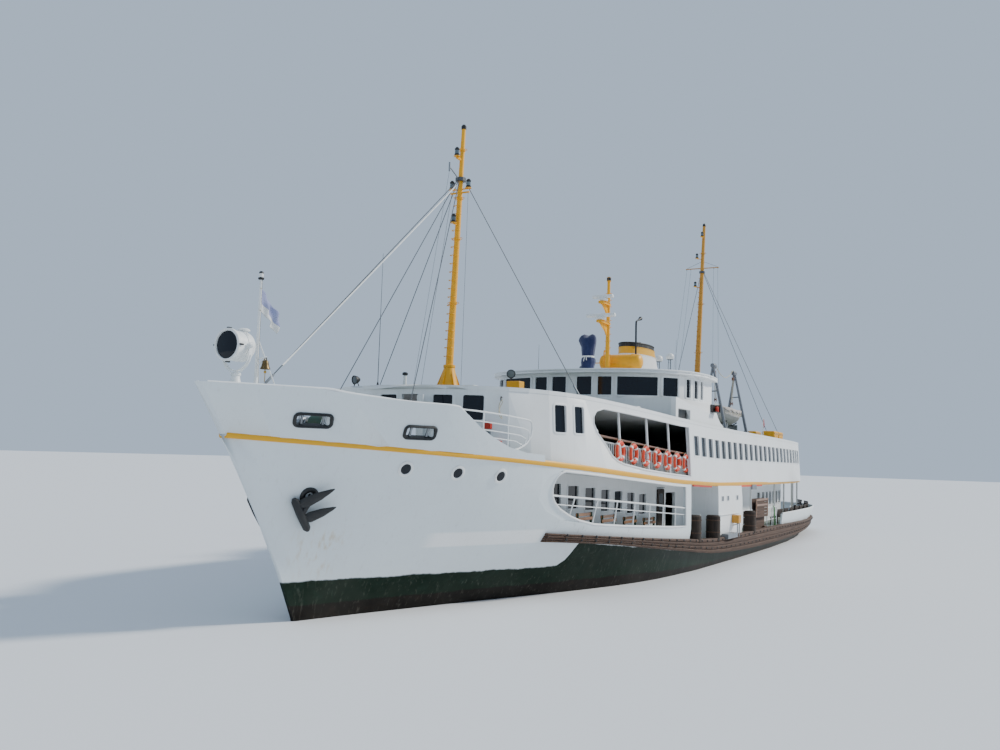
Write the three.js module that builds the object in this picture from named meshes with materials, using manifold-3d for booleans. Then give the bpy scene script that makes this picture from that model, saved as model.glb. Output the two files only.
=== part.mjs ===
// Passenger ferry with a long open side gallery, as a 1:2 scale model.
// Frame: X forward to the bow, Y to port, Z up, origin amidships on the waterline.
// Every size below is in full-size metres; MODEL_MM turns it into the model's millimetres.
import * as THREE from 'three';
import { mergeVertices } from 'three/addons/utils/BufferGeometryUtils.js';
import Module from 'manifold-3d';

const wasm = await Module();
wasm.setup();

const MODEL_MM = 500;
const GAP = 0.0006;
const PORT = 1;
const STARBOARD = -1;
const SIDES = [['port', PORT], ['starboard', STARBOARD]];

// Hull form: half-breadths by level, along the run from amidships to either end.
const MIDSHIP = 6.0;
const KEEL_Z = -2.45;
const LEVELS = [KEEL_Z, -1.5, 0, 2, 4, 6];
const STEM_PROFILE = [[KEEL_Z, 23.8], [-1.5, 24.9], [0, 25.39], [2, 26.45], [4, 27.75], [6, 29.2]];
const STERN_PROFILE = [[KEEL_Z, -20], [-1.5, -23.3], [0, -28.2], [2, -29.05], [4, -28.9], [6, -28.8]];
// Columns: run, then the half-breadth at each of LEVELS.
const BOW_BREADTHS = [
  [0.00, 3.20, 4.60, 4.90, 5.15, 5.10, 4.95],
  [0.20, 2.90, 4.20, 4.62, 5.08, 5.08, 4.95],
  [0.35, 2.30, 3.60, 4.10, 4.85, 4.98, 4.92],
  [0.50, 1.50, 2.65, 3.25, 4.30, 4.72, 4.85],
  [0.62, 0.85, 1.80, 2.45, 3.55, 4.20, 4.52],
  [0.74, 0.40, 1.10, 1.62, 2.60, 3.35, 3.88],
  [0.84, 0.18, 0.60, 1.00, 1.70, 2.32, 2.78],
  [0.92, 0.08, 0.30, 0.50, 0.92, 1.25, 1.50],
  [0.97, 0.05, 0.14, 0.22, 0.38, 0.50, 0.62],
  [1.00, 0.04, 0.05, 0.05, 0.05, 0.07, 0.12],
];
const STERN_BREADTHS = [
  [0.00, 3.20, 4.60, 4.90, 5.15, 5.10, 4.95],
  [0.25, 3.20, 4.60, 5.00, 5.20, 5.05, 4.90],
  [0.45, 2.60, 4.30, 5.00, 5.20, 5.00, 4.85],
  [0.60, 1.60, 3.50, 4.80, 5.12, 4.85, 4.70],
  [0.72, 0.80, 2.50, 4.45, 5.00, 4.50, 4.35],
  [0.82, 0.35, 1.60, 3.80, 4.70, 3.90, 3.75],
  [0.90, 0.15, 0.90, 2.95, 4.05, 3.15, 2.95],
  [0.96, 0.08, 0.40, 1.90, 2.70, 2.50, 2.40],
  [1.00, 0.05, 0.10, 0.50, 0.90, 0.80, 0.70],
];

// Deck heights along the ship, as [x, z].
const MAIN_DECK = [[-29, 1.2], [-20, 1.08], [0, 1.1], [5, 1.15], [9, 1.38], [15.6, 1.8], [20, 2.15]];
const UPPER_DECK = [[-29, 3.5], [-20, 3.48], [2, 3.5], [8, 3.63], [13.2, 3.88], [18, 4.16], [21, 4.33],
  [24.4, 4.5], [26.65, 4.62], [28.3, 4.71]];
const BOAT_DECK = [[-21, 5.9], [-8, 5.95], [2, 6.0], [8, 6.1], [15, 6.3], [18, 6.38], [21, 6.45]];
const DECK_THICK = 0.12;
const PLATE = 0.1;

// Main-deck openings in the side plating.
const GALLERY_AFT_X = 8.3;
const GALLERY_SILL = [[6, 1.9], [8.3, 1.9], [12, 2.05], [16, 2.28], [17.8, 2.47]];
const OPEN_SIDE_X = [-9.8, 7.6];
const AFT_BULWARK_Z = 1.72;

// Upper house: forward end, gallery opening and saloon.
const HOUSE_FRONT_X = 20.9;
const HOUSE_SPLIT_X = 7;
const SALOON_AFT_X = -20.4;
const UPPER_GALLERY_X = [7.5, 16.7];
const WALL = 0.12;
const SALOON_WINDOW = { count: 23, first: 6.5, pitch: 1.085, width: 0.74, sill: 1.08, height: 0.84 };

// Wheelhouse.
const BRIDGE_ROOF_Z = 8.0;
const BRIDGE_AFT_X = 3.0;
// Columns: x of the wall, half-breadth.
const BRIDGE_OUTLINE = [[3.0, 4.62], [4.6, 4.66], [5.3, 4.6], [5.95, 4.47], [6.55, 4.22], [7.05, 3.8], [7.4, 3.3],
  [7.7, 2.6], [7.93, 1.7], [8.05, 0.6]];

const COLOURS = {
  white: [0xeef1f2, 0.45, 0.1],
  green: [0x14382c, 0.55, 0.1],
  timber: [0x4a372c, 0.8, 0],
  deck: [0x7c8a84, 0.85, 0],
  yellow: [0xe9ab1c, 0.5, 0.1],
  ochre: [0xc9781d, 0.6, 0.1],
  black: [0x17191b, 0.6, 0.2],
  steel: [0x9aa2a8, 0.4, 0.8],
  bronze: [0x8c6a3a, 0.4, 0.9],
  orange: [0xd8472a, 0.6, 0],
  canvas: [0x1e2c56, 0.9, 0],
  flag: [0xd9dde4, 0.9, 0],
  boat: [0xd9d6cf, 0.55, 0],
};

const ferry = new THREE.Group();

// Numbers and curves

function clamp(value, low, high) {
  return Math.min(high, Math.max(low, value));
}

function smooth(points) {
  // A curve through [x, value] pairs with limited tangents, so that it never overshoots.
  const n = points.length;
  const slopes = points.slice(1).map(([x, v], i) => (v - points[i][1]) / (x - points[i][0]));
  const tangents = points.map((p, i) => {
    if (i === 0) return slopes[0];
    if (i === n - 1) return slopes[n - 2];
    const [a, b] = [slopes[i - 1], slopes[i]];
    return a * b <= 0 ? 0 : (2 * a * b) / (a + b);
  });
  return (x) => {
    if (x <= points[0][0]) return points[0][1];
    if (x >= points[n - 1][0]) return points[n - 1][1];
    let i = 0;
    while (x > points[i + 1][0]) i += 1;
    const h = points[i + 1][0] - points[i][0];
    const t = (x - points[i][0]) / h;
    const t2 = t * t;
    const t3 = t2 * t;
    return points[i][1] * (2 * t3 - 3 * t2 + 1) + points[i + 1][1] * (3 * t2 - 2 * t3)
      + h * (tangents[i] * (t3 - 2 * t2 + t) + tangents[i + 1] * (t3 - t2));
  };
}

function levelCurves(rows) {
  return LEVELS.map((level, k) => smooth(rows.map((row) => [row[0], row[k + 1]])));
}

const stemX = smooth(STEM_PROFILE);
const sternX = smooth(STERN_PROFILE);
const bowCurves = levelCurves(BOW_BREADTHS);
const sternCurves = levelCurves(STERN_BREADTHS);
const mainDeckZ = smooth(MAIN_DECK);
const upperDeckZ = smooth(UPPER_DECK);
const boatDeckZ = smooth(BOAT_DECK);

function halfBreadth(x, z) {
  const ahead = x > MIDSHIP;
  const end = ahead ? stemX(z) : sternX(z);
  const run = clamp((x - MIDSHIP) / (end - MIDSHIP), 0, 1);
  const widths = (ahead ? bowCurves : sternCurves).map((line) => line(run));
  return smooth(LEVELS.map((level, k) => [level, widths[k]]))(z);
}

// Solids

function solid(geometry) {
  geometry.deleteAttribute('normal');
  geometry.deleteAttribute('uv');
  const merged = mergeVertices(geometry, 1e-6);
  const position = merged.getAttribute('position').array;
  const index = Array.from(merged.index.array);
  const faces = [];
  for (let i = 0; i < index.length; i += 3) {
    const [a, b, c] = index.slice(i, i + 3);
    if (a !== b && b !== c && a !== c) faces.push([a, b, c]);
  }
  const at = (k) => new THREE.Vector3(position[3 * k], position[3 * k + 1], position[3 * k + 2]);
  const volume = faces.reduce((sum, [a, b, c]) => sum + at(a).dot(at(b).cross(at(c))), 0);
  const triangles = volume < 0 ? faces.map(([a, b, c]) => [a, c, b]) : faces;
  return new wasm.Manifold(new wasm.Mesh({
    numProp: 3,
    vertProperties: new Float32Array(position),
    triVerts: new Uint32Array(triangles.flat()),
  }));
}

function joined(parts) {
  return parts.reduce((whole, part) => whole.add(part));
}

function cut(whole, parts) {
  return parts.reduce((rest, part) => rest.subtract(part), whole);
}

function box(x0, x1, y0, y1, z0, z1) {
  const geometry = new THREE.BoxGeometry(x1 - x0, y1 - y0, z1 - z0);
  geometry.translate((x0 + x1) / 2, (y0 + y1) / 2, (z0 + z1) / 2);
  return solid(geometry);
}

function rod(from, to, radius, sides = 8, endRadius = radius) {
  const start = new THREE.Vector3(...from);
  const span = new THREE.Vector3(...to).sub(start);
  const geometry = new THREE.CylinderGeometry(endRadius, radius, span.length(), sides, 1);
  geometry.rotateX(Math.PI / 2);
  geometry.translate(0, 0, span.length() / 2);
  const turn = new THREE.Quaternion().setFromUnitVectors(new THREE.Vector3(0, 0, 1), span.normalize());
  geometry.applyQuaternion(turn);
  geometry.translate(start.x, start.y, start.z);
  return solid(geometry);
}

function loft(rings) {
  // A closed body through rings of equal point counts, capped at both ends.
  const count = rings[0].length;
  const points = rings.flat();
  const faces = [];
  for (let r = 0; r < rings.length - 1; r += 1) {
    for (let k = 0; k < count; k += 1) {
      const a = r * count + k;
      const b = r * count + ((k + 1) % count);
      faces.push(a, b, b + count, a, b + count, a + count);
    }
  }
  // The caps run across the ring in a zigzag, so a curved end stays true from side to side.
  const last = (rings.length - 1) * count;
  let low = 0;
  let high = count - 1;
  const closeWith = (i, j, k) => faces.push(i, k, j, last + i, last + j, last + k);
  while (high - low > 1) {
    closeWith(low, low + 1, high);
    low += 1;
    if (high - low > 1) {
      closeWith(low, high - 1, high);
      high -= 1;
    }
  }
  const geometry = new THREE.BufferGeometry();
  geometry.setAttribute('position', new THREE.Float32BufferAttribute(points.flat(), 3));
  geometry.setIndex(faces);
  return solid(geometry);
}

function band(stations, half, low, high) {
  // A body symmetric about the centreline, between two height curves.
  return loft(stations.map((x) => {
    const [z0, z1] = [low(x), high(x)];
    const [b0, b1] = [half(x, z0), half(x, z1)];
    return [[x, b0, z0], [x, b1, z1], [x, -b1, z1], [x, -b0, z0]];
  }));
}

function sidePrism(outline, y0, y1) {
  // An outline of [x, z] points, run from y0 to y1.
  const shape = new THREE.Shape(outline.map(([x, z]) => new THREE.Vector2(x, z)));
  const geometry = new THREE.ExtrudeGeometry(shape, { depth: y1 - y0, bevelEnabled: false });
  geometry.rotateX(Math.PI / 2);
  geometry.translate(0, y1, 0);
  return solid(geometry);
}

function plate(outline, z0, z1) {
  // An outline of [x, y] points, run from z0 to z1.
  const shape = new THREE.Shape(outline.map(([x, y]) => new THREE.Vector2(x, y)));
  const geometry = new THREE.ExtrudeGeometry(shape, { depth: z1 - z0, bevelEnabled: false });
  geometry.translate(0, 0, z0);
  return solid(geometry);
}

function pipe(points, radius, sides = 6, steps = points.length - 1) {
  const path = new THREE.CatmullRomCurve3(points.map((p) => new THREE.Vector3(...p)));
  const section = new THREE.Shape();
  for (let k = 0; k < sides; k += 1) {
    const angle = (2 * Math.PI * k) / sides;
    const [u, v] = [radius * Math.cos(angle), radius * Math.sin(angle)];
    if (k === 0) section.moveTo(u, v);
    else section.lineTo(u, v);
  }
  section.closePath();
  return solid(new THREE.ExtrudeGeometry(section, { steps, extrudePath: path, bevelEnabled: false }));
}

function lathe(profile, place, tilt = new THREE.Quaternion(), segments = 14) {
  // A turned body from [radius, height] points, with its axis along Z before the tilt.
  const geometry = new THREE.LatheGeometry(profile.map(([r, h]) => new THREE.Vector2(r, h)), segments);
  geometry.rotateX(Math.PI / 2);
  geometry.applyQuaternion(tilt);
  geometry.translate(...place);
  return solid(geometry);
}

function steps(from, to, count) {
  return Array.from({ length: count + 1 }, (_, k) => from + ((to - from) * k) / count);
}

function add(name, body, colour) {
  const mesh = body.getMesh();
  const position = Float32Array.from(mesh.vertProperties, (value) => value * MODEL_MM);
  const geometry = new THREE.BufferGeometry();
  geometry.setAttribute('position', new THREE.BufferAttribute(position, 3));
  geometry.setIndex(new THREE.BufferAttribute(Uint32Array.from(mesh.triVerts), 1));
  geometry.computeVertexNormals();
  const [hex, roughness, metalness] = COLOURS[colour];
  const material = new THREE.MeshStandardMaterial({ color: hex, roughness, metalness });
  const node = new THREE.Mesh(geometry, material);
  node.name = name;
  ferry.add(node);
}

// Deck surfaces: one list of stations, so that whatever stands on a deck meets its facets

const DECK_STATIONS = [-29.6, -25.8, -24.4, -22.6, -20.4, -16, -9, 0, 5, 9, 12, 15, 17.5, 19.6, 22, 25, 27, 29.6];
const FAR = 9;

function below(surface, lift) {
  return band(DECK_STATIONS, () => FAR, () => -6, (x) => surface(x) + lift);
}

function above(surface, lift) {
  return band(DECK_STATIONS, () => FAR, (x) => surface(x) + lift, () => 22);
}

const onMainDeck = below(mainDeckZ, GAP);
const onUpperDeck = below(upperDeckZ, GAP);
const onBoatDeck = below(boatDeckZ, GAP);
const underUpperDeck = above(upperDeckZ, -DECK_THICK - GAP);
const underBoatDeck = above(boatDeckZ, -DECK_THICK - GAP);

function facetZ(surface, x) {
  // The height of the faceted deck, which lies straight between its stations.
  const next = DECK_STATIONS.findIndex((station) => station > x);
  const [x0, x1] = [DECK_STATIONS[next - 1], DECK_STATIONS[next]];
  return surface(x0) + ((surface(x1) - surface(x0)) * (x - x0)) / (x1 - x0);
}

function deckPlate(stations, half, surface) {
  const block = band(stations, half, (x) => surface(x) - 0.5, (x) => surface(x) + 0.5);
  return cut(block, [below(surface, -DECK_THICK), above(surface, 0)]);
}

// Hull

const BOW_RUNS = [0.1, 0.2, 0.28, 0.36, 0.43, 0.5, 0.56, 0.62, 0.68, 0.74, 0.8, 0.86, 0.91, 0.95, 0.98, 1];
const STERN_RUNS = [1, 0.98, 0.95, 0.91, 0.86, 0.8, 0.73, 0.65, 0.55, 0.4, 0.2, 0];
const HULL_HEIGHTS = [0, 0.05, 0.18, 0.34, 0.5, 0.66, 0.84, 1];

function hullBody(grow = 0) {
  const ring = (run, profile) => {
    const xAt = (z) => MIDSHIP + run * (profile(z) - MIDSHIP);
    const top = upperDeckZ(xAt(4.2)) + 0.3;
    const side = HULL_HEIGHTS.map((h) => {
      const z = KEEL_Z + h * (top - KEEL_Z);
      return [xAt(z), halfBreadth(xAt(z), z) + grow, z];
    });
    const keel = [xAt(KEEL_Z), 0, KEEL_Z - 0.04 - grow];
    return [keel, ...side, ...side.map(([x, y, z]) => [x, -y, z]).reverse()];
  };
  return loft([...STERN_RUNS.map((run) => ring(run, sternX)), ...BOW_RUNS.map((run) => ring(run, stemX))]);
}

const hullGrown = hullBody(GAP);
const WELL_STATIONS = [-28.6, -27.8, -26.5, -24.5, -21, -16, -9, 0, 8, 10, 12, 13.5, 15, 16.5, 18, 19.6];

const WELL_LEVELS = [0.5, 1.5, 2.3, 3.1, 3.9, 4.7, 6];

function insidePlating(shrink = 0) {
  // The space inside the side plating, from below the main deck to above the upper deck.
  return loft(WELL_STATIONS.map((x) => {
    const side = WELL_LEVELS.map((z) => [x, Math.max(halfBreadth(x, z) - PLATE - shrink, 0.05), z]);
    return [...side, ...side.map(([, y, z]) => [x, -y, z]).reverse()];
  }));
}

function galleryOutline() {
  const sill = smooth(GALLERY_SILL);
  const top = (x) => upperDeckZ(x) - 0.2;
  const xs = steps(GALLERY_AFT_X, 17.8, 4);
  return [
    ...xs.map((x) => [x, sill(x)]),
    [18.7, 2.78], [19.2, 3.15], [19.3, 3.5], [19.1, 3.8], [18.6, top(18.6)],
    ...xs.slice().reverse().map((x) => [x, top(x)]),
  ];
}

function openSides() {
  const [aft, fore] = OPEN_SIDE_X;
  const side = box(aft, fore, -FAR, FAR, 0.5, 6).subtract(below(mainDeckZ, 0));
  return [side, box(-30, aft + 0.001, -FAR, FAR, AFT_BULWARK_Z, 6)];
}

function hull() {
  const stockBore = rod([RUDDER.x, 0, -2], [RUDDER.x, 0, RUDDER.seat + GAP], RUDDER.stock + 0.004, 16);
  const gallery = sidePrism(galleryOutline(), -FAR, FAR);
  const well = insidePlating().subtract(below(mainDeckZ, 0));
  return cut(hullBody(), [above(upperDeckZ, 0), well, gallery, ...openSides(), stockBore]);
}

// Bow bulwark, with its two mooring ports a side and the small platform at the stem

const BULWARK_TOP = [[20.1, 4.45], [21.2, 4.51], [21.85, 4.71], [22.5, 4.99], [23.05, 5.38], [23.33, 5.6],
  [23.7, 5.64], [24.6, 5.65], [25.66, 5.72], [26.28, 5.78], [26.7, 5.84], [29.3, 5.84]];
const BULWARK_STATIONS = [20.1, 20.9, 21.6, 22.2, 22.7, 23.1, 23.4, 23.75, 24.5, 25.3, 26.1, 26.8, 27.4, 27.9, 28.4];
// Columns: aft x, forward x, sill z, head z.
const MOORING_PORTS = [[23.8, 24.55, 4.76, 5.05], [26.33, 27.03, 4.94, 5.22]];
const BOW_PLATFORM = { aft: 26.9, top: 5.84, thick: 0.08 };

function bulwarkLoft(runs, inset, lift) {
  const top = smooth(BULWARK_TOP);
  return loft(runs.map((run) => {
    const xAt = (z) => MIDSHIP + run * (stemX(Math.min(z, 6)) - MIDSHIP);
    const foot = upperDeckZ(xAt(4.5)) - 0.1 - lift;
    const head = lift ? 7 : top(xAt(5.5));
    const corner = (z, sign) => [xAt(z), sign * (halfBreadth(xAt(z), Math.min(z, 6)) - inset), z];
    return [corner(foot, 1), corner(head, 1), corner(head, -1), corner(foot, -1)];
  }));
}

function bowBulwark() {
  const run = (x) => (x - MIDSHIP) / (stemX(5.5) - MIDSHIP);
  const hollow = BULWARK_STATIONS.filter((x) => x < 28);
  const outer = bulwarkLoft([...BULWARK_STATIONS.map(run), 1], 0, 0);
  const inner = bulwarkLoft([19.5, ...hollow].map(run), PLATE, 0.3);
  const p = BOW_PLATFORM;
  const platform = outer.intersect(box(p.aft, 30, -FAR, FAR, p.top - p.thick, p.top + 1));
  const ports = MOORING_PORTS.map(([x0, x1, z0, z1]) => box(x0, x1, -FAR, FAR, z0, z1));
  return cut(outer.subtract(inner).add(platform), [onUpperDeck, ...ports]);
}

// Rubbing strakes with their timber fender posts

const STRAKE_TOP = [[-28, 1.12], [-20, 1.06], [-6, 1.2], [2, 1.2], [5, 1.24], [8.8, 1.45], [15.6, 1.9], [18.3, 2.09]];
const STRAKE_FOOT = [[-28, 0.7], [-19, 0.42], [-12, 0.32], [-4, 0.36], [3.7, 0.55], [9.9, 1.08], [16, 1.66], [18.3, 1.8]];
const STRAKE_STATIONS = [-28, -26.8, -25, -22.5, -19, -14, -8, -2, 3, 7, 11, 14, 17, 18.3];
const STRAKE_OUT = 0.27;
const FENDER_POST = { xs: [7.0, 4.2, -2.2], radius: 0.3, height: 0.95 };

function strake(side) {
  const top = smooth(STRAKE_TOP);
  const foot = smooth(STRAKE_FOOT);
  const body = loft(STRAKE_STATIONS.map((x) => {
    const [z0, z1] = [foot(x), top(x)];
    const out = x > 18 ? STRAKE_OUT * 0.6 : STRAKE_OUT;
    const [y0, y1] = [halfBreadth(x, z0), halfBreadth(x, z1)];
    return [[x, side * (y0 - 0.3), z0], [x, side * (y0 + out), z0], [x, side * (y1 + out), z1], [x, side * (y1 - 0.3), z1]];
  }));
  const posts = FENDER_POST.xs.map((x) => {
    const y = side * halfBreadth(x, top(x));
    return rod([x, y, top(x) - 0.12], [x, y, top(x) + FENDER_POST.height], FENDER_POST.radius, 10);
  });
  return joined([body.subtract(hullGrown), ...posts.map((post) => post.subtract(hullGrown.intersect(onMainDeck)))]);
}

// Main deck

const MAIN_HOUSE = [[-24, 1.6], [-22, 2.6], [-19, 3.2], [-12, 3.6], [8, 3.6], [13, 3.3], [16, 2.9], [17.6, 2.5]];
// Columns: first x, pitch, count.
const MAIN_WINDOWS = [[8.6, 1.15, 8], [-21.2, 1.25, 9]];
const MAIN_WINDOW = { width: 0.72, sill: 0.95, height: 0.8 };

function mainDeckhouse() {
  const outline = smooth(MAIN_HOUSE);
  const xs = MAIN_HOUSE.map((row) => row[0]);
  const inside = [xs[0] + WALL, ...xs.slice(1, -1), xs[xs.length - 1] - WALL];
  const outer = band(xs, outline, () => 0.5, () => 5);
  const inner = band(inside, (x) => outline(x) - WALL, () => 0.4, () => 5.1);
  const windows = [];
  for (const [first, pitch, count] of MAIN_WINDOWS) {
    for (let k = 0; k < count; k += 1) {
      const x = first + pitch * k;
      const z = mainDeckZ(x) + MAIN_WINDOW.sill;
      windows.push(box(x, x + MAIN_WINDOW.width, -FAR, FAR, z, z + MAIN_WINDOW.height));
    }
  }
  const doorways = [[4.9, 6.2], [-6.6, -4.2]].map(([a, b]) => box(a, b, -FAR, FAR, 0.5, 3.1));
  return cut(outer, [inner, onMainDeck, underUpperDeck, ...windows, ...doorways]);
}

const CASING = { aft: -0.6, fore: 3.6, inboard: 3.61 };

function sideCasing(side) {
  const block = box(CASING.aft, CASING.fore, side > 0 ? CASING.inboard : -FAR, side > 0 ? FAR : -CASING.inboard, 0.5, 5);
  return cut(block.intersect(hullBody(-GAP)), [onMainDeck, underUpperDeck]);
}

const GALLERY_RAIL = { aftZ: 2.6, slope: 0.0627, posts: 5 };

function galleryRail(side) {
  const postXs = steps(9.5, 18.1, GALLERY_RAIL.posts - 1);
  const xs = [GALLERY_AFT_X - 0.2, ...postXs, 19.6];
  const place = (x, z) => [x, side * (halfBreadth(x, z) - PLATE / 2), z];
  const height = (x) => GALLERY_RAIL.aftZ + GALLERY_RAIL.slope * (x - GALLERY_AFT_X);
  const top = pipe(xs.map((x) => place(x, height(x))), 0.03, 4);
  const posts = postXs.map((x) => rod(place(x, height(x) - 1.2), place(x, height(x)), 0.025, 6));
  const opening = sidePrism(inset(galleryOutline(), GAP), -FAR, FAR);
  return joined([top, ...posts]).intersect(opening);
}

function inset(outline, distance) {
  // The outline moved inward by a distance, each corner along its mitre.
  const area = THREE.ShapeUtils.area(outline.map(([u, v]) => new THREE.Vector2(u, v)));
  const turn = Math.sign(area);
  return outline.map((point, k) => {
    const before = outline[(k + outline.length - 1) % outline.length];
    const after = outline[(k + 1) % outline.length];
    const normal = ([u0, v0], [u1, v1]) => {
      const length = Math.hypot(u1 - u0, v1 - v0);
      return [(-turn * (v1 - v0)) / length, (turn * (u1 - u0)) / length];
    };
    const [a, b] = [normal(before, point), normal(point, after)];
    const scale = distance / (1 + a[0] * b[0] + a[1] * b[1]);
    return [point[0] + (a[0] + b[0]) * scale, point[1] + (a[1] + b[1]) * scale];
  });
}

// The boarding ramps stand upright at the deck edge, each on a hinge pin; the gates close the lobby.
const GANGWAY = { aft: -6.7, fore: -3.9, inboard: 0.2, offset: 0.1, thick: 0.12, height: 1.5, lift: 0.07, pin: 0.0694 };
const GATE = { aft: 4.8, fore: 6.15, inboard: 0.42, height: 0.98, clear: 0.03 };

function gangway(side) {
  const g = GANGWAY;
  const y = halfBreadth(-5, 1.2) - g.inboard;
  const z = facetZ(mainDeckZ, g.fore) + g.lift;
  const across = (x0, x1, near, far, z0, z1) => box(x0, x1, Math.min(side * near, side * far), Math.max(side * near, side * far), z0, z1);
  const panel = across(g.aft, g.fore, y - g.offset - g.thick, y - g.offset, z - 0.04, z + g.height);
  const lugs = [g.aft + 0.3, g.fore - 0.5].map((x) => across(x, x + 0.2, y - g.offset - 0.05, y, z - 0.05, z + 0.05));
  const pins = lugs.map((lug, k) => {
    const x = [g.aft + 0.2, g.fore - 0.6][k];
    return rod([x, side * y, z], [x + 0.4, side * y, z], g.pin, 16);
  });
  return joined([panel, ...lugs, ...pins]);
}

function gate(side) {
  const y = side * (halfBreadth(6, 1.3) - GATE.inboard);
  const z = mainDeckZ(GATE.fore) + GATE.clear;
  const bars = [0.2, 0.55, 0.93].map((rise) => rod([GATE.aft, y, z + rise], [GATE.fore, y, z + rise], 0.02, 6));
  const freeStile = rod([GATE.aft, y, z], [GATE.aft, y, z + GATE.height], 0.03, 6);
  const foot = facetZ(mainDeckZ, GATE.fore + 0.03) + GAP;
  const hingeStile = rod([GATE.fore, y, foot], [GATE.fore, y, z + GATE.height], 0.03, 8);
  return joined([...bars, freeStile, hingeStile]);
}

// Upper deck and the house on it

const UPPER_DECK_OUTLINE = [[-25.8, 0.6], [-25.4, 1.7], [-24.4, 2.7], [-22.6, 3.6], [-20, 4.2], [-16, 4.66], [-12, 4.85], [-8, 4.97]];
const DECK_PILLARS = [[-3.2, 4.95], [-9.2, 4.85], [-13, 4.6], [-17, 4.35], [-20.5, 3.95], [-23.4, 3.05]];

function upperDeckPlate() {
  const outline = smooth(UPPER_DECK_OUTLINE);
  const openHalf = (x) => Math.min(x > -8.1 ? FAR : outline(x), halfBreadth(x, 3.9));
  const open = deckPlate([-25.8, -25.4, -24.4, -22.6, -20, -16, -12, -8.1, 0, 7.59], openHalf, upperDeckZ);
  const shelf = insidePlating(2 * GAP).intersect(box(7.5, 19.6 - GAP, -FAR, FAR, 2, 5.9));
  const enclosed = cut(shelf, [below(upperDeckZ, -DECK_THICK), above(upperDeckZ, 0)]);
  const pillars = [];
  for (const [x, y] of DECK_PILLARS) {
    for (const side of [PORT, STARBOARD]) {
      pillars.push(rod([x, side * y, 0.9], [x, side * y, upperDeckZ(x) - 0.05], 0.05, 6).subtract(onMainDeck));
    }
  }
  return joined([open, enclosed, ...pillars]);
}

function houseHalf(x, z) {
  // The upper house stands flush with the hull's side, leans in, and is rounded at both ends.
  const lean = 0.07 * (z - upperDeckZ(x));
  const nose = smooth(HOUSE_NOSE)(x);
  const tail = smooth(HOUSE_TAIL)(x);
  return Math.min(nose, tail, halfBreadth(x, 3.9) - 0.02) - lean;
}

const HOUSE_NOSE = [[14, 9], [17, 4.75], [18.4, 4.3], [19.6, 3.6], [20.5, 2.4], [HOUSE_FRONT_X, 0.9]];
const HOUSE_TAIL = [[SALOON_AFT_X, 3.3], [-20.1, 3.85], [-19.6, 4.2], [-18.8, 4.5], [-16, 9]];
const NOSE_STATIONS = [9, 11.5, 14, 16, 17.2, 18.1, 18.8, 19.4, 19.9, 20.3, 20.55, 20.72];
const TAIL_STATIONS = [-20.25, -20.1, -19.85, -19.6, -19.2, -18.8, -18, -15, -11, -7, -2, 3];
const FORWARD_STATIONS = [HOUSE_SPLIT_X, ...NOSE_STATIONS, HOUSE_FRONT_X];
const SALOON_STATIONS = [SALOON_AFT_X, ...TAIL_STATIONS, HOUSE_SPLIT_X];

function houseShell(stations, aftWall, foreWall) {
  const inside = stations.slice();
  inside[0] += aftWall ? WALL : -0.5;
  inside[inside.length - 1] -= foreWall ? WALL : -0.5;
  const outer = band(stations, houseHalf, () => 3, () => 7);
  const inner = band(inside, (x, z) => houseHalf(x, z) - WALL, () => 2.9, () => 7.1);
  return cut(outer, [inner, onUpperDeck, underBoatDeck]);
}

// Columns: low edge, high edge.
const SIDE_WINDOWS = [[18.14, 18.62], [17.3, 17.78]];
const FRONT_WINDOWS = [[-2.61, -2.01], [-1.73, -1.11], [-0.72, -0.1], [1.11, 1.73], [2.01, 2.61]];
const SIDE_WINDOW_Z = [5.14, 6.0];
const FRONT_WINDOW_Z = [5.4, 6.16];
const FRONT_DOORWAY = [0.06, 0.64];

function upperGalleryOutline() {
  const [aft, fore] = UPPER_GALLERY_X;
  const top = (x) => boatDeckZ(x) - 0.3;
  return [
    [aft, upperDeckZ(aft) + 0.2], [12.6, upperDeckZ(12.6) + 0.22], [13.9, 4.27], [14.9, 4.52], [15.9, 4.95],
    [fore - 0.1, 5.4], [fore, 5.65], [fore - 0.2, 5.92], [16, top(16)], [12, top(12)], [aft, top(aft)],
  ];
}

function forwardHouse() {
  const shell = houseShell(FORWARD_STATIONS, false, true).intersect(box(HOUSE_SPLIT_X + GAP, 30, -FAR, FAR, 0, 9));
  const [z0, z1] = FRONT_WINDOW_Z;
  const opening = sidePrism(upperGalleryOutline(), -FAR, FAR);
  const sides = SIDE_WINDOWS.map(([a, b]) => box(a, b, -FAR, FAR, ...SIDE_WINDOW_Z));
  const fronts = FRONT_WINDOWS.map(([a, b]) => box(19, 22, a, b, z0, z1));
  const doorway = box(20, 22, ...FRONT_DOORWAY, upperDeckZ(20.9) + 0.15, z1);
  return cut(shell, [opening, ...sides, ...fronts, doorway]);
}

function saloonWalls() {
  const shell = houseShell(SALOON_STATIONS, true, false).intersect(box(-30, HOUSE_SPLIT_X - GAP, -FAR, FAR, 0, 9));
  const w = SALOON_WINDOW;
  const windows = [];
  for (let k = 0; k < w.count; k += 1) {
    const x = w.first - k * w.pitch - w.width / 2;
    const z = upperDeckZ(x) + w.sill;
    windows.push(box(x, x + w.width, -FAR, FAR, z, z + w.height));
  }
  const doorway = box(-21, -20, -SALOON_DOOR.half, SALOON_DOOR.half, SALOON_DOOR.sill, SALOON_DOOR.head);
  return cut(shell, [...windows, doorway]);
}

const SALOON_DOOR = { half: 0.55, sill: 3.6, head: 5.6 };
const DOOR = { clear: 0.02, thick: 0.06, inset: 0.03, pin: 0.018 };

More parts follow.
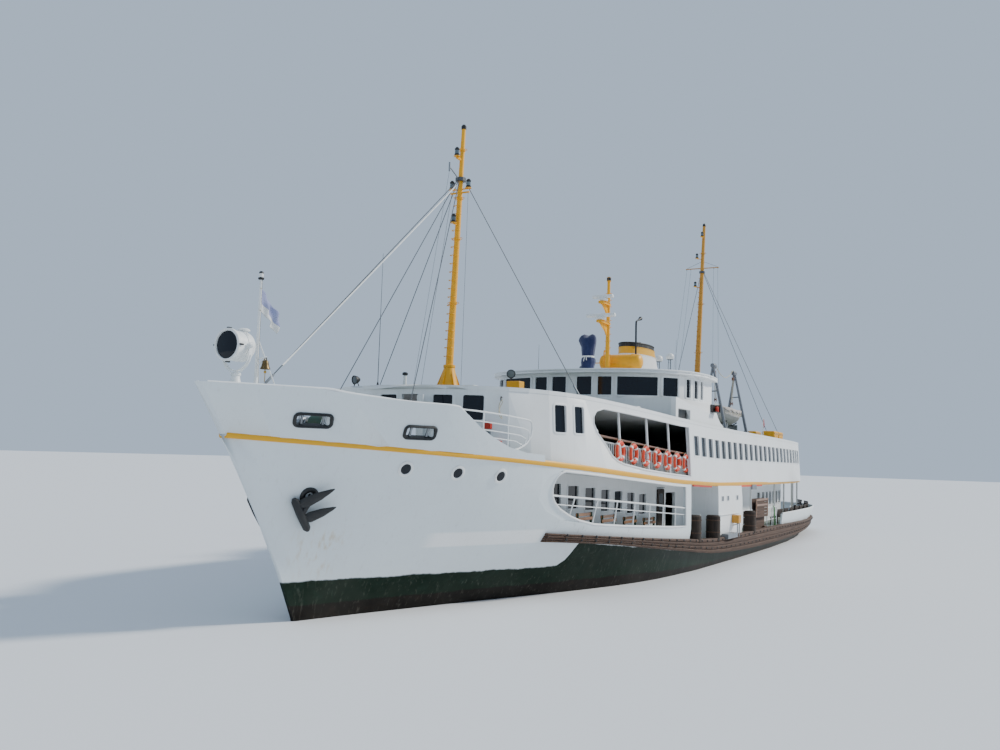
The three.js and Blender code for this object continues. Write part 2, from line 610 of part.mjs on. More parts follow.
function door(x, hingeY, freeY, sill, head) {
  // A leaf in a wall across the ship, with pivot pins at the sill and the head of its hinge edge.
  const inward = Math.sign(freeY - hingeY);
  const [y0, y1] = [hingeY + inward * DOOR.clear, freeY - inward * DOOR.clear];
  const pinY = y0 + inward * DOOR.inset;
  const leaf = box(x, x + DOOR.thick, Math.min(y0, y1), Math.max(y0, y1), sill + DOOR.clear, head - DOOR.clear);
  const middle = x + DOOR.thick / 2;
  return leaf.add(rod([middle, pinY, sill + GAP], [middle, pinY, head - GAP], DOOR.pin, 10));
}

function saloonDoor() {
  const d = SALOON_DOOR;
  return door(SALOON_AFT_X + 0.03, d.half, -d.half, d.sill, d.head);
}

function boatDeckPlate() {
  const stations = [SALOON_AFT_X - 0.1, ...TAIL_STATIONS, HOUSE_SPLIT_X, ...NOSE_STATIONS, HOUSE_FRONT_X + 0.05];
  return deckPlate(stations, (x) => houseHalf(x, boatDeckZ(x)) + 0.02, boatDeckZ);
}

const LIFEBUOY = { first: 7.62, pitch: 1.15, count: 7, ring: 0.29, tube: 0.08 };

function upperGalleryRail(side) {
  const ends = [7.4, 16.0];
  const place = (x, rise) => {
    const z = upperDeckZ(x) + rise;
    return [x, side * (houseHalf(x, z) - WALL - 0.14), z];
  };
  const line = (rise, radius) => pipe(steps(...ends, 3).map((x) => place(x, rise)), radius, 4);
  const parts = [line(1.12, 0.05)];
  for (let k = 0; k < LIFEBUOY.count; k += 1) {
    const x = LIFEBUOY.first + k * LIFEBUOY.pitch;
    parts.push(rod(place(x, -0.05), place(x, 1.12), 0.02, 4));
    const ring = new THREE.TorusGeometry(LIFEBUOY.ring, LIFEBUOY.tube, 4, 8);
    ring.rotateX(Math.PI / 2);
    ring.translate(...place(x, 0.72));
    parts.push(solid(ring));
  }
  return joined(parts).subtract(onUpperDeck);
}

function bowSideRail(side) {
  const xs = steps(20.5, 23.3, 3);
  const place = (x, rise) => [x, side * (halfBreadth(x, 4.4) - 0.3), upperDeckZ(x) + rise];
  const parts = [pipe(xs.map((x) => place(x, 1.15)), 0.022, 4)];
  xs.forEach((x) => parts.push(rod(place(x, -0.05), place(x, 1.17), 0.022, 4)));
  return joined(parts).subtract(onUpperDeck);
}

function aftRail() {
  // The rail round the open after end of the upper deck, as one run from side to side.
  const route = [[-20.9, 3.75], [-22.6, 3.4], [-24.2, 2.6], [-25.2, 1.5], [-25.6, 0]];
  const run = [...route, ...route.slice(0, -1).reverse().map(([x, y]) => [x, -y])];
  const line = (rise) => pipe(run.map(([x, y]) => [x, y, upperDeckZ(x) + rise]), 0.025, 4);
  const posts = run.map(([x, y]) => rod([x, y, upperDeckZ(x) - 0.05], [x, y, upperDeckZ(x) + 1.1], 0.025, 4));
  return joined([line(1.1), ...posts]).subtract(onUpperDeck);
}

// Wheelhouse

// Columns: low edge, high edge.
const BRIDGE_FRONT_WINDOWS = [[0.23, 0.92], [1.15, 1.77], [1.98, 3.55], [3.7, 4.2]];
const BRIDGE_SIDE_WINDOWS = [[4.54, 4.88], [5.12, 5.54], [5.82, 6.15]];
const BRIDGE_BACK_WINDOWS = [[-4.0, -3.0], [3.0, 4.0]];
const BRIDGE_WINDOW_Z = [7.07, 7.87];
const BRIDGE_DOOR = { inner: 1.7, outer: 2.5, sill: 6.2, head: 7.85 };

// The bulwark on the deck beside and ahead of the wheelhouse, with one opening low in each side.
const WING = { top: 6.92, fore: 8.9, near: 4.63, far: 4.84, port: [6.95, 8.6, 6.12, 6.5] };
// Columns: x, z along the bulwark's after edge.
const WING_TAIL = [[1.8, 6.08], [2.3, 6.2], [2.7, 6.42], [3.1, 6.75], [3.45, WING.top]];

function wingBulwark(side) {
  const outline = [...WING_TAIL, [WING.fore, WING.top], [WING.fore, 5.8], [WING_TAIL[0][0], 5.8]];
  const [y0, y1] = side > 0 ? [WING.near, WING.far] : [-WING.far, -WING.near];
  const [x0, x1, z0, z1] = WING.port;
  const wall = sidePrism(outline, y0, y1).subtract(box(x0, x1, -FAR, FAR, z0, z1));
  const end = [[WING.fore, WING.far], [7.85, 1.2], [7.75, 1.2], [WING.fore - 0.12, WING.far - 0.1]];
  return wall.add(plate(end.map(([x, y]) => [x, side * y]), 5.8, WING.top));
}

function mirrored(half) {
  return [...half, ...half.map(([x, y]) => [x, -y]).reverse()];
}

function wheelhouseWalls() {
  const inner = BRIDGE_OUTLINE.map(([x, y], k) => [k === 0 ? x + WALL : x - WALL * 0.7, y - WALL]);
  const shell = joined([wingBulwark(PORT), wingBulwark(STARBOARD), plate(mirrored(BRIDGE_OUTLINE), 5.8, BRIDGE_ROOF_Z - GAP)])
    .subtract(plate(mirrored(inner), 5.5, 9));
  const [z0, z1] = BRIDGE_WINDOW_Z;
  const d = BRIDGE_DOOR;
  const windows = [
    ...BRIDGE_FRONT_WINDOWS.map(([a, b]) => box(6, 9, a, b, z0, z1)),
    ...BRIDGE_FRONT_WINDOWS.map(([a, b]) => box(6, 9, -b, -a, z0, z1)),
    ...BRIDGE_SIDE_WINDOWS.map(([a, b]) => box(a, b, -FAR, FAR, z0, z1)),
    ...BRIDGE_BACK_WINDOWS.map(([a, b]) => box(2.5, 3.5, a, b, z0, z1)),
    box(2.5, 3.5, d.inner, d.outer, d.sill, d.head),
    box(2.5, 3.5, -d.outer, -d.inner, d.sill, d.head),
  ];
  return cut(shell, [onBoatDeck, ...windows]);
}

function wheelhouseRoof() {
  const half = [[2.8, 4.82], [3.6, 4.92], [4.7, 4.95], [5.6, 4.84], [6.3, 4.63], [6.9, 4.28], [7.45, 3.75], [7.9, 3.0], [8.2, 1.95],
    [8.36, 0.7]];
  return plate(mirrored(half), BRIDGE_ROOF_Z, BRIDGE_ROOF_Z + 0.14);
}

function wheelhouseDoor(side) {
  const d = BRIDGE_DOOR;
  return door(BRIDGE_AFT_X + 0.03, side * d.outer, side * d.inner, d.sill, d.head);
}

// Engine casing, funnel and what stands on the roof

const CASING_TOP = BRIDGE_ROOF_Z - 0.02;
const ROOF_TOP = BRIDGE_ROOF_Z + 0.14 + GAP;

function engineCasing() {
  return box(-4.6, BRIDGE_AFT_X - GAP, -1.5, 1.5, 5.7, CASING_TOP).subtract(onBoatDeck);
}

function loftUp(rings) {
  // As loft, for rings of [x, y, z] points that lie flat.
  const body = loft(rings.map((ring) => ring.map(([x, y, z]) => [z, x, y])));
  const mesh = body.getMesh();
  const back = new Float32Array(mesh.vertProperties.length);
  for (let i = 0; i < back.length; i += 3) {
    const [z, x, y] = mesh.vertProperties.slice(i, i + 3);
    back.set([x, y, z], i);
  }
  return new wasm.Manifold(new wasm.Mesh({ numProp: 3, vertProperties: back, triVerts: mesh.triVerts }));
}

function funnel() {
  // Columns: height, half-length, half-width, centre x.
  const levels = [[CASING_TOP + GAP, 2.2, 0.9, -0.5], [9.3, 1.85, 0.78, -0.1], [10.08, 1.6, 0.72, 0.1]];
  return loftUp(levels.map(([z, a, b, x]) => Array.from({ length: 18 }, (_, k) => {
    const angle = (2 * Math.PI * k) / 18;
    return [x + a * Math.cos(angle), b * Math.sin(angle), z];
  })));
}

// Columns: shelf height, reach forward, scanner length.
const RADAR = { x: 4.0, head: 12.7, radius: 0.12, shelves: [[11.5, 0.95, 1.0], [10.6, 1.15, 1.4]] };

function radarMast() {
  const arms = RADAR.shelves.flatMap(([z, reach]) => [
    box(RADAR.x, RADAR.x + reach, -0.12, 0.12, z, z + 0.1),
    rod([RADAR.x, 0, z - 0.6], [RADAR.x + reach * 0.7, 0, z + 0.03], 0.04, 6),
  ]);
  return joined([
    rod([RADAR.x, 0, ROOF_TOP], [RADAR.x, 0, RADAR.head], RADAR.radius, 10, 0.07),
    rod([RADAR.x, 0, RADAR.head - 0.05], [RADAR.x, 0, RADAR.head + 0.15], 0.1, 8),
    ...arms,
  ]);
}

function scanner(index) {
  const [shelf, reach, length] = RADAR.shelves[index];
  const x = RADAR.x + reach - 0.25;
  const z = shelf + 0.1 + GAP;
  return joined([
    rod([x, 0, z], [x, 0, z + 0.16], 0.12, 10),
    box(x - 0.09, x + 0.09, -length / 2, length / 2, z + 0.12, z + 0.3),
  ]);
}

const TANK = { x: 3.3, z: 8.95, radius: 0.36, ends: [-0.62, 1.45], feet: [-0.35, 1.0] };

function airTank() {
  const feet = TANK.feet.map((y) => box(TANK.x - 0.15, TANK.x + 0.15, y - 0.06, y + 0.06, ROOF_TOP, TANK.z));
  return joined([rod([TANK.x, TANK.ends[0], TANK.z], [TANK.x, TANK.ends[1], TANK.z], TANK.radius, 14), ...feet]);
}

function coveredCompass() {
  const profile = [[0, 0], [0.3, 0], [0.36, 0.15], [0.33, 0.6], [0.38, 0.8], [0.36, 1.2], [0.24, 1.38], [0, 1.42]];
  return lathe(profile, [6.3, 0.1, ROOF_TOP]);
}

// Masts and their main stays

const FOREMAST = { foot: 18.1, heel: 7.0, head: 15.5, rake: -0.42, heelRadius: 0.13, headRadius: 0.07 };
const MAINMAST = { foot: -10.1, heel: 5.7, head: 19.0, rake: -1.6, heelRadius: 0.2, headRadius: 0.09 };

function pole(mast, grow = 0) {
  return rod([mast.foot, 0, mast.heel], [mast.foot + mast.rake, 0, mast.head], mast.heelRadius + grow, 10, mast.headRadius + grow);
}

function mastAt(mast, z) {
  return mast.foot + (mast.rake * (z - mast.heel)) / (mast.head - mast.heel);
}

function foremast() {
  return joined([
    rod([FOREMAST.foot, 0, 6], [FOREMAST.foot - 0.04, 0, 7.3], 0.32, 12, 0.12),
    pole(FOREMAST),
    rod([17.78, -0.35, 13.2], [17.78, 0.35, 13.2], 0.03, 6),
    box(17.72, 18.1, -0.05, 0.05, 14.3, 14.36),
    rod([18.05, 0, 14.3], [18.05, 0, 14.75], 0.1, 8),
  ]).subtract(onBoatDeck);
}

const MAIN_YARD_Z = 16.25;

function mainmast() {
  const yardX = mastAt(MAINMAST, MAIN_YARD_Z);
  return joined([
    pole(MAINMAST),
    rod([yardX, -1.0, MAIN_YARD_Z], [yardX, 1.0, MAIN_YARD_Z], 0.035, 6),
    rod([mastAt(MAINMAST, 18.2), -0.22, 18.2], [mastAt(MAINMAST, 18.2), -0.22, 18.5], 0.09, 8),
    rod([mastAt(MAINMAST, 18.25), -0.22, 18.25], [mastAt(MAINMAST, 18.25), 0, 18.25], 0.03, 6),
  ]).subtract(onBoatDeck);
}

const STAY_COLLAR = 0.15;

function stays(mast, height, feet) {
  // Wires from one collar on the mast to their feet on deck.
  const x = mastAt(mast, height);
  const collar = rod([x, 0, height - 0.06], [x, 0, height + 0.06], STAY_COLLAR + 0.03, 10);
  const wires = feet.map(([fx, fy, fz]) => {
    const flat = Math.hypot(fx - x, fy);
    const start = [x + (STAY_COLLAR * (fx - x)) / flat, (STAY_COLLAR * fy) / flat, height - 0.04];
    return rod(start, [fx, fy, fz], 0.014, 5);
  });
  const houseTop = onBoatDeck.intersect(box(-30, HOUSE_FRONT_X + 1, -FAR, FAR, 0, 9));
  return cut(joined([collar, ...wires]), [pole(mast, 2 * GAP), houseTop, onUpperDeck]);
}

// Boats and davits

const DAVIT = { xs: [-1.25, -5.55], footY: 4.15, legY: 3.0, headY: 3.5, headZ: 9.2, headRadius: 0.11, reach: 0.42,
  leg: 0.065, knuckle: 0.2 };
const DAVIT_FOOT_Z = 6.06;
const BOAT = { x: -3.4, y: 3.5, keel: 6.35, half: 1.85, beam: 0.7, depth: 0.72 };

function lifeboat(side) {
  const runs = [-1, -0.88, -0.5, 0, 0.5, 0.88, 1];
  const rings = runs.map((run) => {
    const fat = Math.max(1 - run * run, 0.01) ** 0.4;
    const x = BOAT.x + run * BOAT.half;
    const b = BOAT.beam * fat;
    const keel = BOAT.keel + 0.25 * run * run;
    const gunwale = BOAT.keel + BOAT.depth + 0.14 * run * run;
    const half = [[0, keel], [b * 0.62, keel + 0.16], [b * 0.95, keel + 0.42], [b, gunwale], [b * 0.5, gunwale + 0.16 * fat]];
    const ridge = [0, gunwale + 0.22 * fat];
    const around = [...half, ridge, ...half.slice(1).reverse().map(([y, z]) => [-y, z])];
    return around.map(([y, z]) => [x, side * BOAT.y + y, z]);
  });
  const top = DAVIT.headZ - DAVIT.headRadius - GAP;
  const falls = DAVIT.xs.map((x) => {
    const toBoat = Math.sign(BOAT.x - x);
    const hook = BOAT.x - toBoat * (BOAT.half - 0.25);
    const block = x + toBoat * (DAVIT.reach - 0.07);
    return joined([
      rod([hook, side * BOAT.y, BOAT.keel + 0.6], [block, side * BOAT.y, top - 0.1], 0.02, 6),
      box(block - 0.05, block + 0.05, side * BOAT.y - 0.04, side * BOAT.y + 0.04, top - 0.2, top),
    ]);
  });
  return joined([loft(rings), ...falls]);
}

function davit(side, x) {
  const toBoat = Math.sign(BOAT.x - x);
  const head = [x, side * DAVIT.headY, DAVIT.headZ];
  const foot = [x, side * DAVIT.footY, DAVIT_FOOT_Z];
  const knuckle = DAVIT_FOOT_Z - facetZ(boatDeckZ, x + DAVIT.knuckle) - GAP;
  return joined([
    rod([x, side * DAVIT.legY, boatDeckZ(x) - 0.02], head, DAVIT.leg, 8, 0.05),
    rod(foot, head, DAVIT.leg, 8, 0.05),
    rod([x - toBoat * 0.1, head[1], head[2]], [x + toBoat * DAVIT.reach, head[1], head[2]], DAVIT.headRadius, 12),
    rod([x - DAVIT.knuckle, foot[1], foot[2]], [x + DAVIT.knuckle, foot[1], foot[2]], knuckle, 12),
  ]).subtract(onBoatDeck);
}

function boatChocks(side) {
  // Two cradles under the keel, joined by a fore-and-aft bearer on the deck.
  const y = side * BOAT.y;
  const bearer = box(BOAT.x - 1.2, BOAT.x + 1.2, y - 0.1, y + 0.1, 5.8, 6.06);
  const cradles = [-1, 1].map((sign) => box(BOAT.x + sign - 0.06, BOAT.x + sign + 0.06, y - 0.45, y + 0.45, 5.8, BOAT.keel + 0.055));
  return joined([bearer, ...cradles]).subtract(onBoatDeck);
}

// Foredeck gear

const LAMP = { x: 27.9, z: 6.78, base: 6.1, radius: 0.36, arm: 0.44 };

function searchlightBase() {
  return rod([LAMP.x, 0, BOW_PLATFORM.top + GAP], [LAMP.x, 0, LAMP.base], 0.13, 10, 0.1);
}

function searchlightYoke() {
  const foot = LAMP.base + GAP;
  return joined([
    rod([LAMP.x, 0, foot], [LAMP.x, 0, foot + 0.06], 0.12, 10),
    box(LAMP.x - 0.05, LAMP.x + 0.05, -LAMP.arm, LAMP.arm, foot + 0.05, foot + 0.1),
    box(LAMP.x - 0.05, LAMP.x + 0.05, LAMP.arm - 0.03, LAMP.arm, foot + 0.05, LAMP.z + 0.06),
    box(LAMP.x - 0.05, LAMP.x + 0.05, -LAMP.arm, 0.03 - LAMP.arm, foot + 0.05, LAMP.z + 0.06),
  ]);
}

function searchlightDrum() {
  const pin = LAMP.arm - 0.03 - GAP;
  return joined([
    rod([LAMP.x - 0.34, 0, LAMP.z], [LAMP.x + 0.3, 0, LAMP.z], LAMP.radius, 16),
    rod([LAMP.x + 0.28, 0, LAMP.z], [LAMP.x + 0.36, 0, LAMP.z], LAMP.radius + 0.03, 16),
    rod([LAMP.x, -pin, LAMP.z], [LAMP.x, pin, LAMP.z], 0.05, 8),
  ]);
}

const STAFF = { x: 27.2, head: 8.7, radius: 0.045, arm: 6.55, reach: 0.26 };

function jackstaff() {
  const bell = lathe([[0, 0], [0.15, 0], [0.12, 0.1], [0.08, 0.24], [0, 0.27]], [STAFF.x, STAFF.reach, STAFF.arm - 0.32]);
  return joined([
    rod([STAFF.x, 0, BOW_PLATFORM.top + GAP], [STAFF.x, 0, STAFF.head], STAFF.radius, 8, 0.03),
    rod([STAFF.x, 0, STAFF.head - 0.05], [STAFF.x, 0, STAFF.head + 0.1], 0.06, 8),
    rod([STAFF.x, 0, STAFF.arm], [STAFF.x, STAFF.reach + 0.03, STAFF.arm], 0.02, 6),
    rod([STAFF.x, STAFF.reach, STAFF.arm - 0.08], [STAFF.x, STAFF.reach, STAFF.arm], 0.02, 6),
    bell,
  ]);
}

function bowFlag() {
  const luff = STAFF.x - 0.035 - GAP;
  return sidePrism([[luff, 8.35], [luff, 7.75], [luff - 0.2, 7.45], [luff - 0.42, 7.6]], -0.01, 0.01);
}

function windlass() {
  return joined([
    box(24.2, 25.0, -0.9, 0.9, 4.2, 4.8),
    rod([24.6, -1.1, 5.0], [24.6, 1.1, 5.0], 0.22, 12),
    box(24.4, 24.8, -0.25, 0.25, 4.6, 5.35),
  ]).subtract(onUpperDeck);
}

// Each point is x, z on the hull's side. Each arm runs from the crown bar to its bill.
const ANCHOR = { hawse: [25.98, 3.22], crown: [26.11, 2.76], bar: [[26.39, 3.14], [25.83, 2.38]],
  arms: [[[26.27, 2.96], [25.71, 3.42]], [[26.04, 2.62], [25.48, 2.96]]] };

function anchor(side) {
  // Hung from its hawse pipe with the arms lying along the plating.
  const a = ANCHOR;
  const at = ([x, z], proud) => [x, side * (halfBreadth(x, z) + proud), z];
  return joined([
    rod(at(a.hawse, -0.1), at(a.crown, 0.15), 0.07, 8),
    rod(at(a.bar[0], 0.17), at(a.bar[1], 0.17), 0.09, 8),
    ...a.arms.map(([root, bill]) => rod(at(root, 0.17), at(bill, 0.3), 0.08, 8, 0.02)),
  ]).subtract(hullGrown);
}

// Steering and propulsion

const RUDDER = { x: -25.0, top: -1.35, foot: -2.4, stock: 0.1, seat: -0.75 };
// Columns: x, half-thickness.
const RUDDER_SECTION = [[-26.3, 0.02], [-25.4, 0.12], [-24.8, 0.14], [-24.45, 0.06]];
const SCREW = { x: -21.9, y: 2.0, z: -1.85, blades: 4 };
// Columns: across the blade, out from the hub.
const BLADE = [[0, 0.05], [0.2, 0.25], [0.24, 0.42], [0.1, 0.58], [-0.12, 0.54], [-0.2, 0.3]];

function rudder() {
  const stock = rod([RUDDER.x, 0, -1.6], [RUDDER.x, 0, RUDDER.seat], RUDDER.stock, 12);
  return plate(mirrored(RUDDER_SECTION), RUDDER.foot, RUDDER.top).add(stock);
}

function propeller(side) {
  const hub = rod([SCREW.x - 0.22, 0, 0], [SCREW.x + 0.2, 0, 0], 0.12, 12, 0.15);
  const blades = Array.from({ length: SCREW.blades }, (_, k) => {
    const shape = new THREE.Shape(BLADE.map(([u, v]) => new THREE.Vector2(u, v)));
    const blade = new THREE.ExtrudeGeometry(shape, { depth: 0.04, bevelEnabled: false });
    blade.rotateX(Math.PI / 2);
    blade.rotateZ(side * (Math.PI / 2 - 0.45));
    blade.rotateX((2 * Math.PI * k) / SCREW.blades);
    blade.translate(SCREW.x, 0, 0);
    return solid(blade);
  });
  return joined([hub, ...blades]).translate([0, side * SCREW.y, SCREW.z]);
}

function shaftBracket(side) {
  const y = side * SCREW.y;
  const tube = rod([SCREW.x, y, SCREW.z], [-15, y, SCREW.z + 0.25], 0.11, 10);
  const strut = box(-21.5, -21.2, y - 0.04, y + 0.04, SCREW.z, 0);
  const screwSpace = box(SCREW.x - 1, SCREW.x + 0.2 + GAP, y - 1, y + 1, SCREW.z - 1, SCREW.z + 1);
  return cut(tube.add(strut), [hullGrown, screwSpace]);
}

const FORE_STAY_FEET = [[27.0, 0, 5.86], [23.2, 1.6, 4.38], [23.2, -1.6, 4.38], [16.5, 4.1, 6.25], [16.5, -4.1, 6.25]];
const MAIN_STAY_FEET = [[-16.0, 3.9, 5.85], [-16.0, -3.9, 5.85], [-19.0, 2.6, 5.85], [-19.0, -2.6, 5.85]];

add('hull', hull(), 'white');
add('bow_bulwark', bowBulwark(), 'white');
add('main_deckhouse', mainDeckhouse(), 'white');
add('upper_deck', upperDeckPlate(), 'deck');
add('forward_house', forwardHouse(), 'white');
add('saloon_walls', saloonWalls(), 'white');
add('saloon_door', saloonDoor(), 'white');
add('boat_deck', boatDeckPlate(), 'white');
add('aft_rail', aftRail(), 'white');
add('wheelhouse_walls', wheelhouseWalls(), 'white');
add('wheelhouse_roof', wheelhouseRoof(), 'white');
add('engine_casing', engineCasing(), 'white');
add('funnel', funnel(), 'white');
add('radar_mast', radarMast(), 'yellow');
add('radar_scanner_upper', scanner(0), 'white');
add('radar_scanner_lower', scanner(1), 'white');
add('air_tank', airTank(), 'yellow');
add('covered_compass', coveredCompass(), 'canvas');
add('foremast', foremast(), 'yellow');
add('mainmast', mainmast(), 'ochre');
add('fore_stays', stays(FOREMAST, 13.66, FORE_STAY_FEET), 'steel');
add('main_stays', stays(MAINMAST, 16.0, MAIN_STAY_FEET), 'steel');
add('windlass', windlass(), 'green');
add('searchlight_base', searchlightBase(), 'white');
add('searchlight_yoke', searchlightYoke(), 'white');
add('searchlight_drum', searchlightDrum(), 'white');
add('jackstaff', jackstaff(), 'white');
add('bow_flag', bowFlag(), 'flag');
add('rudder', rudder(), 'black');

for (const [label, side] of SIDES) {
  add(`strake_${label}`, strake(side), 'timber');
  add(`side_casing_${label}`, sideCasing(side), 'white');
  add(`gallery_rail_${label}`, galleryRail(side), 'white');
  add(`gangway_${label}`, gangway(side), 'timber');
  add(`boarding_gate_${label}`, gate(side), 'white');
  add(`upper_rail_${label}`, upperGalleryRail(side), 'orange');
  add(`bow_rail_${label}`, bowSideRail(side), 'white');
  add(`wheelhouse_door_${label}`, wheelhouseDoor(side), 'white');
  add(`lifeboat_${label}`, lifeboat(side), 'boat');
  add(`boat_chocks_${label}`, boatChocks(side), 'steel');
  add(`davit_fore_${label}`, davit(side, DAVIT.xs[0]), 'steel');
  add(`davit_aft_${label}`, davit(side, DAVIT.xs[1]), 'steel');
  add(`anchor_${label}`, anchor(side), 'black');
  add(`propeller_${label}`, propeller(side), 'bronze');
  add(`shaft_bracket_${label}`, shaftBracket(side), 'black');
}

export default ferry;
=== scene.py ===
import logging
import math
from dataclasses import dataclass
from enum import Enum
from typing import Sequence

import bmesh
import bpy
from mathutils import Matrix, Vector
from mathutils.bvhtree import BVHTree
from mathutils.geometry import tessellate_polygon


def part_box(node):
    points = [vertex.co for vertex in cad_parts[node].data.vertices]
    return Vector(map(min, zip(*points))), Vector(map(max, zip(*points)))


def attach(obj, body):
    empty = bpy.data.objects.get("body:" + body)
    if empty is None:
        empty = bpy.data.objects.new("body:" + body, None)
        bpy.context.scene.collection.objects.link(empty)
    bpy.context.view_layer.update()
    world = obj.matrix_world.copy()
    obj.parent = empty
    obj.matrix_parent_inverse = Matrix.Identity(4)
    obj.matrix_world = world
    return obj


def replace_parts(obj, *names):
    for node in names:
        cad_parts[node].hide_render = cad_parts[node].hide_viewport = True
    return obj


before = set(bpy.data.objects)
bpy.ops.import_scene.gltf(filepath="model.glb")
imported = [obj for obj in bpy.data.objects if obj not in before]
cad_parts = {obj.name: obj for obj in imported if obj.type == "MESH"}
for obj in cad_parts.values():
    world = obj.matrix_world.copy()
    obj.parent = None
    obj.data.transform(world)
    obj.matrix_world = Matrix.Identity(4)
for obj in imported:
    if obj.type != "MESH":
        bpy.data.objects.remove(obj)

logging.basicConfig(level=logging.INFO, format="%(message)s")
LOG = logging.getLogger("ferry")

# Sizes below are full-size metres; the model is built at half size, so K turns them into its metres.
K = 0.5
PORT = 1
STARBOARD = -1
SIDES = (("port", PORT), ("starboard", STARBOARD))
Point = Sequence[float]
Socket = bpy.types.NodeSocket

# Deck curves of the model, as (x, z) pairs. The painted lines and the fittings follow them.
MAIN_DECK = ((-29, 1.2), (-20, 1.08), (0, 1.1), (5, 1.15), (9, 1.38), (15.6, 1.8), (20, 2.15))
UPPER_DECK = ((-29, 3.5), (-20, 3.48), (2, 3.5), (8, 3.63), (13.2, 3.88), (18, 4.16), (21, 4.33), (24.4, 4.5),
              (26.65, 4.62), (28.3, 4.71))
BOAT_DECK = ((-21, 5.9), (-8, 5.95), (2, 6.0), (8, 6.1), (15, 6.3), (18, 6.38), (21, 6.45))
STRAKE_TOP = ((-28, 1.12), (-20, 1.06), (-6, 1.2), (2, 1.2), (5, 1.24), (8.8, 1.45), (15.6, 1.9), (18.3, 2.09))
STRAKE_FOOT = ((-28, 0.7), (-19, 0.42), (-12, 0.32), (-4, 0.36), (3.7, 0.55), (9.9, 1.08), (16, 1.66), (18.3, 1.8))

BULWARK_TOP = ((20.1, 4.45), (21.2, 4.51), (21.85, 4.71), (22.5, 4.99), (23.05, 5.38), (23.33, 5.6))


def curve_at(points: Sequence[Point], x: float) -> float:
    """Reads a smooth curve through (x, value) pairs, with limited tangents as the model has.

    Args:
        points: the pairs, in rising x.
        x: where to read it.

    Returns:
        The value at x.
    """
    n = len(points)
    if x <= points[0][0]:
        return points[0][1]
    if x >= points[-1][0]:
        return points[-1][1]
    slopes = [(points[i + 1][1] - points[i][1]) / (points[i + 1][0] - points[i][0]) for i in range(n - 1)]

    def tangent(i: int) -> float:
        """Gives the curve's tangent at pair i.

        Args:
            i: the pair's number.

        Returns:
            The slope there.
        """
        if i in (0, n - 1):
            return slopes[0] if i == 0 else slopes[-1]
        a, b = slopes[i - 1], slopes[i]
        return 0.0 if a * b <= 0 else 2 * a * b / (a + b)

    i = max(k for k in range(n - 1) if points[k][0] <= x)
    h = points[i + 1][0] - points[i][0]
    t = (x - points[i][0]) / h
    return (points[i][1] * (2 * t**3 - 3 * t**2 + 1) + points[i + 1][1] * (3 * t**2 - 2 * t**3) + h
            * (tangent(i) * (t**3 - 2 * t**2 + t) + tangent(i + 1) * (t**3 - t**2)))


def main_z(x: float) -> float:
    """Gives the main deck's height at x."""
    return curve_at(MAIN_DECK, x)


def upper_z(x: float) -> float:
    """Gives the upper deck's height at x."""
    return curve_at(UPPER_DECK, x)


def boat_z(x: float) -> float:
    """Gives the boat deck's height at x."""
    return curve_at(BOAT_DECK, x)


def linear(hex_colour: int) -> tuple[float, float, float, float]:
    """Turns an sRGB hex value into a linear colour.

    Args:
        hex_colour: the colour, such as 0xEEF1F2.

    Returns:
        Red, green, blue and an alpha of 1.
    """
    parts = [((hex_colour >> shift) & 255) / 255 for shift in (16, 8, 0)]
    return tuple(p / 12.92 if p <= 0.04045 else ((p + 0.055) / 1.055) ** 2.4 for p in parts) + (1.0,)


def add_node(tree: bpy.types.NodeTree, kind: str, inputs: dict | None = None, **settings: object) -> bpy.types.Node:
    """Adds a node with its settings, values and links.

    Args:
        tree: the tree that the node joins.
        kind: its type.
        inputs: a value or an output socket for each named or numbered input.
        settings: the node's own properties.

    Returns:
        The node.
    """
    made = tree.nodes.new(kind)
    for name, value in settings.items():
        setattr(made, name, value)
    for key, value in (inputs or {}).items():
        if isinstance(value, bpy.types.NodeSocket):
            tree.links.new(value, made.inputs[key])
        else:
            made.inputs[key].default_value = value
    return made


def join(name: str, data: bpy.types.ID) -> bpy.types.Object:
    """Makes an object of some data and puts it in the scene.

    Args:
        name: the object's name.
        data: its mesh, lamp or camera.

    Returns:
        The object.
    """
    thing = bpy.data.objects.new(name, data)
    bpy.context.scene.collection.objects.link(thing)
    return thing


class Grain(Enum):
    """The direction that a timber's grain runs in."""

    ALONG = (0.35, 9.0, 9.0)
    UPRIGHT = (9.0, 9.0, 0.35)


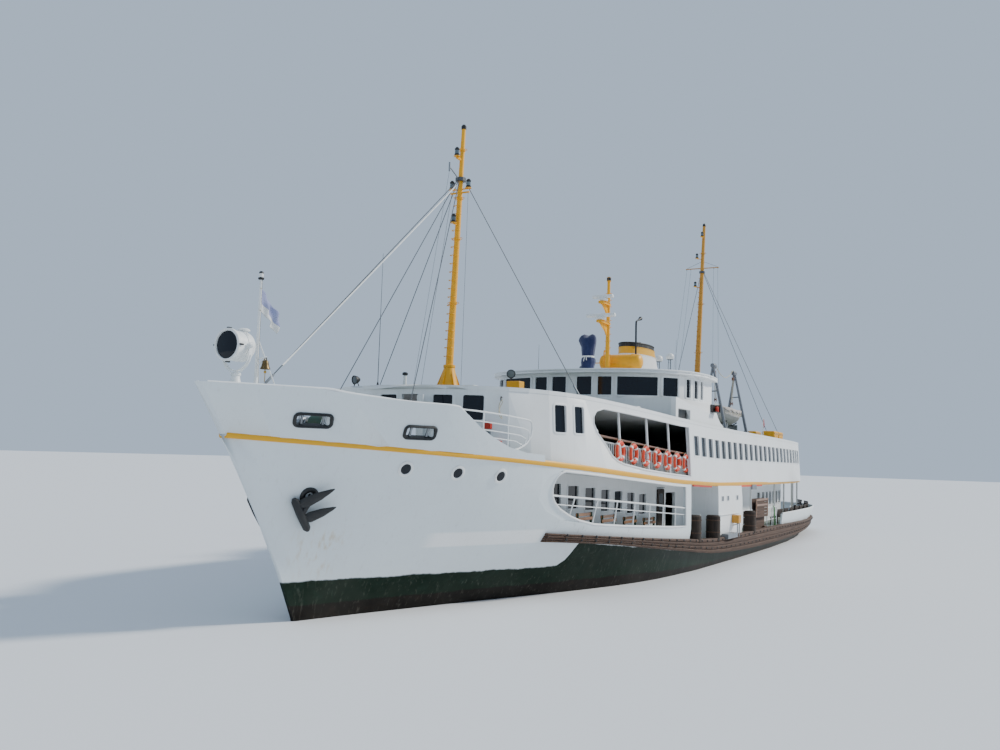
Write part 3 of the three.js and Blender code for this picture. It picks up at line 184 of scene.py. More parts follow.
class Pattern:
    """The nodes of one material, with short calls for those that the finishes share."""

    def __init__(self, tree: bpy.types.NodeTree, shader: bpy.types.Node) -> None:
        """Starts from the place on the piece, in full-size metres.

        Args:
            tree: the material's tree.
            shader: its shader.
        """
        self.tree, self.shader = tree, shader
        place = add_node(tree, "ShaderNodeTexCoord").outputs["Object"]
        self.place = add_node(tree, "ShaderNodeVectorMath", {0: place, "Scale": 1 / K}, operation="SCALE").outputs[0]

    def stretched(self, *scale: float) -> Socket:
        """Returns the place scaled along x, y and z."""
        return add_node(self.tree, "ShaderNodeMapping", {"Vector": self.place, "Scale": scale}).outputs[0]

    def noise(self, scale: float, detail: float, rough: float = 0.5, place: Socket | None = None,
              warp: float = 0.0) -> Socket:
        """Returns a cloudy pattern from 0 to 1."""
        return add_node(self.tree, "ShaderNodeTexNoise", {"Vector": place or self.place, "Scale": scale,
                                                          "Detail": detail, "Roughness": rough,
                                                          "Distortion": warp}).outputs["Fac"]

    def remap(self, value: Socket, low: float, high: float, first: float = 0.0, last: float = 1.0,
              **how: str) -> Socket:
        """Returns first where a value is low, last where it is high, and a blend between."""
        return add_node(self.tree, "ShaderNodeMapRange", {"Value": value, "From Min": low, "From Max": high,
                                                          "To Min": first, "To Max": last}, **how).outputs[0]

    def mask(self, value: Socket, low: float, high: float) -> Socket:
        """Returns 0 at low and 1 at high, with a smooth change between."""
        return self.remap(value, low, high, interpolation_type="SMOOTHSTEP")

    def between(self, value: Socket, low: float, full: float, end: float, full_end: float) -> Socket:
        """Returns 1 from full to full_end, and 0 below low and above end."""
        return self.product(self.mask(value, low, full), self.mask(value, end, full_end))

    def maths(self, kind: str, first: object, second: object) -> Socket:
        """Returns one sum, difference or product."""
        return add_node(self.tree, "ShaderNodeMath", {0: first, 1: second}, operation=kind).outputs[0]

    def product(self, *factors: Socket) -> Socket:
        """Returns the product of some masks.

        Args:
            factors: the masks.

        Returns:
            The product.
        """
        whole = factors[0]
        for factor in factors[1:]:
            whole = self.maths("MULTIPLY", whole, factor)
        return whole

    def mix(self, share: Socket, under: object, over: object) -> Socket:
        """Lays one colour over another by a mask; each is a socket or a hex value."""
        ends = [linear(colour) if isinstance(colour, int) else colour for colour in (under, over)]
        return add_node(self.tree, "ShaderNodeMixRGB", {"Fac": share, "Color1": ends[0], "Color2": ends[1]}).outputs[0]

    def bump(self, height: Socket, strength: float, distance: float, **under: Socket) -> Socket:
        """Raises a pattern, over another bump where Normal is given."""
        return add_node(self.tree, "ShaderNodeBump", {"Height": height, "Strength": strength, "Distance": distance,
                                                      **under}).outputs[0]

    def set(self, **values: object) -> None:
        """Sets or links the shader's sockets, named with _ for a space.

        Args:
            values: a value or an output socket for each of the shader's sockets.
        """
        for name, value in values.items():
            socket = self.shader.inputs[name.replace("_", " ")]
            if isinstance(value, Socket):
                self.tree.links.new(value, socket)
            else:
                socket.default_value = value


@dataclass(frozen=True)
class Finish:
    """A surface finish, made into one material the first time that a piece asks for it."""

    name: str
    colour: int = 0xEEF1F2
    roughness: float = 0.45

    def material(self) -> bpy.types.Material:
        """Returns the finish's material, made once.

        Returns:
            The material.
        """
        found = bpy.data.materials.get(self.name)
        if found:
            return found
        made = bpy.data.materials.new(self.name)
        made.use_nodes = True
        tree = made.node_tree
        tree.nodes.clear()
        shader = add_node(tree, "ShaderNodeBsdfPrincipled")
        add_node(tree, "ShaderNodeOutputMaterial", {"Surface": shader.outputs["BSDF"]})
        self.paint(Pattern(tree, shader))
        made.diffuse_color = linear(self.colour)
        return made

    def paint(self, nodes: Pattern) -> None:
        """Sets a plain colour."""
        nodes.set(Base_Color=linear(self.colour), Roughness=self.roughness)


@dataclass(frozen=True)
class ShipPaint(Finish):
    """Brushed or rolled enamel on steel: even colour, dust, run marks and plates that aren't quite flat."""

    dust: float = 0.25
    streaks: float = 0.35
    rust: float = 0.0
    dirt: int = 0x9A958A
    plate: tuple[float, float] = (2.4, 1.2)
    dent: float = 0.25

    def ground(self, nodes: Pattern) -> object:
        """Returns the clean colour over the piece."""
        return self.colour

    def paint(self, nodes: Pattern) -> None:
        """Lays dust, run marks and rust over the clean colour, and dents the plates.

        Args:
            nodes: the material's nodes.
        """
        # Broad tone changes about 3 m across, run marks about 60 mm wide and 1.2 m long, and a few rust weeps.
        cloud, thin = nodes.noise(0.35, 5, 0.6), nodes.stretched(6.0, 6.0, 0.35)
        colour = nodes.mix(nodes.remap(cloud, 0.42, 0.72, 0, self.dust), self.ground(nodes), self.dirt)
        runs = nodes.noise(1.6, 6, 0.7, thin)
        colour = nodes.mix(nodes.remap(runs, 0.56, 0.78, 0, self.streaks), colour, self.dirt)
        weeps = nodes.noise(2.7, 3, 0.5, thin)
        colour = nodes.mix(nodes.remap(weeps, 0.68, 0.8, 0, self.rust), colour, 0x8A5A32)
        # Seams between plates, 15 mm wide, the unevenness between frames, and the brush marks.
        flat = add_node(nodes.tree, "ShaderNodeSeparateXYZ", {0: nodes.place})
        across = add_node(nodes.tree, "ShaderNodeCombineXYZ", {0: flat.outputs[0], 1: flat.outputs[2], 2: 0.0})
        seams = add_node(nodes.tree, "ShaderNodeTexBrick", {"Vector": across.outputs[0], "Scale": 1.0,
                                                            "Mortar Size": 0.008, "Mortar Smooth": 1.0,
                                                            "Brick Width": self.plate[0],
                                                            "Row Height": self.plate[1],
                                                            "Color1": (1, 1, 1, 1), "Color2": (1, 1, 1, 1),
                                                            "Mortar": (0, 0, 0, 1)}).outputs["Color"]
        uneven = nodes.bump(nodes.noise(0.9, 2), self.dent, 0.03, Normal=nodes.bump(seams, 0.25, 0.004))
        nodes.set(Base_Color=colour, Specular_IOR_Level=0.3, Roughness=nodes.remap(cloud, 0, 1,
                                                                                   self.roughness - 0.1,
                                                                                   self.roughness + 0.15),
                  Normal=nodes.bump(nodes.noise(60, 2), 0.08, 0.002, Normal=uneven))


@dataclass(frozen=True)
class HullPaint(ShipPaint):
    """White topsides over a green boot-top and a black-brown bottom, with their worn and ragged edges."""

    green: int = 0x061F14
    bottom: int = 0x0D0A09
    fresh: int = 0xF8F9F8

    # Columns: x, height of the white paint's lower edge; then of the green paint's.
    WHITE_EDGE = ((-30, 0.8), (-28, 0.72), (-19, 0.44), (-12, 0.34), (-4, 0.38), (3.7, 0.58), (9.9, 1.1),
                  (16.5, 1.72), (16.68, 0.97), (20, 0.99), (25.9, 1.03), (30, 1.03))
    GREEN_EDGE = ((-30, 0.12), (0, 0.16), (7, 0.22), (10, 0.29), (13, 0.39), (20, 0.4), (30, 0.4))

    def edge(self, nodes: Pattern, x: Socket, points: Sequence[Point]) -> Socket:
        """Returns the height of a painted line along the ship.

        Args:
            nodes: the material's nodes.
            x: the place along the ship, in full-size metres.
            points: (x, height) pairs from -30 to 30, with heights from 0 to 2.

        Returns:
            The line's height, in full-size metres.
        """
        line = add_node(nodes.tree, "ShaderNodeFloatCurve", {"Value": nodes.remap(x, -30, 30)})
        curve = line.mapping.curves[0]
        for k, (px, pz) in enumerate(points):
            spot = ((px + 30) / 60, pz / 2)
            if k in (0, len(points) - 1):
                curve.points[0 if k == 0 else -1].location = spot
            else:
                curve.points.new(*spot)
        for point in curve.points:
            point.handle_type = "VECTOR"
        line.mapping.update()
        return nodes.maths("MULTIPLY", line.outputs[0], 2.0)

    def ground(self, nodes: Pattern) -> Socket:
        """Lays out the paint scheme with its fresh patch, its anchor stains and its drips.

        Args:
            nodes: the material's nodes.

        Returns:
            The colour.
        """
        parts = add_node(nodes.tree, "ShaderNodeSeparateXYZ", {0: nodes.place})
        x, z = parts.outputs[0], parts.outputs[2]
        ragged = nodes.maths("ADD", z, nodes.remap(nodes.noise(1.1, 8, 0.7), 0, 1, -0.09, 0.09))

        def above(points: Sequence[Point], soft: float) -> Socket:
            """Returns 1 above a painted line."""
            return nodes.mask(nodes.maths("SUBTRACT", ragged, self.edge(nodes, x, points)), -soft, soft)

        mossy = nodes.mask(nodes.noise(2.5, 8, 0.75), 0.5, 0.72)
        green, dark = nodes.mix(mossy, self.green, 0x10291F), nodes.mix(mossy, self.bottom, 0x1E1611)
        scheme = nodes.mix(above(self.GREEN_EDGE, 0.03), dark, green)
        # White that was cut in again above the strake's fore end.
        patch = nodes.product(nodes.between(x, 18.2, 18.5, 22.6, 22.0), nodes.between(z, 1.76, 1.82, 2.24, 2.16))
        white = nodes.mix(patch, self.colour, self.fresh)
        # Rust below the anchor, and short grey drips below the long gallery's sill.
        trails = nodes.noise(1.5, 5, 0.5, nodes.stretched(5.0, 5.0, 0.5))
        rust = nodes.product(nodes.between(x, 24.3, 25.1, 26.2, 25.5), nodes.between(z, 0.9, 1.9, 2.6, 2.2),
                             nodes.mask(trails, 0.46, 0.8), nodes.mask(z, 3.4, 1.0))
        drip = nodes.product(nodes.between(x, 8.2, 8.8, 18.8, 18.0), nodes.between(z, 1.5, 1.9, 2.6, 2.35),
                             nodes.mask(trails, 0.6, 0.9))
        return nodes.mix(above(self.WHITE_EDGE, 0.025), scheme, nodes.mix(drip,
                                                                          nodes.mix(rust, white, 0xC2A15E), 0x8F928E))

    def paint(self, nodes: Pattern) -> None:
        """Paints the hull, glossy where it is white and flat below.

        Args:
            nodes: the material's nodes.
        """
        super().paint(nodes)
        colour = nodes.shader.inputs["Base Color"].links[0].from_socket
        shade = add_node(nodes.tree, "ShaderNodeRGBToBW", {0: colour}).outputs[0]
        nodes.set(Specular_IOR_Level=nodes.remap(shade, 0.02, 0.3, 0.08, 0.3))


@dataclass(frozen=True)
class FunnelPaint(ShipPaint):
    """White funnel enamel with a yellow band and a black top."""

    # Columns: lower edge of the yellow band, then of the black top.
    EDGES = (9.56, 9.9)

    def ground(self, nodes: Pattern) -> object:
        """Lays white, yellow and black by height.

        Args:
            nodes: the material's nodes.

        Returns:
            The colour.
        """
        height = add_node(nodes.tree, "ShaderNodeSeparateXYZ", {0: nodes.place}).outputs[2]
        colour: object = self.colour
        for edge, over in zip(self.EDGES, (0xE8AC1E, 0x141414)):
            colour = nodes.mix(nodes.remap(height, edge, edge + 0.015), colour, over)
        return colour


@dataclass(frozen=True)
class Timber(Finish):
    """Sawn timber: long grain with darker growth lines, raised a little."""

    dark: int = 0x2A1D15
    grain: Grain = Grain.ALONG
    coat: float = 0.0

    def paint(self, nodes: Pattern) -> None:
        """Stretches the grain along the timber."""
        grain = nodes.noise(3, 9, 0.68, nodes.stretched(*self.grain.value), 0.4)
        nodes.set(Base_Color=nodes.mix(nodes.remap(grain, 0.3, 0.7), self.dark, self.colour),
                  Roughness=self.roughness, Coat_Weight=self.coat, Coat_Roughness=0.15,
                  Normal=nodes.bump(grain, 0.5, 0.006))


@dataclass(frozen=True)
class Coating(Finish):
    """A sprayed, moulded or brushed coat: small tone changes, scuffs and a fine surface."""

    worn: int = 0x8A8A86
    wear: float = 0.2
    metal: float = 0.0
    scale: float = 6.0
    grit: float = 0.1
    coat: float = 0.0

    def paint(self, nodes: Pattern) -> None:
        """Mixes worn places into the coat and roughens them.

        Args:
            nodes: the material's nodes.
        """
        patches = nodes.noise(self.scale, 7, 0.68)
        nodes.set(Base_Color=nodes.mix(nodes.remap(patches, 0.45, 0.75, 0, self.wear), self.colour,
                                       self.worn), Metallic=self.metal, Coat_Weight=self.coat,
                  Roughness=nodes.remap(patches, 0, 1, self.roughness - 0.08, self.roughness + 0.14),
                  Normal=nodes.bump(nodes.noise(self.scale * 12, 3), self.grit, 0.004))


@dataclass(frozen=True)
class Glazing(Finish):
    """Tinted float glass: dark, smooth and slightly wavy, so that reflections break. The pane is opaque; its dark
    colour is the glass's tint and also painted shade of the unlit rooms behind.
    """

    def paint(self, nodes: Pattern) -> None:
        """Tints the pane, more in some panes than in others; the dark colour is partly painted shade of the rooms
        behind.
        """
        change = nodes.noise(0.8, 2)
        nodes.set(Base_Color=nodes.mix(change, self.colour, 0x070B12), Roughness=0.06, IOR=1.52,
                  Specular_IOR_Level=0.3, Normal=nodes.bump(change, 0.1, 0.01))


@dataclass(frozen=True)
class Cloth(Finish):
    """Woven cloth: plain weave, drawn coarse at 12 mm so that it shows, with faded folds."""

    faded: int = 0x34406A
    thread: float = 0.012

    def paint(self, nodes: Pattern) -> None:
        """Weaves the cloth and fades it in patches.

        Args:
            nodes: the material's nodes.
        """
        fade = nodes.remap(nodes.noise(2.2, 5), 0.45, 0.75, 0, 0.7)
        warp, weft = (add_node(nodes.tree, "ShaderNodeTexWave", {"Vector": nodes.place,
                                                                 "Scale": 1 / self.thread / 6.3},
                               bands_direction=way).outputs["Fac"] for way in ("Z", "DIAGONAL"))
        nodes.set(Base_Color=nodes.mix(fade, self.colour, self.faded), Roughness=0.9,
                  Sheen_Weight=0.3, Sheen_Roughness=0.5, Normal=nodes.bump(nodes.product(warp, weft), 0.35, 0.004))


class Coat:
    """The ship's finishes."""

    # The hull's white enamel is coloured pale blue here: painted shade and sky reflection, as on the side away from
    # the sun; the house keeps the plain white.
    HULL = HullPaint("hull enamel, brushed", 0xDFE7EA, 0.42, streaks=0.2, dust=0.07)
    HOUSE = ShipPaint("superstructure enamel, rolled", 0xF0F2F2, 0.42, streaks=0.2, dust=0.14)
    FUNNEL = FunnelPaint("funnel enamel, brushed", 0xECEDEB, 0.45, dust=0.2)
    RAIL = Coating("rail enamel, brushed", 0xEDEFEE, 0.4, wear=0.25)
    DECK = Coating("deck paint, non-slip", 0x6F7B72, 0.85, 0x575C55, 0.6, scale=1.2, grit=0.4)
    YELLOW = Coating("yellow enamel, brushed", 0xF2AC00, 0.42, 0xA97A1C, 0.35)
    STRIPE = Coating("sheer stripe enamel, brushed", 0xE6A800, 0.4, 0xC8981C, 0.25, scale=2.0)
    OCHRE = Coating("mast enamel, brushed", 0xC98F2E, 0.5, 0x8D5A2A, 0.4)
    BLACK = Coating("black enamel, brushed", 0x15171A, 0.45, 0x3A3836, 0.4)
    GREEN = Coating("machinery enamel, brushed", 0x1E4634, 0.5, 0x5A4632, 0.4)
    RED = Coating("red enamel, brushed", 0xC22A10, 0.45, 0x9A5A48, 0.3)
    ORANGE = Coating("buoy shell, moulded", 0xDD3A10, 0.5, 0xC8795A, 0.3)
    BAND = Coating("buoy tape, reflective", 0xF1F1EC, 0.35, wear=0.15)
    DAVIT = Coating("davit enamel, brushed", 0x70767F, 0.5, 0x6A5A4A, 0.4)
    GALVANISED = Coating("steel, galvanised", 0x8E949A, 0.42, 0x6E5B48, 0.35, metal=0.85, scale=9.0)
    WIRE = Coating("steel wire, laid", 0x5C6064, 0.45, metal=0.8)
    BRASS = Coating("brass, polished", 0xC39A4A, 0.28, 0x8B6A32, 0.3, metal=1.0)
    BRONZE = Coating("bronze, cast", 0x66563A, 0.4, 0x4E5A44, 0.4, metal=0.9)
    PLASTIC = Coating("housing, moulded glass fibre", 0xECEDEA, 0.35, wear=0.12, coat=0.2)
    RUBBER = Coating("rubber, moulded", 0x1B1B1C, 0.75, 0x35332F, 0.4)
    HOSE = Coating("hose, extruded vinyl", 0x2E8A34, 0.5, wear=0.2)
    ROPE = Coating("rope, laid polyester", 0xC9C0A8, 0.85, 0x7A705C, 0.4, scale=14.0, grit=0.5)
    BOAT = Coating("boat shell, moulded glass fibre", 0xB9B6B2, 0.5, 0x8A7F74, 0.5, scale=2.5)
    STRAKE = Timber("strake oak, oiled and tarred", 0x644A3A, 0.8, 0x2A1B13)
    POST = Timber("fender post, tarred timber", 0x3F3229, 0.85, 0x17110D, Grain.UPRIGHT)
    VARNISH = Timber("handrail teak, varnished", 0x8C5A34, 0.35, 0x4A2A18, coat=0.5)
    BENCH = Timber("bench larch, varnished", 0x9A6A3E, 0.45, 0x5E3C20, coat=0.3)
    CANVAS = Cloth("cover canvas, woven", 0x1B2650)
    BOAT_COVER = Cloth("boat cover, coated canvas", 0xB9B1AA, faded=0x9C8F88)
    FLAG = Cloth("flag bunting, woven", 0x9298BC, faded=0x7C82A6)
    FLAG_WHITE = Cloth("flag bunting, bleached", 0xD9DAD8, faded=0xC4C6C8)
    SIGNAL = Cloth("pennant bunting, woven", 0xA81418, faded=0xB92420)
    # Window glass: its dark, opaque colour is partly the glass's tint and partly painted shade of the unlit rooms
    # behind.
    GLASS = Glazing("window glass, tinted", 0x131B28)
    LENS = Glazing("lamp glass, pressed", 0x8FA2AC)


def dress(finish: Finish, *nodes: str) -> None:
    """Gives CAD nodes a finish.

    Args:
        finish: what they are dressed in.
        nodes: their names.
    """
    for name in nodes:
        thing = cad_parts[name]
        thing.data.materials.clear()
        thing.data.materials.append(finish.material())
        LOG.info("dressed %s in %s", name, finish.name)


def both(*stems: str) -> list[str]:
    """Returns the port and starboard names of some stems."""
    return [f"{stem}_{label}" for stem in stems for label, _ in SIDES]


def dress_model() -> None:
    """Gives every CAD node its finish."""
    for finish, nodes in ((Coat.HULL, ["hull"]), (Coat.HOUSE, ["bow_bulwark", "forward_house",
                                                               "saloon_walls", "saloon_door",
                                                               "wheelhouse_walls", "boat_deck",
                                                               "wheelhouse_roof", "engine_casing",
                                                               "main_deckhouse", *both("side_casing",
                                                                                       "wheelhouse_door")]),
                          (Coat.RAIL, ["aft_rail", "jackstaff", "searchlight_base",
                                       "searchlight_yoke", "searchlight_drum", *both("gallery_rail",
                                                                                     "boarding_gate", "bow_rail")]),
                          (Coat.DECK, ["upper_deck"]), (Coat.ORANGE, both("upper_rail")), (Coat.FUNNEL, ["funnel"]),
                          (Coat.YELLOW, ["radar_mast", "air_tank", "foremast"]), (Coat.OCHRE, ["mainmast"]),
                          (Coat.PLASTIC, ["radar_scanner_upper", "radar_scanner_lower"]),
                          (Coat.CANVAS, ["covered_compass"]), (Coat.FLAG, ["bow_flag"]),
                          (Coat.WIRE, ["fore_stays", "main_stays"]), (Coat.GREEN, ["windlass"]),
                          (Coat.BLACK, ["rudder", *both("shaft_bracket", "anchor")]),
                          (Coat.BRONZE, both("propeller")), (Coat.STRAKE, both("strake", "gangway")),
                          (Coat.BOAT, both("lifeboat")), (Coat.DAVIT, both("davit_fore", "davit_aft")),
                          (Coat.GALVANISED, both("boat_chocks"))):
        dress(finish, *nodes)


@dataclass
class Studio:
    """The pale floor, the soft lights and the camera at the photograph's angle."""

    place: tuple[float, float, float] = (22.42, 8.065, 2.15)
    heading: float = 28.0
    pitch: float = 5.03
    roll: float = 0.031
    lens: float = 34.2
    sensor: float = 36.0
    far: float = 400.0
    floor_reach: float = 260.0
    floor_colour: int = 0xE4E6E9
    sky_colour: int = 0xC9DEF6
    sky_strength: float = 0.8
    sun_from: tuple[float, float, float] = (-0.58, 0.62, 0.62)
    sun_strength: float = 3.6
    sun_size: float = 6.0
    sun_tint: tuple[float, float, float] = (1.0, 0.96, 0.88)

    def camera(self) -> None:
        """Sets the camera where the photographer stood, looking aft along the port side."""
        turn = math.radians(self.heading)
        rise = math.radians(self.pitch)
        flat = Vector((-math.cos(turn), -math.sin(turn), 0))
        right = Vector((-math.sin(turn), math.cos(turn), 0))
        up = Vector((0, 0, 1))
        ahead = flat * math.cos(rise) + up * math.sin(rise)
        level = up * math.cos(rise) - flat * math.sin(rise)
        across = right * math.cos(self.roll) + level * math.sin(self.roll)
        upright = level * math.cos(self.roll) - right * math.sin(self.roll)
        data = bpy.data.cameras.new("camera")
        data.lens = self.lens
        data.sensor_width = self.sensor
        data.sensor_fit = "HORIZONTAL"
        data.clip_end = self.far
        eye = join("camera", data)
        eye.matrix_world = Matrix.Translation(self.place) @ Matrix((across, upright, -ahead)).transposed().to_4x4()
        bpy.context.scene.camera = eye

    def floor(self) -> None:
        """Lays the pale floor at the waterline."""
        reach = self.floor_reach
        data = bpy.data.meshes.new("floor")
        data.from_pydata([(-reach, -reach, 0), (reach, -reach, 0), (reach, reach, 0), (-reach, reach, 0)], [],
                         [(0, 1, 2, 3)])
        data.materials.append(Finish("studio floor, painted", self.floor_colour, 0.7).material())
        join("floor", data)

    def lights(self) -> None:
        """Sets a soft key from the port quarter, as the daylight falls in the photograph, and a pale surround."""
        world = bpy.data.worlds.new("surround")
        world.use_nodes = True
        glow = world.node_tree.nodes["Background"]
        glow.inputs[0].default_value = linear(self.sky_colour)
        glow.inputs[1].default_value = self.sky_strength
        bpy.context.scene.world = world
        sun = bpy.data.lights.new("key", "SUN")
        sun.energy = self.sun_strength
        sun.angle = math.radians(self.sun_size)
        sun.color = self.sun_tint
        key = join("key", sun)
        key.rotation_euler = Vector(self.sun_from).to_track_quat("Z", "Y").to_euler()

    def build(self) -> None:
        """Makes the studio."""
        self.camera()
        self.floor()
        self.lights()


def rounded(width: float, height: float, radius: float, steps: int = 4) -> list[tuple[float, float]]:
    """Draws a rectangle with round corners about the origin, anticlockwise.

    Args:
        width: its full width.
        height: its full height.
        radius: the corners' radius.
        steps: how many edges turn each corner.

    Returns:
        The outline's points.
    """
    outline = []
    for k, (sx, sy) in enumerate(((1, 1), (-1, 1), (-1, -1), (1, -1))):
        for j in range(steps + 1):
            turn = math.pi / 2 * (k + j / steps)
            outline.append((sx * (width / 2 - radius) + radius * math.cos(turn),
                            sy * (height / 2 - radius) + radius * math.sin(turn)))
    return outline


def circle(radius: float, sides: int, start: float = 0.0) -> list[tuple[float, float]]:
    """Draws a regular polygon about the origin, anticlockwise."""
    turns = [start + 2 * math.pi * k / sides for k in range(sides)]
    return [(radius * math.cos(t), radius * math.sin(t)) for t in turns]


@dataclass
class Seat:
    """A place on the ship's surface with its axes: along it, up it and out of it."""

    origin: Vector
    along: Vector
    up: Vector
    out: Vector
    wide: float = 1.0

    def at(self, u: float, v: float, n: float = 0.0) -> Vector:
        """Returns the point u along, v up and n out of the surface."""
        return self.origin + self.along * (u * self.wide) + self.up * v + self.out * n

    def ring(self, outline: Sequence[Point], n: float) -> list[Vector]:
        """Returns an outline laid at n out of the surface."""
        return [self.at(u, v, n) for u, v in outline]


class Shape:
    """A mesh in the making, in full-size metres."""

    def __init__(self) -> None:
        """Starts empty."""
        self.points: list[Vector] = []
        self.faces: list[tuple[int, ...]] = []

    def loft(self, rings: Sequence[Sequence[Point]], caps: bool = True, loop: bool = False) -> "Shape":
        """Skins rings of equal length.

        Args:
            rings: the rings, in order.
            caps: whether to close both ends.
            loop: whether the last ring joins the first.

        Returns:
            The shape.
        """
        base = len(self.points)
        n = len(rings[0])
        for ring in rings:
            self.points.extend(Vector(p) for p in ring)
        count = len(rings)
        for r in range(count if loop else count - 1):
            a = base + r * n
            b = base + ((r + 1) % count) * n
            for k in range(n):
                j = (k + 1) % n
                self.faces.append((a + k, a + j, b + j, b + k))
        if caps and not loop:
            self.faces.append(tuple(base + k for k in reversed(range(n))))
            self.faces.append(tuple(base + (count - 1) * n + k for k in range(n)))
        return self

    def box(self, low: Point, high: Point) -> "Shape":
        """Adds a box between two corners."""
        (x0, y0, z0), (x1, y1, z1) = low, high
        return self.loft([[(x0, y0, z), (x1, y0, z), (x1, y1, z), (x0, y1, z)] for z in (z0, z1)])

    def slab(self, seat: Seat, outline: Sequence[Point], near: float, far: float) -> "Shape":
        """Adds an outline on a seat, from near to far out of the surface."""
        return self.loft([seat.ring(outline, near), seat.ring(outline, far)])

    def surround(self, seat: Seat, size: tuple[float, float, float], width: float, proud: float,
                 depth: float) -> "Shape":
        """Adds a window frame: a band with a sloped outer edge round a rounded rectangle.

        Args:
            seat: where the opening is.
            size: the opening's width, height and corner radius.
            width: how far the band reaches outside the opening.
            proud: how far it stands out.
            depth: how far it reaches in.

        Returns:
            The shape.
        """
        w, h, r = size
        outer = rounded(w + 2 * width, h + 2 * width, r + width)
        lip = rounded(w + width, h + width, r + width / 2)
        inner = rounded(w - width * 0.6, h - width * 0.6, max(r - width * 0.3, 0.01))
        rings = [seat.ring(outer, -0.01), seat.ring(outer, proud * 0.6), seat.ring(lip, proud),
                 seat.ring(inner, proud), seat.ring(inner, -depth), seat.ring(lip, -depth)]
        return self.loft(rings, loop=True)

    def tube(self, path: Sequence[Point], radius: float | Sequence[float], sides: int = 8,
             closed: bool = False) -> "Shape":
        """Adds a round bar along a path.

        Args:
            path: the points of its centre line.
            radius: its radius, or one for each point.
            sides: how many faces go round it.
            closed: whether its ends join.

        Returns:
            The shape.
        """
        spots = [Vector(p) for p in path]
        n = len(spots)
        radii = list(radius) if isinstance(radius, (list, tuple)) else [radius] * n
        rings = []
        normal = None
        for k, spot in enumerate(spots):
            before = spots[k - 1] if (k or closed) else spot
            after = spots[(k + 1) % n] if (k < n - 1 or closed) else spot
            ahead = (after - before).normalized()
            if normal is None:
                normal = ahead.orthogonal().normalized()
                if abs(ahead.z) < 0.9:
                    normal = (Vector((0, 0, 1)) - ahead * ahead.z).normalized()
            normal = (normal - ahead * normal.dot(ahead)).normalized()
            side = ahead.cross(normal)
            rings.append([spot + (normal * u + side * v) * radii[k] for u, v in circle(1.0, sides, math.pi / sides)])
        return self.loft(rings, caps=not closed, loop=closed)

    def lathe(self, profile: Sequence[Point], origin: Point, axis: Point = (0, 0, 1), sides: int = 24) -> "Shape":
        """Turns (radius, height) pairs about an axis: a solid, or a ring where neither end is on the axis.

        Args:
            profile: the pairs, in order.
            origin: where height 0 is.
            axis: the direction of height.
            sides: how many faces go round.

        Returns:
            The shape.
        """
        up = Vector(axis).normalized()
        first = up.orthogonal().normalized()
        second = up.cross(first)
        start = Vector(origin)
        rings = [[start + up * h + (first * u + second * v) * max(r, 0.0004) for u, v in circle(1.0, sides)]
                 for r, h in profile]
        hollow = profile[0][0] > 0 and profile[-1][0] > 0
        return self.loft(rings, loop=hollow)

    def grid(self, columns: int, rows: int) -> "Shape":
        """Joins points that were added column by column, one more than rows in each.

        Args:
            columns: how many columns of faces.
            rows: how many faces in each.

        Returns:
            The shape.
        """
        starts = [c * (rows + 1) + r for c in range(columns) for r in range(rows)]
        self.faces.extend((k, k + 1, k + rows + 2, k + rows + 1) for k in starts)
        return self

    def link(self, centre: Point, along: Point, up: Point, length: float, width: float, radius: float) -> "Shape":
        """Adds one oval ring of round bar.

        Args:
            centre: its middle.
            along: the direction of its length.
            up: the direction of its width.
            length: its length over the bar's middle.
            width: its width, likewise.
            radius: the bar's radius.

        Returns:
            The shape.
        """
        a, b = Vector(along).normalized(), Vector(up).normalized()
        outline = rounded(length, width, width / 2 - 0.001, 3)
        return self.tube([Vector(centre) + a * u + b * v for u, v in outline], radius, 5, closed=True)

    def data(self, name: str, sharp: float = 35.0) -> bpy.types.Mesh:
        """Makes the mesh, at the model's size, with its faces turned outwards.

        Args:
            name: the mesh's name.
            sharp: the angle past which an edge isn't smoothed, in degrees.

        Returns:
            The mesh.
        """
        made = bpy.data.meshes.new(name)
        made.from_pydata([tuple(p * K) for p in self.points], [], self.faces)
        work = bmesh.new()
        work.from_mesh(made)
        bmesh.ops.recalc_face_normals(work, faces=work.faces)
        work.to_mesh(made)
        work.free()
        made.shade_smooth()
        made.set_sharp_from_angle(angle=math.radians(sharp))
        return made

    def piece(self, name: str, finish: Finish, body: str = "hull", bevel: float = 0.0,
              sharp: float = 35.0) -> bpy.types.Object:
        """Makes the finished piece.

        Args:
            name: its name.
            finish: what it is finished in.
            body: what it moves with.
            bevel: the radius that its edges are eased by, in full-size metres.
            sharp: the angle past which an edge isn't smoothed, in degrees.

        Returns:
            The piece.
        """
        data = self.data(name, sharp)
        data.materials.append(finish.material())
        thing = join(name, data)
        if bevel:
            eased = thing.modifiers.new("eased edges", "BEVEL")
            eased.width = bevel * K
            eased.segments = 2
            eased.limit_method = "ANGLE"
            eased.angle_limit = math.radians(40)
            bake(thing)
        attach(thing, body)
        LOG.info("made %s: %d faces", name, len(thing.data.polygons))
        return thing


def bake(thing: bpy.types.Object) -> None:
    """Applies an object's modifiers to its mesh.

    Args:
        thing: the object.
    """
    graph = bpy.context.evaluated_depsgraph_get()
    graph.update()
    data = bpy.data.meshes.new_from_object(thing.evaluated_get(graph))
    thing.modifiers.clear()
    thing.data = data


def cloth(data: bpy.types.Mesh, thickness: float, offset: float, body: str = "hull") -> tuple[bpy.types.Object, float]:
    """Thickens a surface into a cloth.

    Args:
        data: the surface, with its finishes.
        thickness: how thick the cloth is, in model metres.
        offset: -1 to thicken it inwards, 0 both ways, 1 outwards.
        body: what it moves with.

    Returns:
        The cloth, and its area in square model metres.
    """
    area = sum(p.area for p in data.polygons)
    thing = join(data.name, data)
    thick = thing.modifiers.new("cloth thickness", "SOLIDIFY")
    thick.thickness = thickness
    thick.offset = offset
    bake(thing)
    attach(thing, body)
    return thing, area


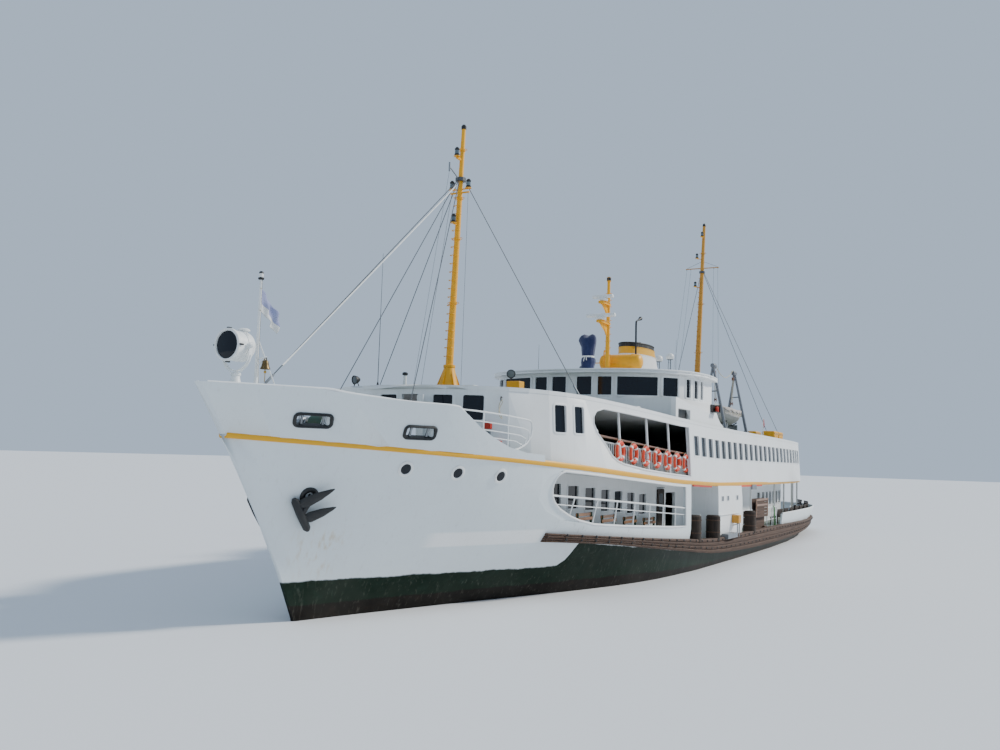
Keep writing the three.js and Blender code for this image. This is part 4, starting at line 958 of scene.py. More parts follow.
class Skin:
    """The outside of some CAD nodes, on which fittings are seated."""

    def __init__(self, *nodes: str) -> None:
        """Reads the nodes' faces.

        Args:
            nodes: their names.
        """
        points: list[Vector] = []
        faces: list[tuple[int, ...]] = []
        for name in nodes:
            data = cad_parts[name].data
            base = len(points)
            points.extend(v.co / K for v in data.vertices)
            faces.extend(tuple(base + k for k in p.vertices) for p in data.polygons)
        self.tree = BVHTree.FromPolygons(points, faces)

    def hit(self, start: Point, ahead: Point) -> Vector | None:
        """Returns where a line from start first meets the skin."""
        return self.tree.ray_cast(Vector(start), Vector(ahead).normalized())[0]

    def side(self, x: float, z: float, side: int) -> Vector | None:
        """Returns the outside of the ship's side at (x, z)."""
        return self.hit((x, side * 12, z), (0, -side, 0))

    def seat(self, centre: Point, width: float, height: float, out: Point, rim: float = 0.09) -> Seat | None:
        """Finds the plane round an opening from four points just outside it.

        Args:
            centre: a point near the opening's middle.
            width: the opening's width.
            height: its height.
            out: the direction that it looks in.
            rim: how far outside the opening the points lie.

        Returns:
            The seat, or None where the skin has no wall there.
        """
        away = Vector(out).normalized()
        flat = Vector((0, 0, 1)).cross(away).normalized()
        high = away.cross(flat)
        middle = Vector(centre) + away * 6
        reach_u, reach_v = width / 2 + rim, height / 2 + rim
        spots = [self.hit(middle + flat * u + high * v, -away) for u, v in ((-reach_u, 0), (reach_u, 0),
                                                                            (0, -reach_v), (0, reach_v))]
        if None in spots:
            return None
        left, right, low, top = spots
        along = (right - left).normalized()
        up = top - low
        up = (up - along * up.dot(along)).normalized()
        # A slanting wall makes the opening wider than it looks from straight ahead.
        wide = (right - left).length / (2 * reach_u)
        return Seat((left + right + low + top) / 4, along, up, along.cross(up).normalized(), wide)


def repeat_tree(name: str, follow: bool, alternate: float = 0.0) -> bpy.types.NodeTree:
    """Builds the Geometry Nodes tree that sets a part again and again.

    Args:
        name: the tree's name.
        follow: True for a count of parts along a path, False for one on each point, turned by its attribute.
        alternate: how far every second part is turned about the path, in radians.

    Returns:
        The tree.
    """
    tree = bpy.data.node_groups.new(name, "GeometryNodeTree")
    face = tree.interface
    face.new_socket("Geometry", in_out="INPUT", socket_type="NodeSocketGeometry")
    face.new_socket("Part", in_out="INPUT", socket_type="NodeSocketObject")
    face.new_socket("Finish", in_out="INPUT", socket_type="NodeSocketMaterial")
    face.new_socket("Count", in_out="INPUT", socket_type="NodeSocketInt")
    face.new_socket("Geometry", in_out="OUTPUT", socket_type="NodeSocketGeometry")
    given = add_node(tree, "NodeGroupInput")
    part = add_node(tree, "GeometryNodeObjectInfo", {"Object": given.outputs["Part"]})
    if follow:
        path = add_node(tree, "GeometryNodeMeshToCurve", {0: given.outputs["Geometry"]})
        even = add_node(tree, "GeometryNodeResampleCurve", {"Curve": path.outputs[0], "Count": given.outputs["Count"]})
        ahead = add_node(tree, "GeometryNodeInputTangent")
        turned = add_node(tree, "FunctionNodeAlignRotationToVector", {"Vector": ahead.outputs[0]},
                          axis="X", pivot_axis="Z")
        rotation = turned.outputs[0]
        if alternate:
            turned.pivot_axis = "AUTO"
            index = add_node(tree, "GeometryNodeInputIndex")
            odd = add_node(tree, "ShaderNodeMath", {0: index.outputs[0], 1: 2.0}, operation="MODULO")
            angle = add_node(tree, "ShaderNodeMath", {0: odd.outputs[0], 1: alternate}, operation="MULTIPLY")
            roll = add_node(tree, "FunctionNodeAxisAngleToRotation", {"Axis": (1, 0, 0), "Angle": angle.outputs[0]})
            rotation = add_node(tree, "FunctionNodeRotateRotation", {"Rotation": rotation,
                                                                     "Rotate By": roll.outputs[0]},
                                rotation_space="LOCAL").outputs[0]
        placed = add_node(tree, "GeometryNodeInstanceOnPoints", {"Points": even.outputs[0],
                                                                 "Instance": part.outputs["Geometry"],
                                                                 "Rotation": rotation})
    else:
        turn = add_node(tree, "GeometryNodeInputNamedAttribute", {"Name": "turn"}, data_type="FLOAT_VECTOR")
        size = add_node(tree, "GeometryNodeInputNamedAttribute", {"Name": "size"}, data_type="FLOAT_VECTOR")
        placed = add_node(tree, "GeometryNodeInstanceOnPoints", {"Points": given.outputs["Geometry"],
                                                                 "Instance": part.outputs["Geometry"],
                                                                 "Rotation": turn.outputs[0],
                                                                 "Scale": size.outputs[0]})
    real = add_node(tree, "GeometryNodeRealizeInstances", {0: placed.outputs[0]})
    coated = add_node(tree, "GeometryNodeSetMaterial", {"Geometry": real.outputs[0],
                                                        "Material": given.outputs["Finish"]})
    add_node(tree, "NodeGroupOutput", {0: coated.outputs[0]})
    return tree


class Repeater:
    """Sets one small part many times with Geometry Nodes, and makes the result one mesh."""

    def __init__(self) -> None:
        """Builds the three trees."""
        self.on_points = repeat_tree("parts on points", follow=False)
        self.on_path = repeat_tree("parts along a path", follow=True)
        self.chain = repeat_tree("links along a path", follow=True, alternate=math.pi / 2)

    def grow(self, name: str, tree: bpy.types.NodeTree, base: bpy.types.Mesh, part: Shape, finish: Finish,
             body: str, count: int) -> bpy.types.Object:
        """Runs a tree on a base mesh and returns the plain piece.

        Args:
            name: the piece's name.
            tree: which tree.
            base: the points or the path.
            part: the shape that is repeated.
            finish: what it is finished in.
            body: what it moves with.
            count: how many parts go along a path.

        Returns:
            The piece.
        """
        seed = join(f"{name}_part", part.data(f"{name}_part"))
        thing = join(name, base)
        modifier = thing.modifiers.new("repeat", "NODES")
        modifier.node_group = tree
        sockets = {item.name: item.identifier for item in tree.interface.items_tree if item.in_out == "INPUT"}
        modifier[sockets["Part"]] = seed
        modifier[sockets["Finish"]] = finish.material()
        modifier[sockets["Count"]] = count
        bake(thing)
        bpy.data.objects.remove(seed)
        if not thing.data.materials:
            thing.data.materials.append(finish.material())
        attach(thing, body)
        LOG.info("made %s: %d faces", name, len(thing.data.polygons))
        return thing

    def on_seats(self, name: str, part: Shape, seats: Sequence[Seat], finish: Finish, body: str = "hull",
                 sizes: Sequence[Point] | None = None) -> bpy.types.Object:
        """Sets a part, drawn with x along, y up and z out, on each seat.

        Args:
            name: the piece's name.
            part: the part's shape.
            seats: where it goes.
            finish: what it is finished in.
            body: what it moves with.
            sizes: how much it is stretched on each seat, along, up and out.

        Returns:
            The piece.
        """
        base = bpy.data.meshes.new(name)
        base.from_pydata([tuple(s.origin * K) for s in seats], [], [])
        turn = base.attributes.new("turn", "FLOAT_VECTOR", "POINT")
        size = base.attributes.new("size", "FLOAT_VECTOR", "POINT")
        for k, seat in enumerate(seats):
            turn.data[k].vector = Matrix((seat.along, seat.up, seat.out)).transposed().to_euler()
            size.data[k].vector = sizes[k] if sizes else (1, 1, 1)
        return self.grow(name, self.on_points, base, part, finish, body, 0)

    def along(self, name: str, part: Shape, path: Sequence[Point], count: int, finish: Finish,
              body: str = "hull", links: bool = False) -> bpy.types.Object:
        """Sets a count of parts evenly along a path, each turned to follow it.

        Args:
            name: the piece's name.
            part: the part's shape, with x ahead along the path.
            path: the path's points.
            count: how many parts.
            finish: what they are finished in.
            body: what they move with.
            links: whether every second part is turned a quarter, as in a chain.

        Returns:
            The piece.
        """
        base = bpy.data.meshes.new(name)
        base.from_pydata([tuple(Vector(p) * K) for p in path], [(k, k + 1) for k in range(len(path) - 1)], [])
        return self.grow(name, self.chain if links else self.on_path, base, part, finish, body, count)


def upright_seat(origin: Point, out: Point) -> Seat:
    """Returns a seat on an upright plane that looks along out."""
    away = Vector((out[0], out[1], 0)).normalized()
    return Seat(Vector(origin), Vector((0, 0, 1)).cross(away), Vector((0, 0, 1)), away)


def spread(first: float, last: float, count: int) -> list[float]:
    """Returns count numbers evenly from first to last."""
    return [first + (last - first) * k / (count - 1) for k in range(count)]


# The upper gallery's sill where it sweeps up at its fore end, as (x, z).
SILL_SWEEP = ((13.9, 4.17), (14.6, 4.24), (15.1, 4.34), (15.5, 4.49), (15.95, 4.84), (16.5, 5.22))


def open_sweep(plating: str) -> None:
    """Trims the upper gallery's sill in a plated copy down to its swept line, on both sides.

    Args:
        plating: the plated copy's name.
    """
    target = bpy.data.objects[plating]
    back = [(16.3, 5.35), (15.7, 5.05), (14.8, 4.68), (13.8, 4.42), (12.9, 4.3)]
    outline = [(12.9, upper_z(12.9) + 0.205)] + list(SILL_SWEEP) + back
    for label, side in SIDES:
        shape = Shape().loft([[(x, side * y, z) for x, z in outline] for y in (3.0, 6.0)])
        cutter = join(f"sweep_{label}", shape.data(f"sweep_{label}", 180))
        cut = target.modifiers.new("sweep", "BOOLEAN")
        cut.operation = "DIFFERENCE"
        cut.solver = "EXACT"
        cut.object = cutter
        bake(target)
        bpy.data.objects.remove(cutter)


def between_plates(skin: Skin, x: float, z: float, side: int, proud: float) -> Vector:
    """Returns a point in the long opening's plane, judged from the plating over and under it.

    Args:
        skin: the plating.
        x: the place along the ship.
        z: the height.
        side: the ship's side.
        proud: how far outboard of the plating's line.

    Returns:
        The point.
    """
    low, high = 1.8 + 0.045 * max(x - 8.3, 0), upper_z(x) - 0.1
    under, over = skin.side(x, low, side), skin.side(x, high, side)
    share = (z - low) / (high - low)
    return Vector((x, under.y + (over.y - under.y) * share + side * proud, z))


def bench(half: float, foot: float, thick: float, back: Sequence[Point], tall: float,
          post: Point) -> tuple[Shape, Shape]:
    """Draws a slatted bench along x that looks towards y.

    Args:
        half: half its length.
        foot: how far its two ends are from its middle.
        thick: half the thickness of a seat slat.
        back: the (y, z) of each slat of the back.
        tall: half the height of a slat of the back.
        post: the y and z limits of the posts that hold the back.

    Returns:
        The slats, and the ends.
    """
    slats, ends = Shape(), Shape()
    for y in (0.08, 0.2, 0.32):
        slats.box((-half, y - 0.045, 0.43 - thick), (half, y + 0.045, 0.43 + thick))
    for y, z in back:
        slats.box((-half, y - 0.014, z - tall), (half, y + 0.014, z + tall))
    for x in (-foot, foot):
        for y0, y1, z0, z1 in ((-0.02, 0.03, 0, 0.42), (0.3, 0.35, 0, 0.42), (-0.02, 0.36, 0.38, 0.415), post):
            ends.box((x - 0.025, y0, z0), (x + 0.025, y1, z1))
    return slats, ends


@dataclass
class Work:
    """A sub-assembly of the ship, with the maker of repeated parts."""

    repeat: Repeater


@dataclass
class SideWork(Work):
    """What is built alike on each side of the ship."""

    label: str
    side: int


@dataclass
class Topsides(SideWork):
    """The painted stripe, timber strake, ports, caps and rims of one side."""

    stripe_width: float = 0.17
    plank_count: int = 4
    strake_out: float = 0.27
    bolt_pitch: float = 0.75
    post_places: tuple[float, ...] = (7.0, 4.2, -2.2)
    post_radius: float = 0.3
    post_height: float = 0.95
    porthole: float = 0.17

    # The round nose that is plated into the long opening, and the opening's own end behind it, as (x, z).
    NOSE = ((16.9, 2.43), (17.5, 2.6), (18.05, 2.82), (18.38, 3.02), (18.6, 3.23), (18.72, 3.44), (18.76, 3.6),
            (18.74, 3.75), (18.66, 3.87), (18.52, 3.95))
    OPENING_END = ((17.0, 2.35), (17.9, 2.44), (18.75, 2.74), (19.05, 2.95), (19.24, 3.13), (19.32, 3.33),
                   (19.34, 3.5), (19.27, 3.68), (19.14, 3.84), (18.75, 3.99))

    # Turned profiles: radius, height along the axis.
    STRAKE_BOLT = ((0.0, -0.02), (0.045, -0.02), (0.045, 0.0), (0.028, 0.006), (0.028, 0.022), (0.0, 0.026))
    ROLLER = ((0, -0.13), (0.045, -0.13), (0.03, 0.0), (0.045, 0.13), (0, 0.13))

    def __post_init__(self) -> None:
        """Reads the hull's outside."""
        self.hull = Skin("hull")
        self.decked = Skin("hull", "upper_deck")

    def stripe(self) -> None:
        """Runs the half-round sheer stripe from the stem to the after deck."""
        rings = []
        for x in spread(-25.2, 28.2, 112):
            z = upper_z(x) - 0.035
            spot = self.decked.side(x, z - 0.02, self.side)
            if spot is None:
                continue
            y, half = spot.y * self.side, self.stripe_width / 2
            profile = ((-0.05, -half), (0.0, -half), (0.028, -half * 0.6), (0.034, 0), (0.028, half * 0.6),
                       (0.0, half), (-0.05, half))
            rings.append([(x, self.side * (y + n), z + v) for n, v in profile])
        Shape().loft(rings).piece(f"sheer_stripe_{self.label}", Coat.STRIPE)

    def strake(self) -> None:
        """Stacks the strake's planks, bolts them and stands the fender posts on them."""
        planks = Shape()
        stations = [-28, -27.4, -26.8, -26, -25, -23.7, -22.5, -20.7, -19, -16.5, -14, -11, -8, -5, -2, 0.5, 3, 5,
                    7, 9, 11, 12.5, 14, 15.5, 17, 18.25]
        for k in range(self.plank_count):
            rings = []
            for x in stations:
                foot, top = curve_at(STRAKE_FOOT, x), curve_at(STRAKE_TOP, x)
                low = foot + (top - foot) * k / self.plank_count + 0.006
                high = foot + (top - foot) * (k + 1) / self.plank_count - 0.006
                y = [self.hull.side(x, min(z, main_z(x) - 0.02), self.side).y * self.side for z in (low, high)]
                out = self.strake_out * (0.62 if x > 18 else 1) - (0.0, 0.012, 0.004, 0.016)[k]
                ease = min((high - low) * 0.3, 0.03)
                profile = ((y[0] - 0.02, low), (y[0] + out - ease, low), (y[0] + out, low + ease),
                           (y[1] + out, high - ease), (y[1] + out - ease, high), (y[1] - 0.02, high))
                rings.append([(x, self.side * v, z) for v, z in profile])
            planks.loft(rings)
        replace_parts(planks.piece(f"strake_planks_{self.label}", Coat.STRAKE), f"strake_{self.label}")
        bolt = Shape().lathe(self.STRAKE_BOLT, (0, 0, 0), axis=(0, 1, 0), sides=8)
        for row, share in (("low", 0.375), ("high", 0.875)):
            path = []
            for x in spread(-26.5, 17.5, 60):
                foot, top = curve_at(STRAKE_FOOT, x), curve_at(STRAKE_TOP, x)
                z = foot + (top - foot) * share
                y = self.hull.side(x, min(z, main_z(x) - 0.02), self.side).y * self.side
                path.append((x, self.side * (y + self.strake_out - 0.004), z))
            if self.side < 0:
                path.reverse()
            self.repeat.along(f"strake_bolts_{row}_{self.label}", bolt, path, int(44 / self.bolt_pitch), Coat.BLACK)
        posts, hoops = Shape(), Shape()
        for x in self.post_places:
            z = curve_at(STRAKE_TOP, x)
            y = self.hull.side(x, z - 0.15, self.side).y
            r, h = self.post_radius, self.post_height
            posts.lathe([(0, -0.12), (r, -0.12), (r * 1.01, h * 0.5), (r, h - 0.06), (r - 0.05, h), (0, h + 0.01)],
                        (x, y, z), sides=20)
            for rise in (0.22, 0.72):
                hoops.lathe([(r - 0.02, rise), (r + 0.012, rise), (r + 0.012, rise + 0.05),
                             (r - 0.02, rise + 0.05)], (x, y, z), sides=20)
        posts.piece(f"fender_posts_{self.label}", Coat.POST)
        hoops.piece(f"fender_hoops_{self.label}", Coat.STRAKE)

    def portholes(self) -> None:
        """Sets the round deadlights below the sheer stripe."""
        rims, panes = Shape(), Shape()
        for x, z in ((24.05, 3.96), (22.55, 3.88), (21.1, 3.81)):
            seat = self.hull_seat(x, z)
            r = self.porthole
            rims.lathe([(r - 0.02, -0.02), (r + 0.06, -0.02), (r + 0.055, 0.02), (r + 0.01, 0.035),
                        (r - 0.02, 0.02)], seat.origin, axis=seat.out, sides=28)
            panes.lathe([(0, -0.02), (r, -0.02), (r, 0.008), (r * 0.6, 0.012), (0, 0.014)], seat.origin,
                        axis=seat.out, sides=28)
        rims.piece(f"porthole_rims_{self.label}", Coat.RAIL)
        panes.piece(f"porthole_glass_{self.label}", Coat.GLASS)

    def hull_seat(self, x: float, z: float) -> Seat:
        """Returns the plane of the hull's side at (x, z).

        Args:
            x: the place along the ship.
            z: the height.

        Returns:
            The seat.
        """
        low, high = self.hull.side(x, z - 0.12, self.side), self.hull.side(x, z + 0.12, self.side)
        aft, fore = self.hull.side(x - 0.12, z, self.side), self.hull.side(x + 0.12, z, self.side)
        along = (aft - fore).normalized() * self.side
        up = (high - low).normalized()
        return Seat(self.hull.side(x, z, self.side), along, up, along.cross(up).normalized())

    def rim(self, name: str, skin: Skin, outline: Sequence[Point], radius: float) -> None:
        """Rolls a half-round edge round an opening in the side.

        Args:
            name: the piece's name.
            skin: the plating that the opening is in.
            outline: the opening's edge, as (x, z).
            radius: the edge's radius.
        """
        middle = (sum(p[0] for p in outline) / len(outline), sum(p[1] for p in outline) / len(outline))
        path = []
        for x, z in outline:
            away = Vector((x - middle[0], z - middle[1])).normalized() * 0.07
            spot = skin.side(x + away.x, z + away.y, self.side)
            path.append((x, spot.y, z) if spot is not None else between_plates(skin, x, z, self.side, 0.0))
        Shape().tube(path, radius, 8, closed=True).piece(name, Coat.HOUSE)

    def caps(self) -> None:
        """Runs the rail cap along the bow bulwark and along the after bulwark."""
        top = ((20.1, 4.45), (21.2, 4.51), (21.85, 4.71), (22.5, 4.99), (23.05, 5.38), (23.33, 5.6), (23.7, 5.64),
               (24.6, 5.65), (25.66, 5.72), (26.28, 5.78), (26.7, 5.84), (29.3, 5.84))
        bow = Skin("bow_bulwark")
        path = []
        for x in spread(21.0, 28.95, 64):
            z = curve_at(top, x)
            spot = bow.side(x, z - 0.04, self.side)
            if spot is not None:
                path.append((x, spot.y - self.side * 0.028, z))
        Shape().tube(path, 0.032, 8).piece(f"bulwark_cap_{self.label}", Coat.HOUSE)
        path = []
        for x in spread(-28.75, -9.95, 44):
            spot = self.hull.side(x, 1.66, self.side)
            if spot is not None:
                path.append((x, spot.y - self.side * 0.04, 1.73))
        Shape().tube(path, 0.05, 8).piece(f"after_bulwark_cap_{self.label}", Coat.HOUSE)

    def mooring_ports(self) -> None:
        """Frames the bulwark's mooring ports with rolled lips and a roller in each."""
        bow = Skin("bow_bulwark")
        lips, rollers = Shape(), Shape()
        for x0, x1, z0, z1 in ((23.8, 24.55, 4.76, 5.05), (26.33, 27.03, 4.94, 5.22)):
            seat = bow.seat(((x0 + x1) / 2, 0, (z0 + z1) / 2), x1 - x0, z1 - z0, (0, self.side, 0), rim=0.06)
            if seat is None:
                continue
            rings = [seat.ring(rounded(x1 - x0 + a, z1 - z0 + a, 0.07 + a / 2), n)
                     for a, n in ((0.12, -0.01), (0.12, 0.03), (0.06, 0.055), (-0.02, 0.03), (-0.02, -0.12))]
            lips.loft(rings, caps=False)
            for u in (-0.22, 0.22):
                rollers.lathe(self.ROLLER, seat.at(u, 0, -0.07), axis=seat.up, sides=12)
        lips.piece(f"mooring_port_lips_{self.label}", Coat.BLACK)
        rollers.piece(f"mooring_port_rollers_{self.label}", Coat.GALVANISED)

    def cheek(self) -> None:
        """Plates in the fore end of the long opening, with a rounder nose than the opening's own."""
        rings = []
        for edge, end in zip(self.NOSE, self.OPENING_END):
            rings.append([between_plates(self.hull, x, z, self.side, n)
                          for (x, z), n in ((edge, 0.006), (end, 0.006), (end, -0.05), (edge, -0.05))])
        Shape().loft(rings).piece(f"gallery_cheek_{self.label}", Coat.HULL)

    def build(self) -> None:
        """Makes the side."""
        long_rim = [(x, curve_at(((6, 1.9), (8.3, 1.9), (12, 2.05), (16, 2.28), (17.8, 2.47)), x))
                    for x in spread(8.3, 17.8, 12)]
        long_rim = [p for p in long_rim if p[0] < 16.8] + list(self.NOSE)
        long_rim += [(x, upper_z(x) - 0.2) for x in spread(18.4, 8.3, 12)]
        for step in (self.stripe, self.strake, self.portholes, self.caps, self.mooring_ports, self.cheek):
            step()
        self.rim(f"gallery_rim_{self.label}", self.hull, long_rim, 0.04)
        self.rim(f"upper_gallery_rim_{self.label}", Skin("forward_house"), self.upper_outline(), 0.035)

    def upper_outline(self) -> list[tuple[float, float]]:
        """Returns the upper gallery's opening as (x, z).

        Returns:
            The outline's points.
        """
        low = [(x, upper_z(x) + 0.21) for x in spread(7.5, 12.6, 8)]
        bend = [(16.7, 5.5), (16.7, 5.72), (16.5, 5.92)]
        return low + list(SILL_SWEEP) + bend + [(x, boat_z(x) - 0.3) for x in spread(16, 7.5, 10)]


@dataclass
class Windows(Work):
    """The glazed openings of both decks and the wheelhouse, each with a frame and a pane."""

    frame_width: float = 0.05
    frame_proud: float = 0.022
    pane_depth: float = 0.05
    saloon_count: int = 23
    saloon_first: float = 6.5
    saloon_pitch: float = 1.085

    def fit(self, name: str, skin: Skin, holes: Sequence[tuple[Point, float, float, Point]], corner: float,
            body: str = "hull", finish: Finish | None = None) -> None:
        """Fits a frame and a pane in each hole.

        Args:
            name: the pieces' name.
            skin: the wall that the holes are in.
            holes: the middle, width, height and outward direction of each.
            corner: the corners' radius.
            body: what they move with.
            finish: the frames' finish.
        """
        frames, panes = Shape(), Shape()
        for centre, width, height, out in holes:
            seat = skin.seat(centre, width, height, out, rim=0.05)
            if seat is None:
                LOG.info("no wall for %s at %s", name, centre)
                continue
            frames.surround(seat, (width, height, corner), self.frame_width, self.frame_proud, 0.09)
            panes.slab(seat, rounded(width - 0.01, height - 0.01, corner), -self.pane_depth - 0.02, -self.pane_depth)
        frames.piece(f"{name}_frames", finish or Coat.HOUSE, body)
        panes.piece(f"{name}_glass", Coat.GLASS, body)

    def repeated(self, name: str, skin: Skin, holes: Sequence[tuple[Point, float, float, Point]],
                 corner: float) -> None:
        """Fits the same frame and pane in a long row of equal holes.

        Args:
            name: the pieces' name.
            skin: the wall that the holes are in.
            holes: the middle, width, height and outward direction of each.
            corner: the corners' radius.
        """
        seats = [skin.seat(centre, width, height, out, rim=0.05) for centre, width, height, out in holes]
        seats = [seat for seat in seats if seat is not None]
        width, height = holes[0][1:3]
        flat = Seat(Vector((0, 0, 0)), Vector((1, 0, 0)), Vector((0, 1, 0)), Vector((0, 0, 1)))
        band = Shape().surround(flat, (width, height, corner), self.frame_width, self.frame_proud, 0.09)
        pane = Shape().slab(flat, rounded(width - 0.01, height - 0.01,
                                          corner), -self.pane_depth - 0.02, -self.pane_depth)
        self.repeat.on_seats(f"{name}_frames", band, seats, Coat.HOUSE)
        self.repeat.on_seats(f"{name}_glass", pane, seats, Coat.GLASS)

    def build(self) -> None:
        """Glazes the ship."""
        saloon, house, bridge = Skin("saloon_walls"), Skin("forward_house"), Skin("wheelhouse_walls")
        deckhouse = Skin("main_deckhouse")
        for label, side in SIDES:
            out = (0, side, 0)
            places = [self.saloon_first - self.saloon_pitch * k for k in range(self.saloon_count)]
            row = [((x, 0, upper_z(x - 0.37) + 1.08 + 0.42), 0.74, 0.84, out) for x in places]
            self.repeated(f"saloon_window_{label}", saloon, row, 0.07)
            places = [first + pitch * k for first, pitch, count in ((8.6, 1.15, 8), (-21.2, 1.25, 9))
                      for k in range(count)]
            row = [((x + 0.36, 0, main_z(x) + 0.95 + 0.4), 0.72, 0.8, out) for x in places]
            self.repeated(f"main_window_{label}", deckhouse, row, 0.06)
            sides = [(((a + b) / 2, 0, 5.57), b - a, 0.86, out) for a, b in ((18.14, 18.62), (17.3, 17.78))]
            self.fit(f"lounge_side_window_{label}", house, sides, 0.07)
            wings = [(((a + b) / 2, 0, 7.47), b - a, 0.8, out) for a, b in ((4.54, 4.88), (5.12, 5.54), (5.82, 6.15))]
            self.fit(f"bridge_side_window_{label}", bridge, wings, 0.05)
        fronts = [((19.5, (a + b) / 2, 5.78), b - a, 0.76, (1, 0, 0))
                  for a, b in ((-2.61, -2.01), (-1.73, -1.11), (-0.72, -0.1), (1.11, 1.73), (2.01, 2.61))]
        self.fit("lounge_front_window", house, fronts, 0.07)
        bays = ((0.23, 0.92), (1.15, 1.77), (1.98, 3.55), (3.7, 4.2))
        self.fit("bridge_front_window", bridge, [((7, side * (a + b) / 2, 7.47), b - a, 0.8, (1, 0, 0))
                                                 for a, b in bays for side in (1, -1)], 0.05)
        self.fit("bridge_back_window", bridge, [((3, (a + b) / 2, 7.47), b - a, 0.8, (-1, 0, 0))
                                                for a, b in ((-4.0, -3.0), (3.0, 4.0))], 0.05)


@dataclass
class Galleries(SideWork):
    """The rails, buoys, benches and posts of one side's galleries."""

    buoy_ring: float = 0.29
    buoy_tube: float = 0.08
    rail_rise: float = 1.12
    buoy_count: int = 7
    first_buoy: float = 7.62
    buoy_pitch: float = 1.15
    solid_until: float = 7.65
    tumblehome: float = 0.07

    def __post_init__(self) -> None:
        """Reads the hull's outside."""
        self.hull = Skin("hull")

    def edge(self, x: float, rise: float, inboard: float = 0.14) -> tuple[float, float, float]:
        """Returns a point over the upper gallery's edge.

        Args:
            x: the place along the ship.
            rise: the height over the deck.
            inboard: how far inboard of the plating.

        Returns:
            The point.
        """
        along = max(x, self.solid_until)
        plating = abs(self.hull.side(along, upper_z(along) - 0.12, self.side).y)
        return (x, self.side * (plating - 0.02 - self.tumblehome * rise - 0.12 - inboard), upper_z(x) + rise)

    def upper_rail(self) -> None:
        """Makes the varnished handrail, its white balusters and the row of lifebuoys."""
        xs = spread(7.4, 16.3, 14)
        top = [self.edge(x, self.rail_rise) for x in xs]
        section = rounded(0.14, 0.07, 0.03, 3)
        rail = Shape().loft([[(x, y + u, z + v) for u, v in section] for x, y, z in top])
        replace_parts(rail.piece(f"gallery_handrail_{self.label}", Coat.VARNISH), f"upper_rail_{self.label}")
        bars = Shape()
        for rise in (0.12, 0.95):
            bars.tube([self.edge(x, rise) for x in xs], 0.022, 6)
        bars.piece(f"gallery_rail_bars_{self.label}", Coat.RAIL)
        stick = Shape().tube([(0, 0, 0), (0, 0, 0.84)], 0.016, 6)
        foot = [self.edge(x, 0.12) for x in xs]
        self.repeat.along(f"gallery_balusters_{self.label}", stick, foot, 66, Coat.RAIL)
        posts = Shape()
        for x in (9.65, 12.0, 14.5):
            low, high = self.edge(x, 0.0, 0.05), self.edge(x, boat_z(x) - upper_z(x) - 0.13, 0.05)
            posts.tube([low, high], 0.045, 10)
        posts.piece(f"gallery_posts_{self.label}", Coat.RAIL)
        seats = [upright_seat(self.edge(self.first_buoy + self.buoy_pitch * k, 0.72, 0.05), (0.04, self.side, 0))
                 for k in range(self.buoy_count)]
        ring = [(self.buoy_ring * math.cos(t), self.buoy_ring * math.sin(t), 0)
                for t in spread(0, 2 * math.pi, 29)[:-1]]
        shell = Shape().tube(ring, self.buoy_tube, 12, closed=True)
        self.repeat.on_seats(f"lifebuoys_{self.label}", shell, seats, Coat.ORANGE)
        bands = Shape()
        for k in range(4):
            turns = spread(math.pi / 4 + math.pi / 2 * k - 0.12, math.pi / 4 + math.pi / 2 * k + 0.12, 4)
            bands.tube([(self.buoy_ring * math.cos(t), self.buoy_ring * math.sin(t), 0) for t in turns],
                       self.buoy_tube + 0.005, 12)
        self.repeat.on_seats(f"lifebuoy_bands_{self.label}", bands, seats, Coat.BAND)
        line = Shape()
        for k in range(4):
            start = math.pi / 4 + math.pi / 2 * k
            path = []
            for j in range(9):
                t = start + math.pi / 2 * j / 8
                r = self.buoy_ring + self.buoy_tube + 0.012 + 0.035 * math.sin(math.pi * j / 8)
                path.append((r * math.cos(t), r * math.sin(t), 0.01))
            line.tube(path, 0.009, 5)
        self.repeat.on_seats(f"lifebuoy_lines_{self.label}", line, seats, Coat.ROPE)

    def lower_rail(self) -> None:
        """Makes the long gallery's rail: handrail, mid bar and stanchions."""
        rail = Shape()
        for drop, radius, fore in ((0.0, 0.032, 18.58), (0.26, 0.018, 18.35)):
            rail.tube([between_plates(self.hull, x, 2.6 + 0.0627 * (x - 8.3) - drop, self.side, -0.05)
                       for x in spread(8.2, fore, 18)], radius, 8)
        for x in spread(9.45, 17.4, 7):
            foot = curve_at(((8.3, 1.9), (12, 2.05), (16, 2.28), (17.4, 2.56)), x)
            rail.tube([between_plates(self.hull, x, z, self.side, -0.05)
                       for z in (foot, 2.6 + 0.0627 * (x - 8.3))], 0.024, 8)
        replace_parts(rail.piece(f"long_gallery_rail_{self.label}", Coat.RAIL), f"gallery_rail_{self.label}")

    def benches(self) -> None:
        """Sets slatted benches along both galleries, backs to the house."""
        slats, ends = bench(0.68, 0.58, 0.012, ((-0.02, 0.62), (-0.06, 0.76)), 0.05, (-0.09, -0.01, 0.41, 0.82))
        rows = (("upper", upper_z, 8.3, 15.2, 2.6, 5), ("upper_inner", upper_z, 8.3, 17.5, 1.2, 6),
                ("main", main_z, 9.0, 15.5, 3.9, 4))
        for row, deck, aft, fore, y, count in rows:
            path = [(x, self.side * y, deck(x)) for x in spread(aft, fore, 12)]
            if self.side < 0:
                path.reverse()
            self.repeat.along(f"bench_slats_{row}_{self.label}", slats, path, count, Coat.BENCH)
            self.repeat.along(f"bench_ends_{row}_{self.label}", ends, path, count, Coat.GREEN)

    def build(self) -> None:
        """Makes the side."""
        self.upper_rail()
        self.lower_rail()
        self.benches()


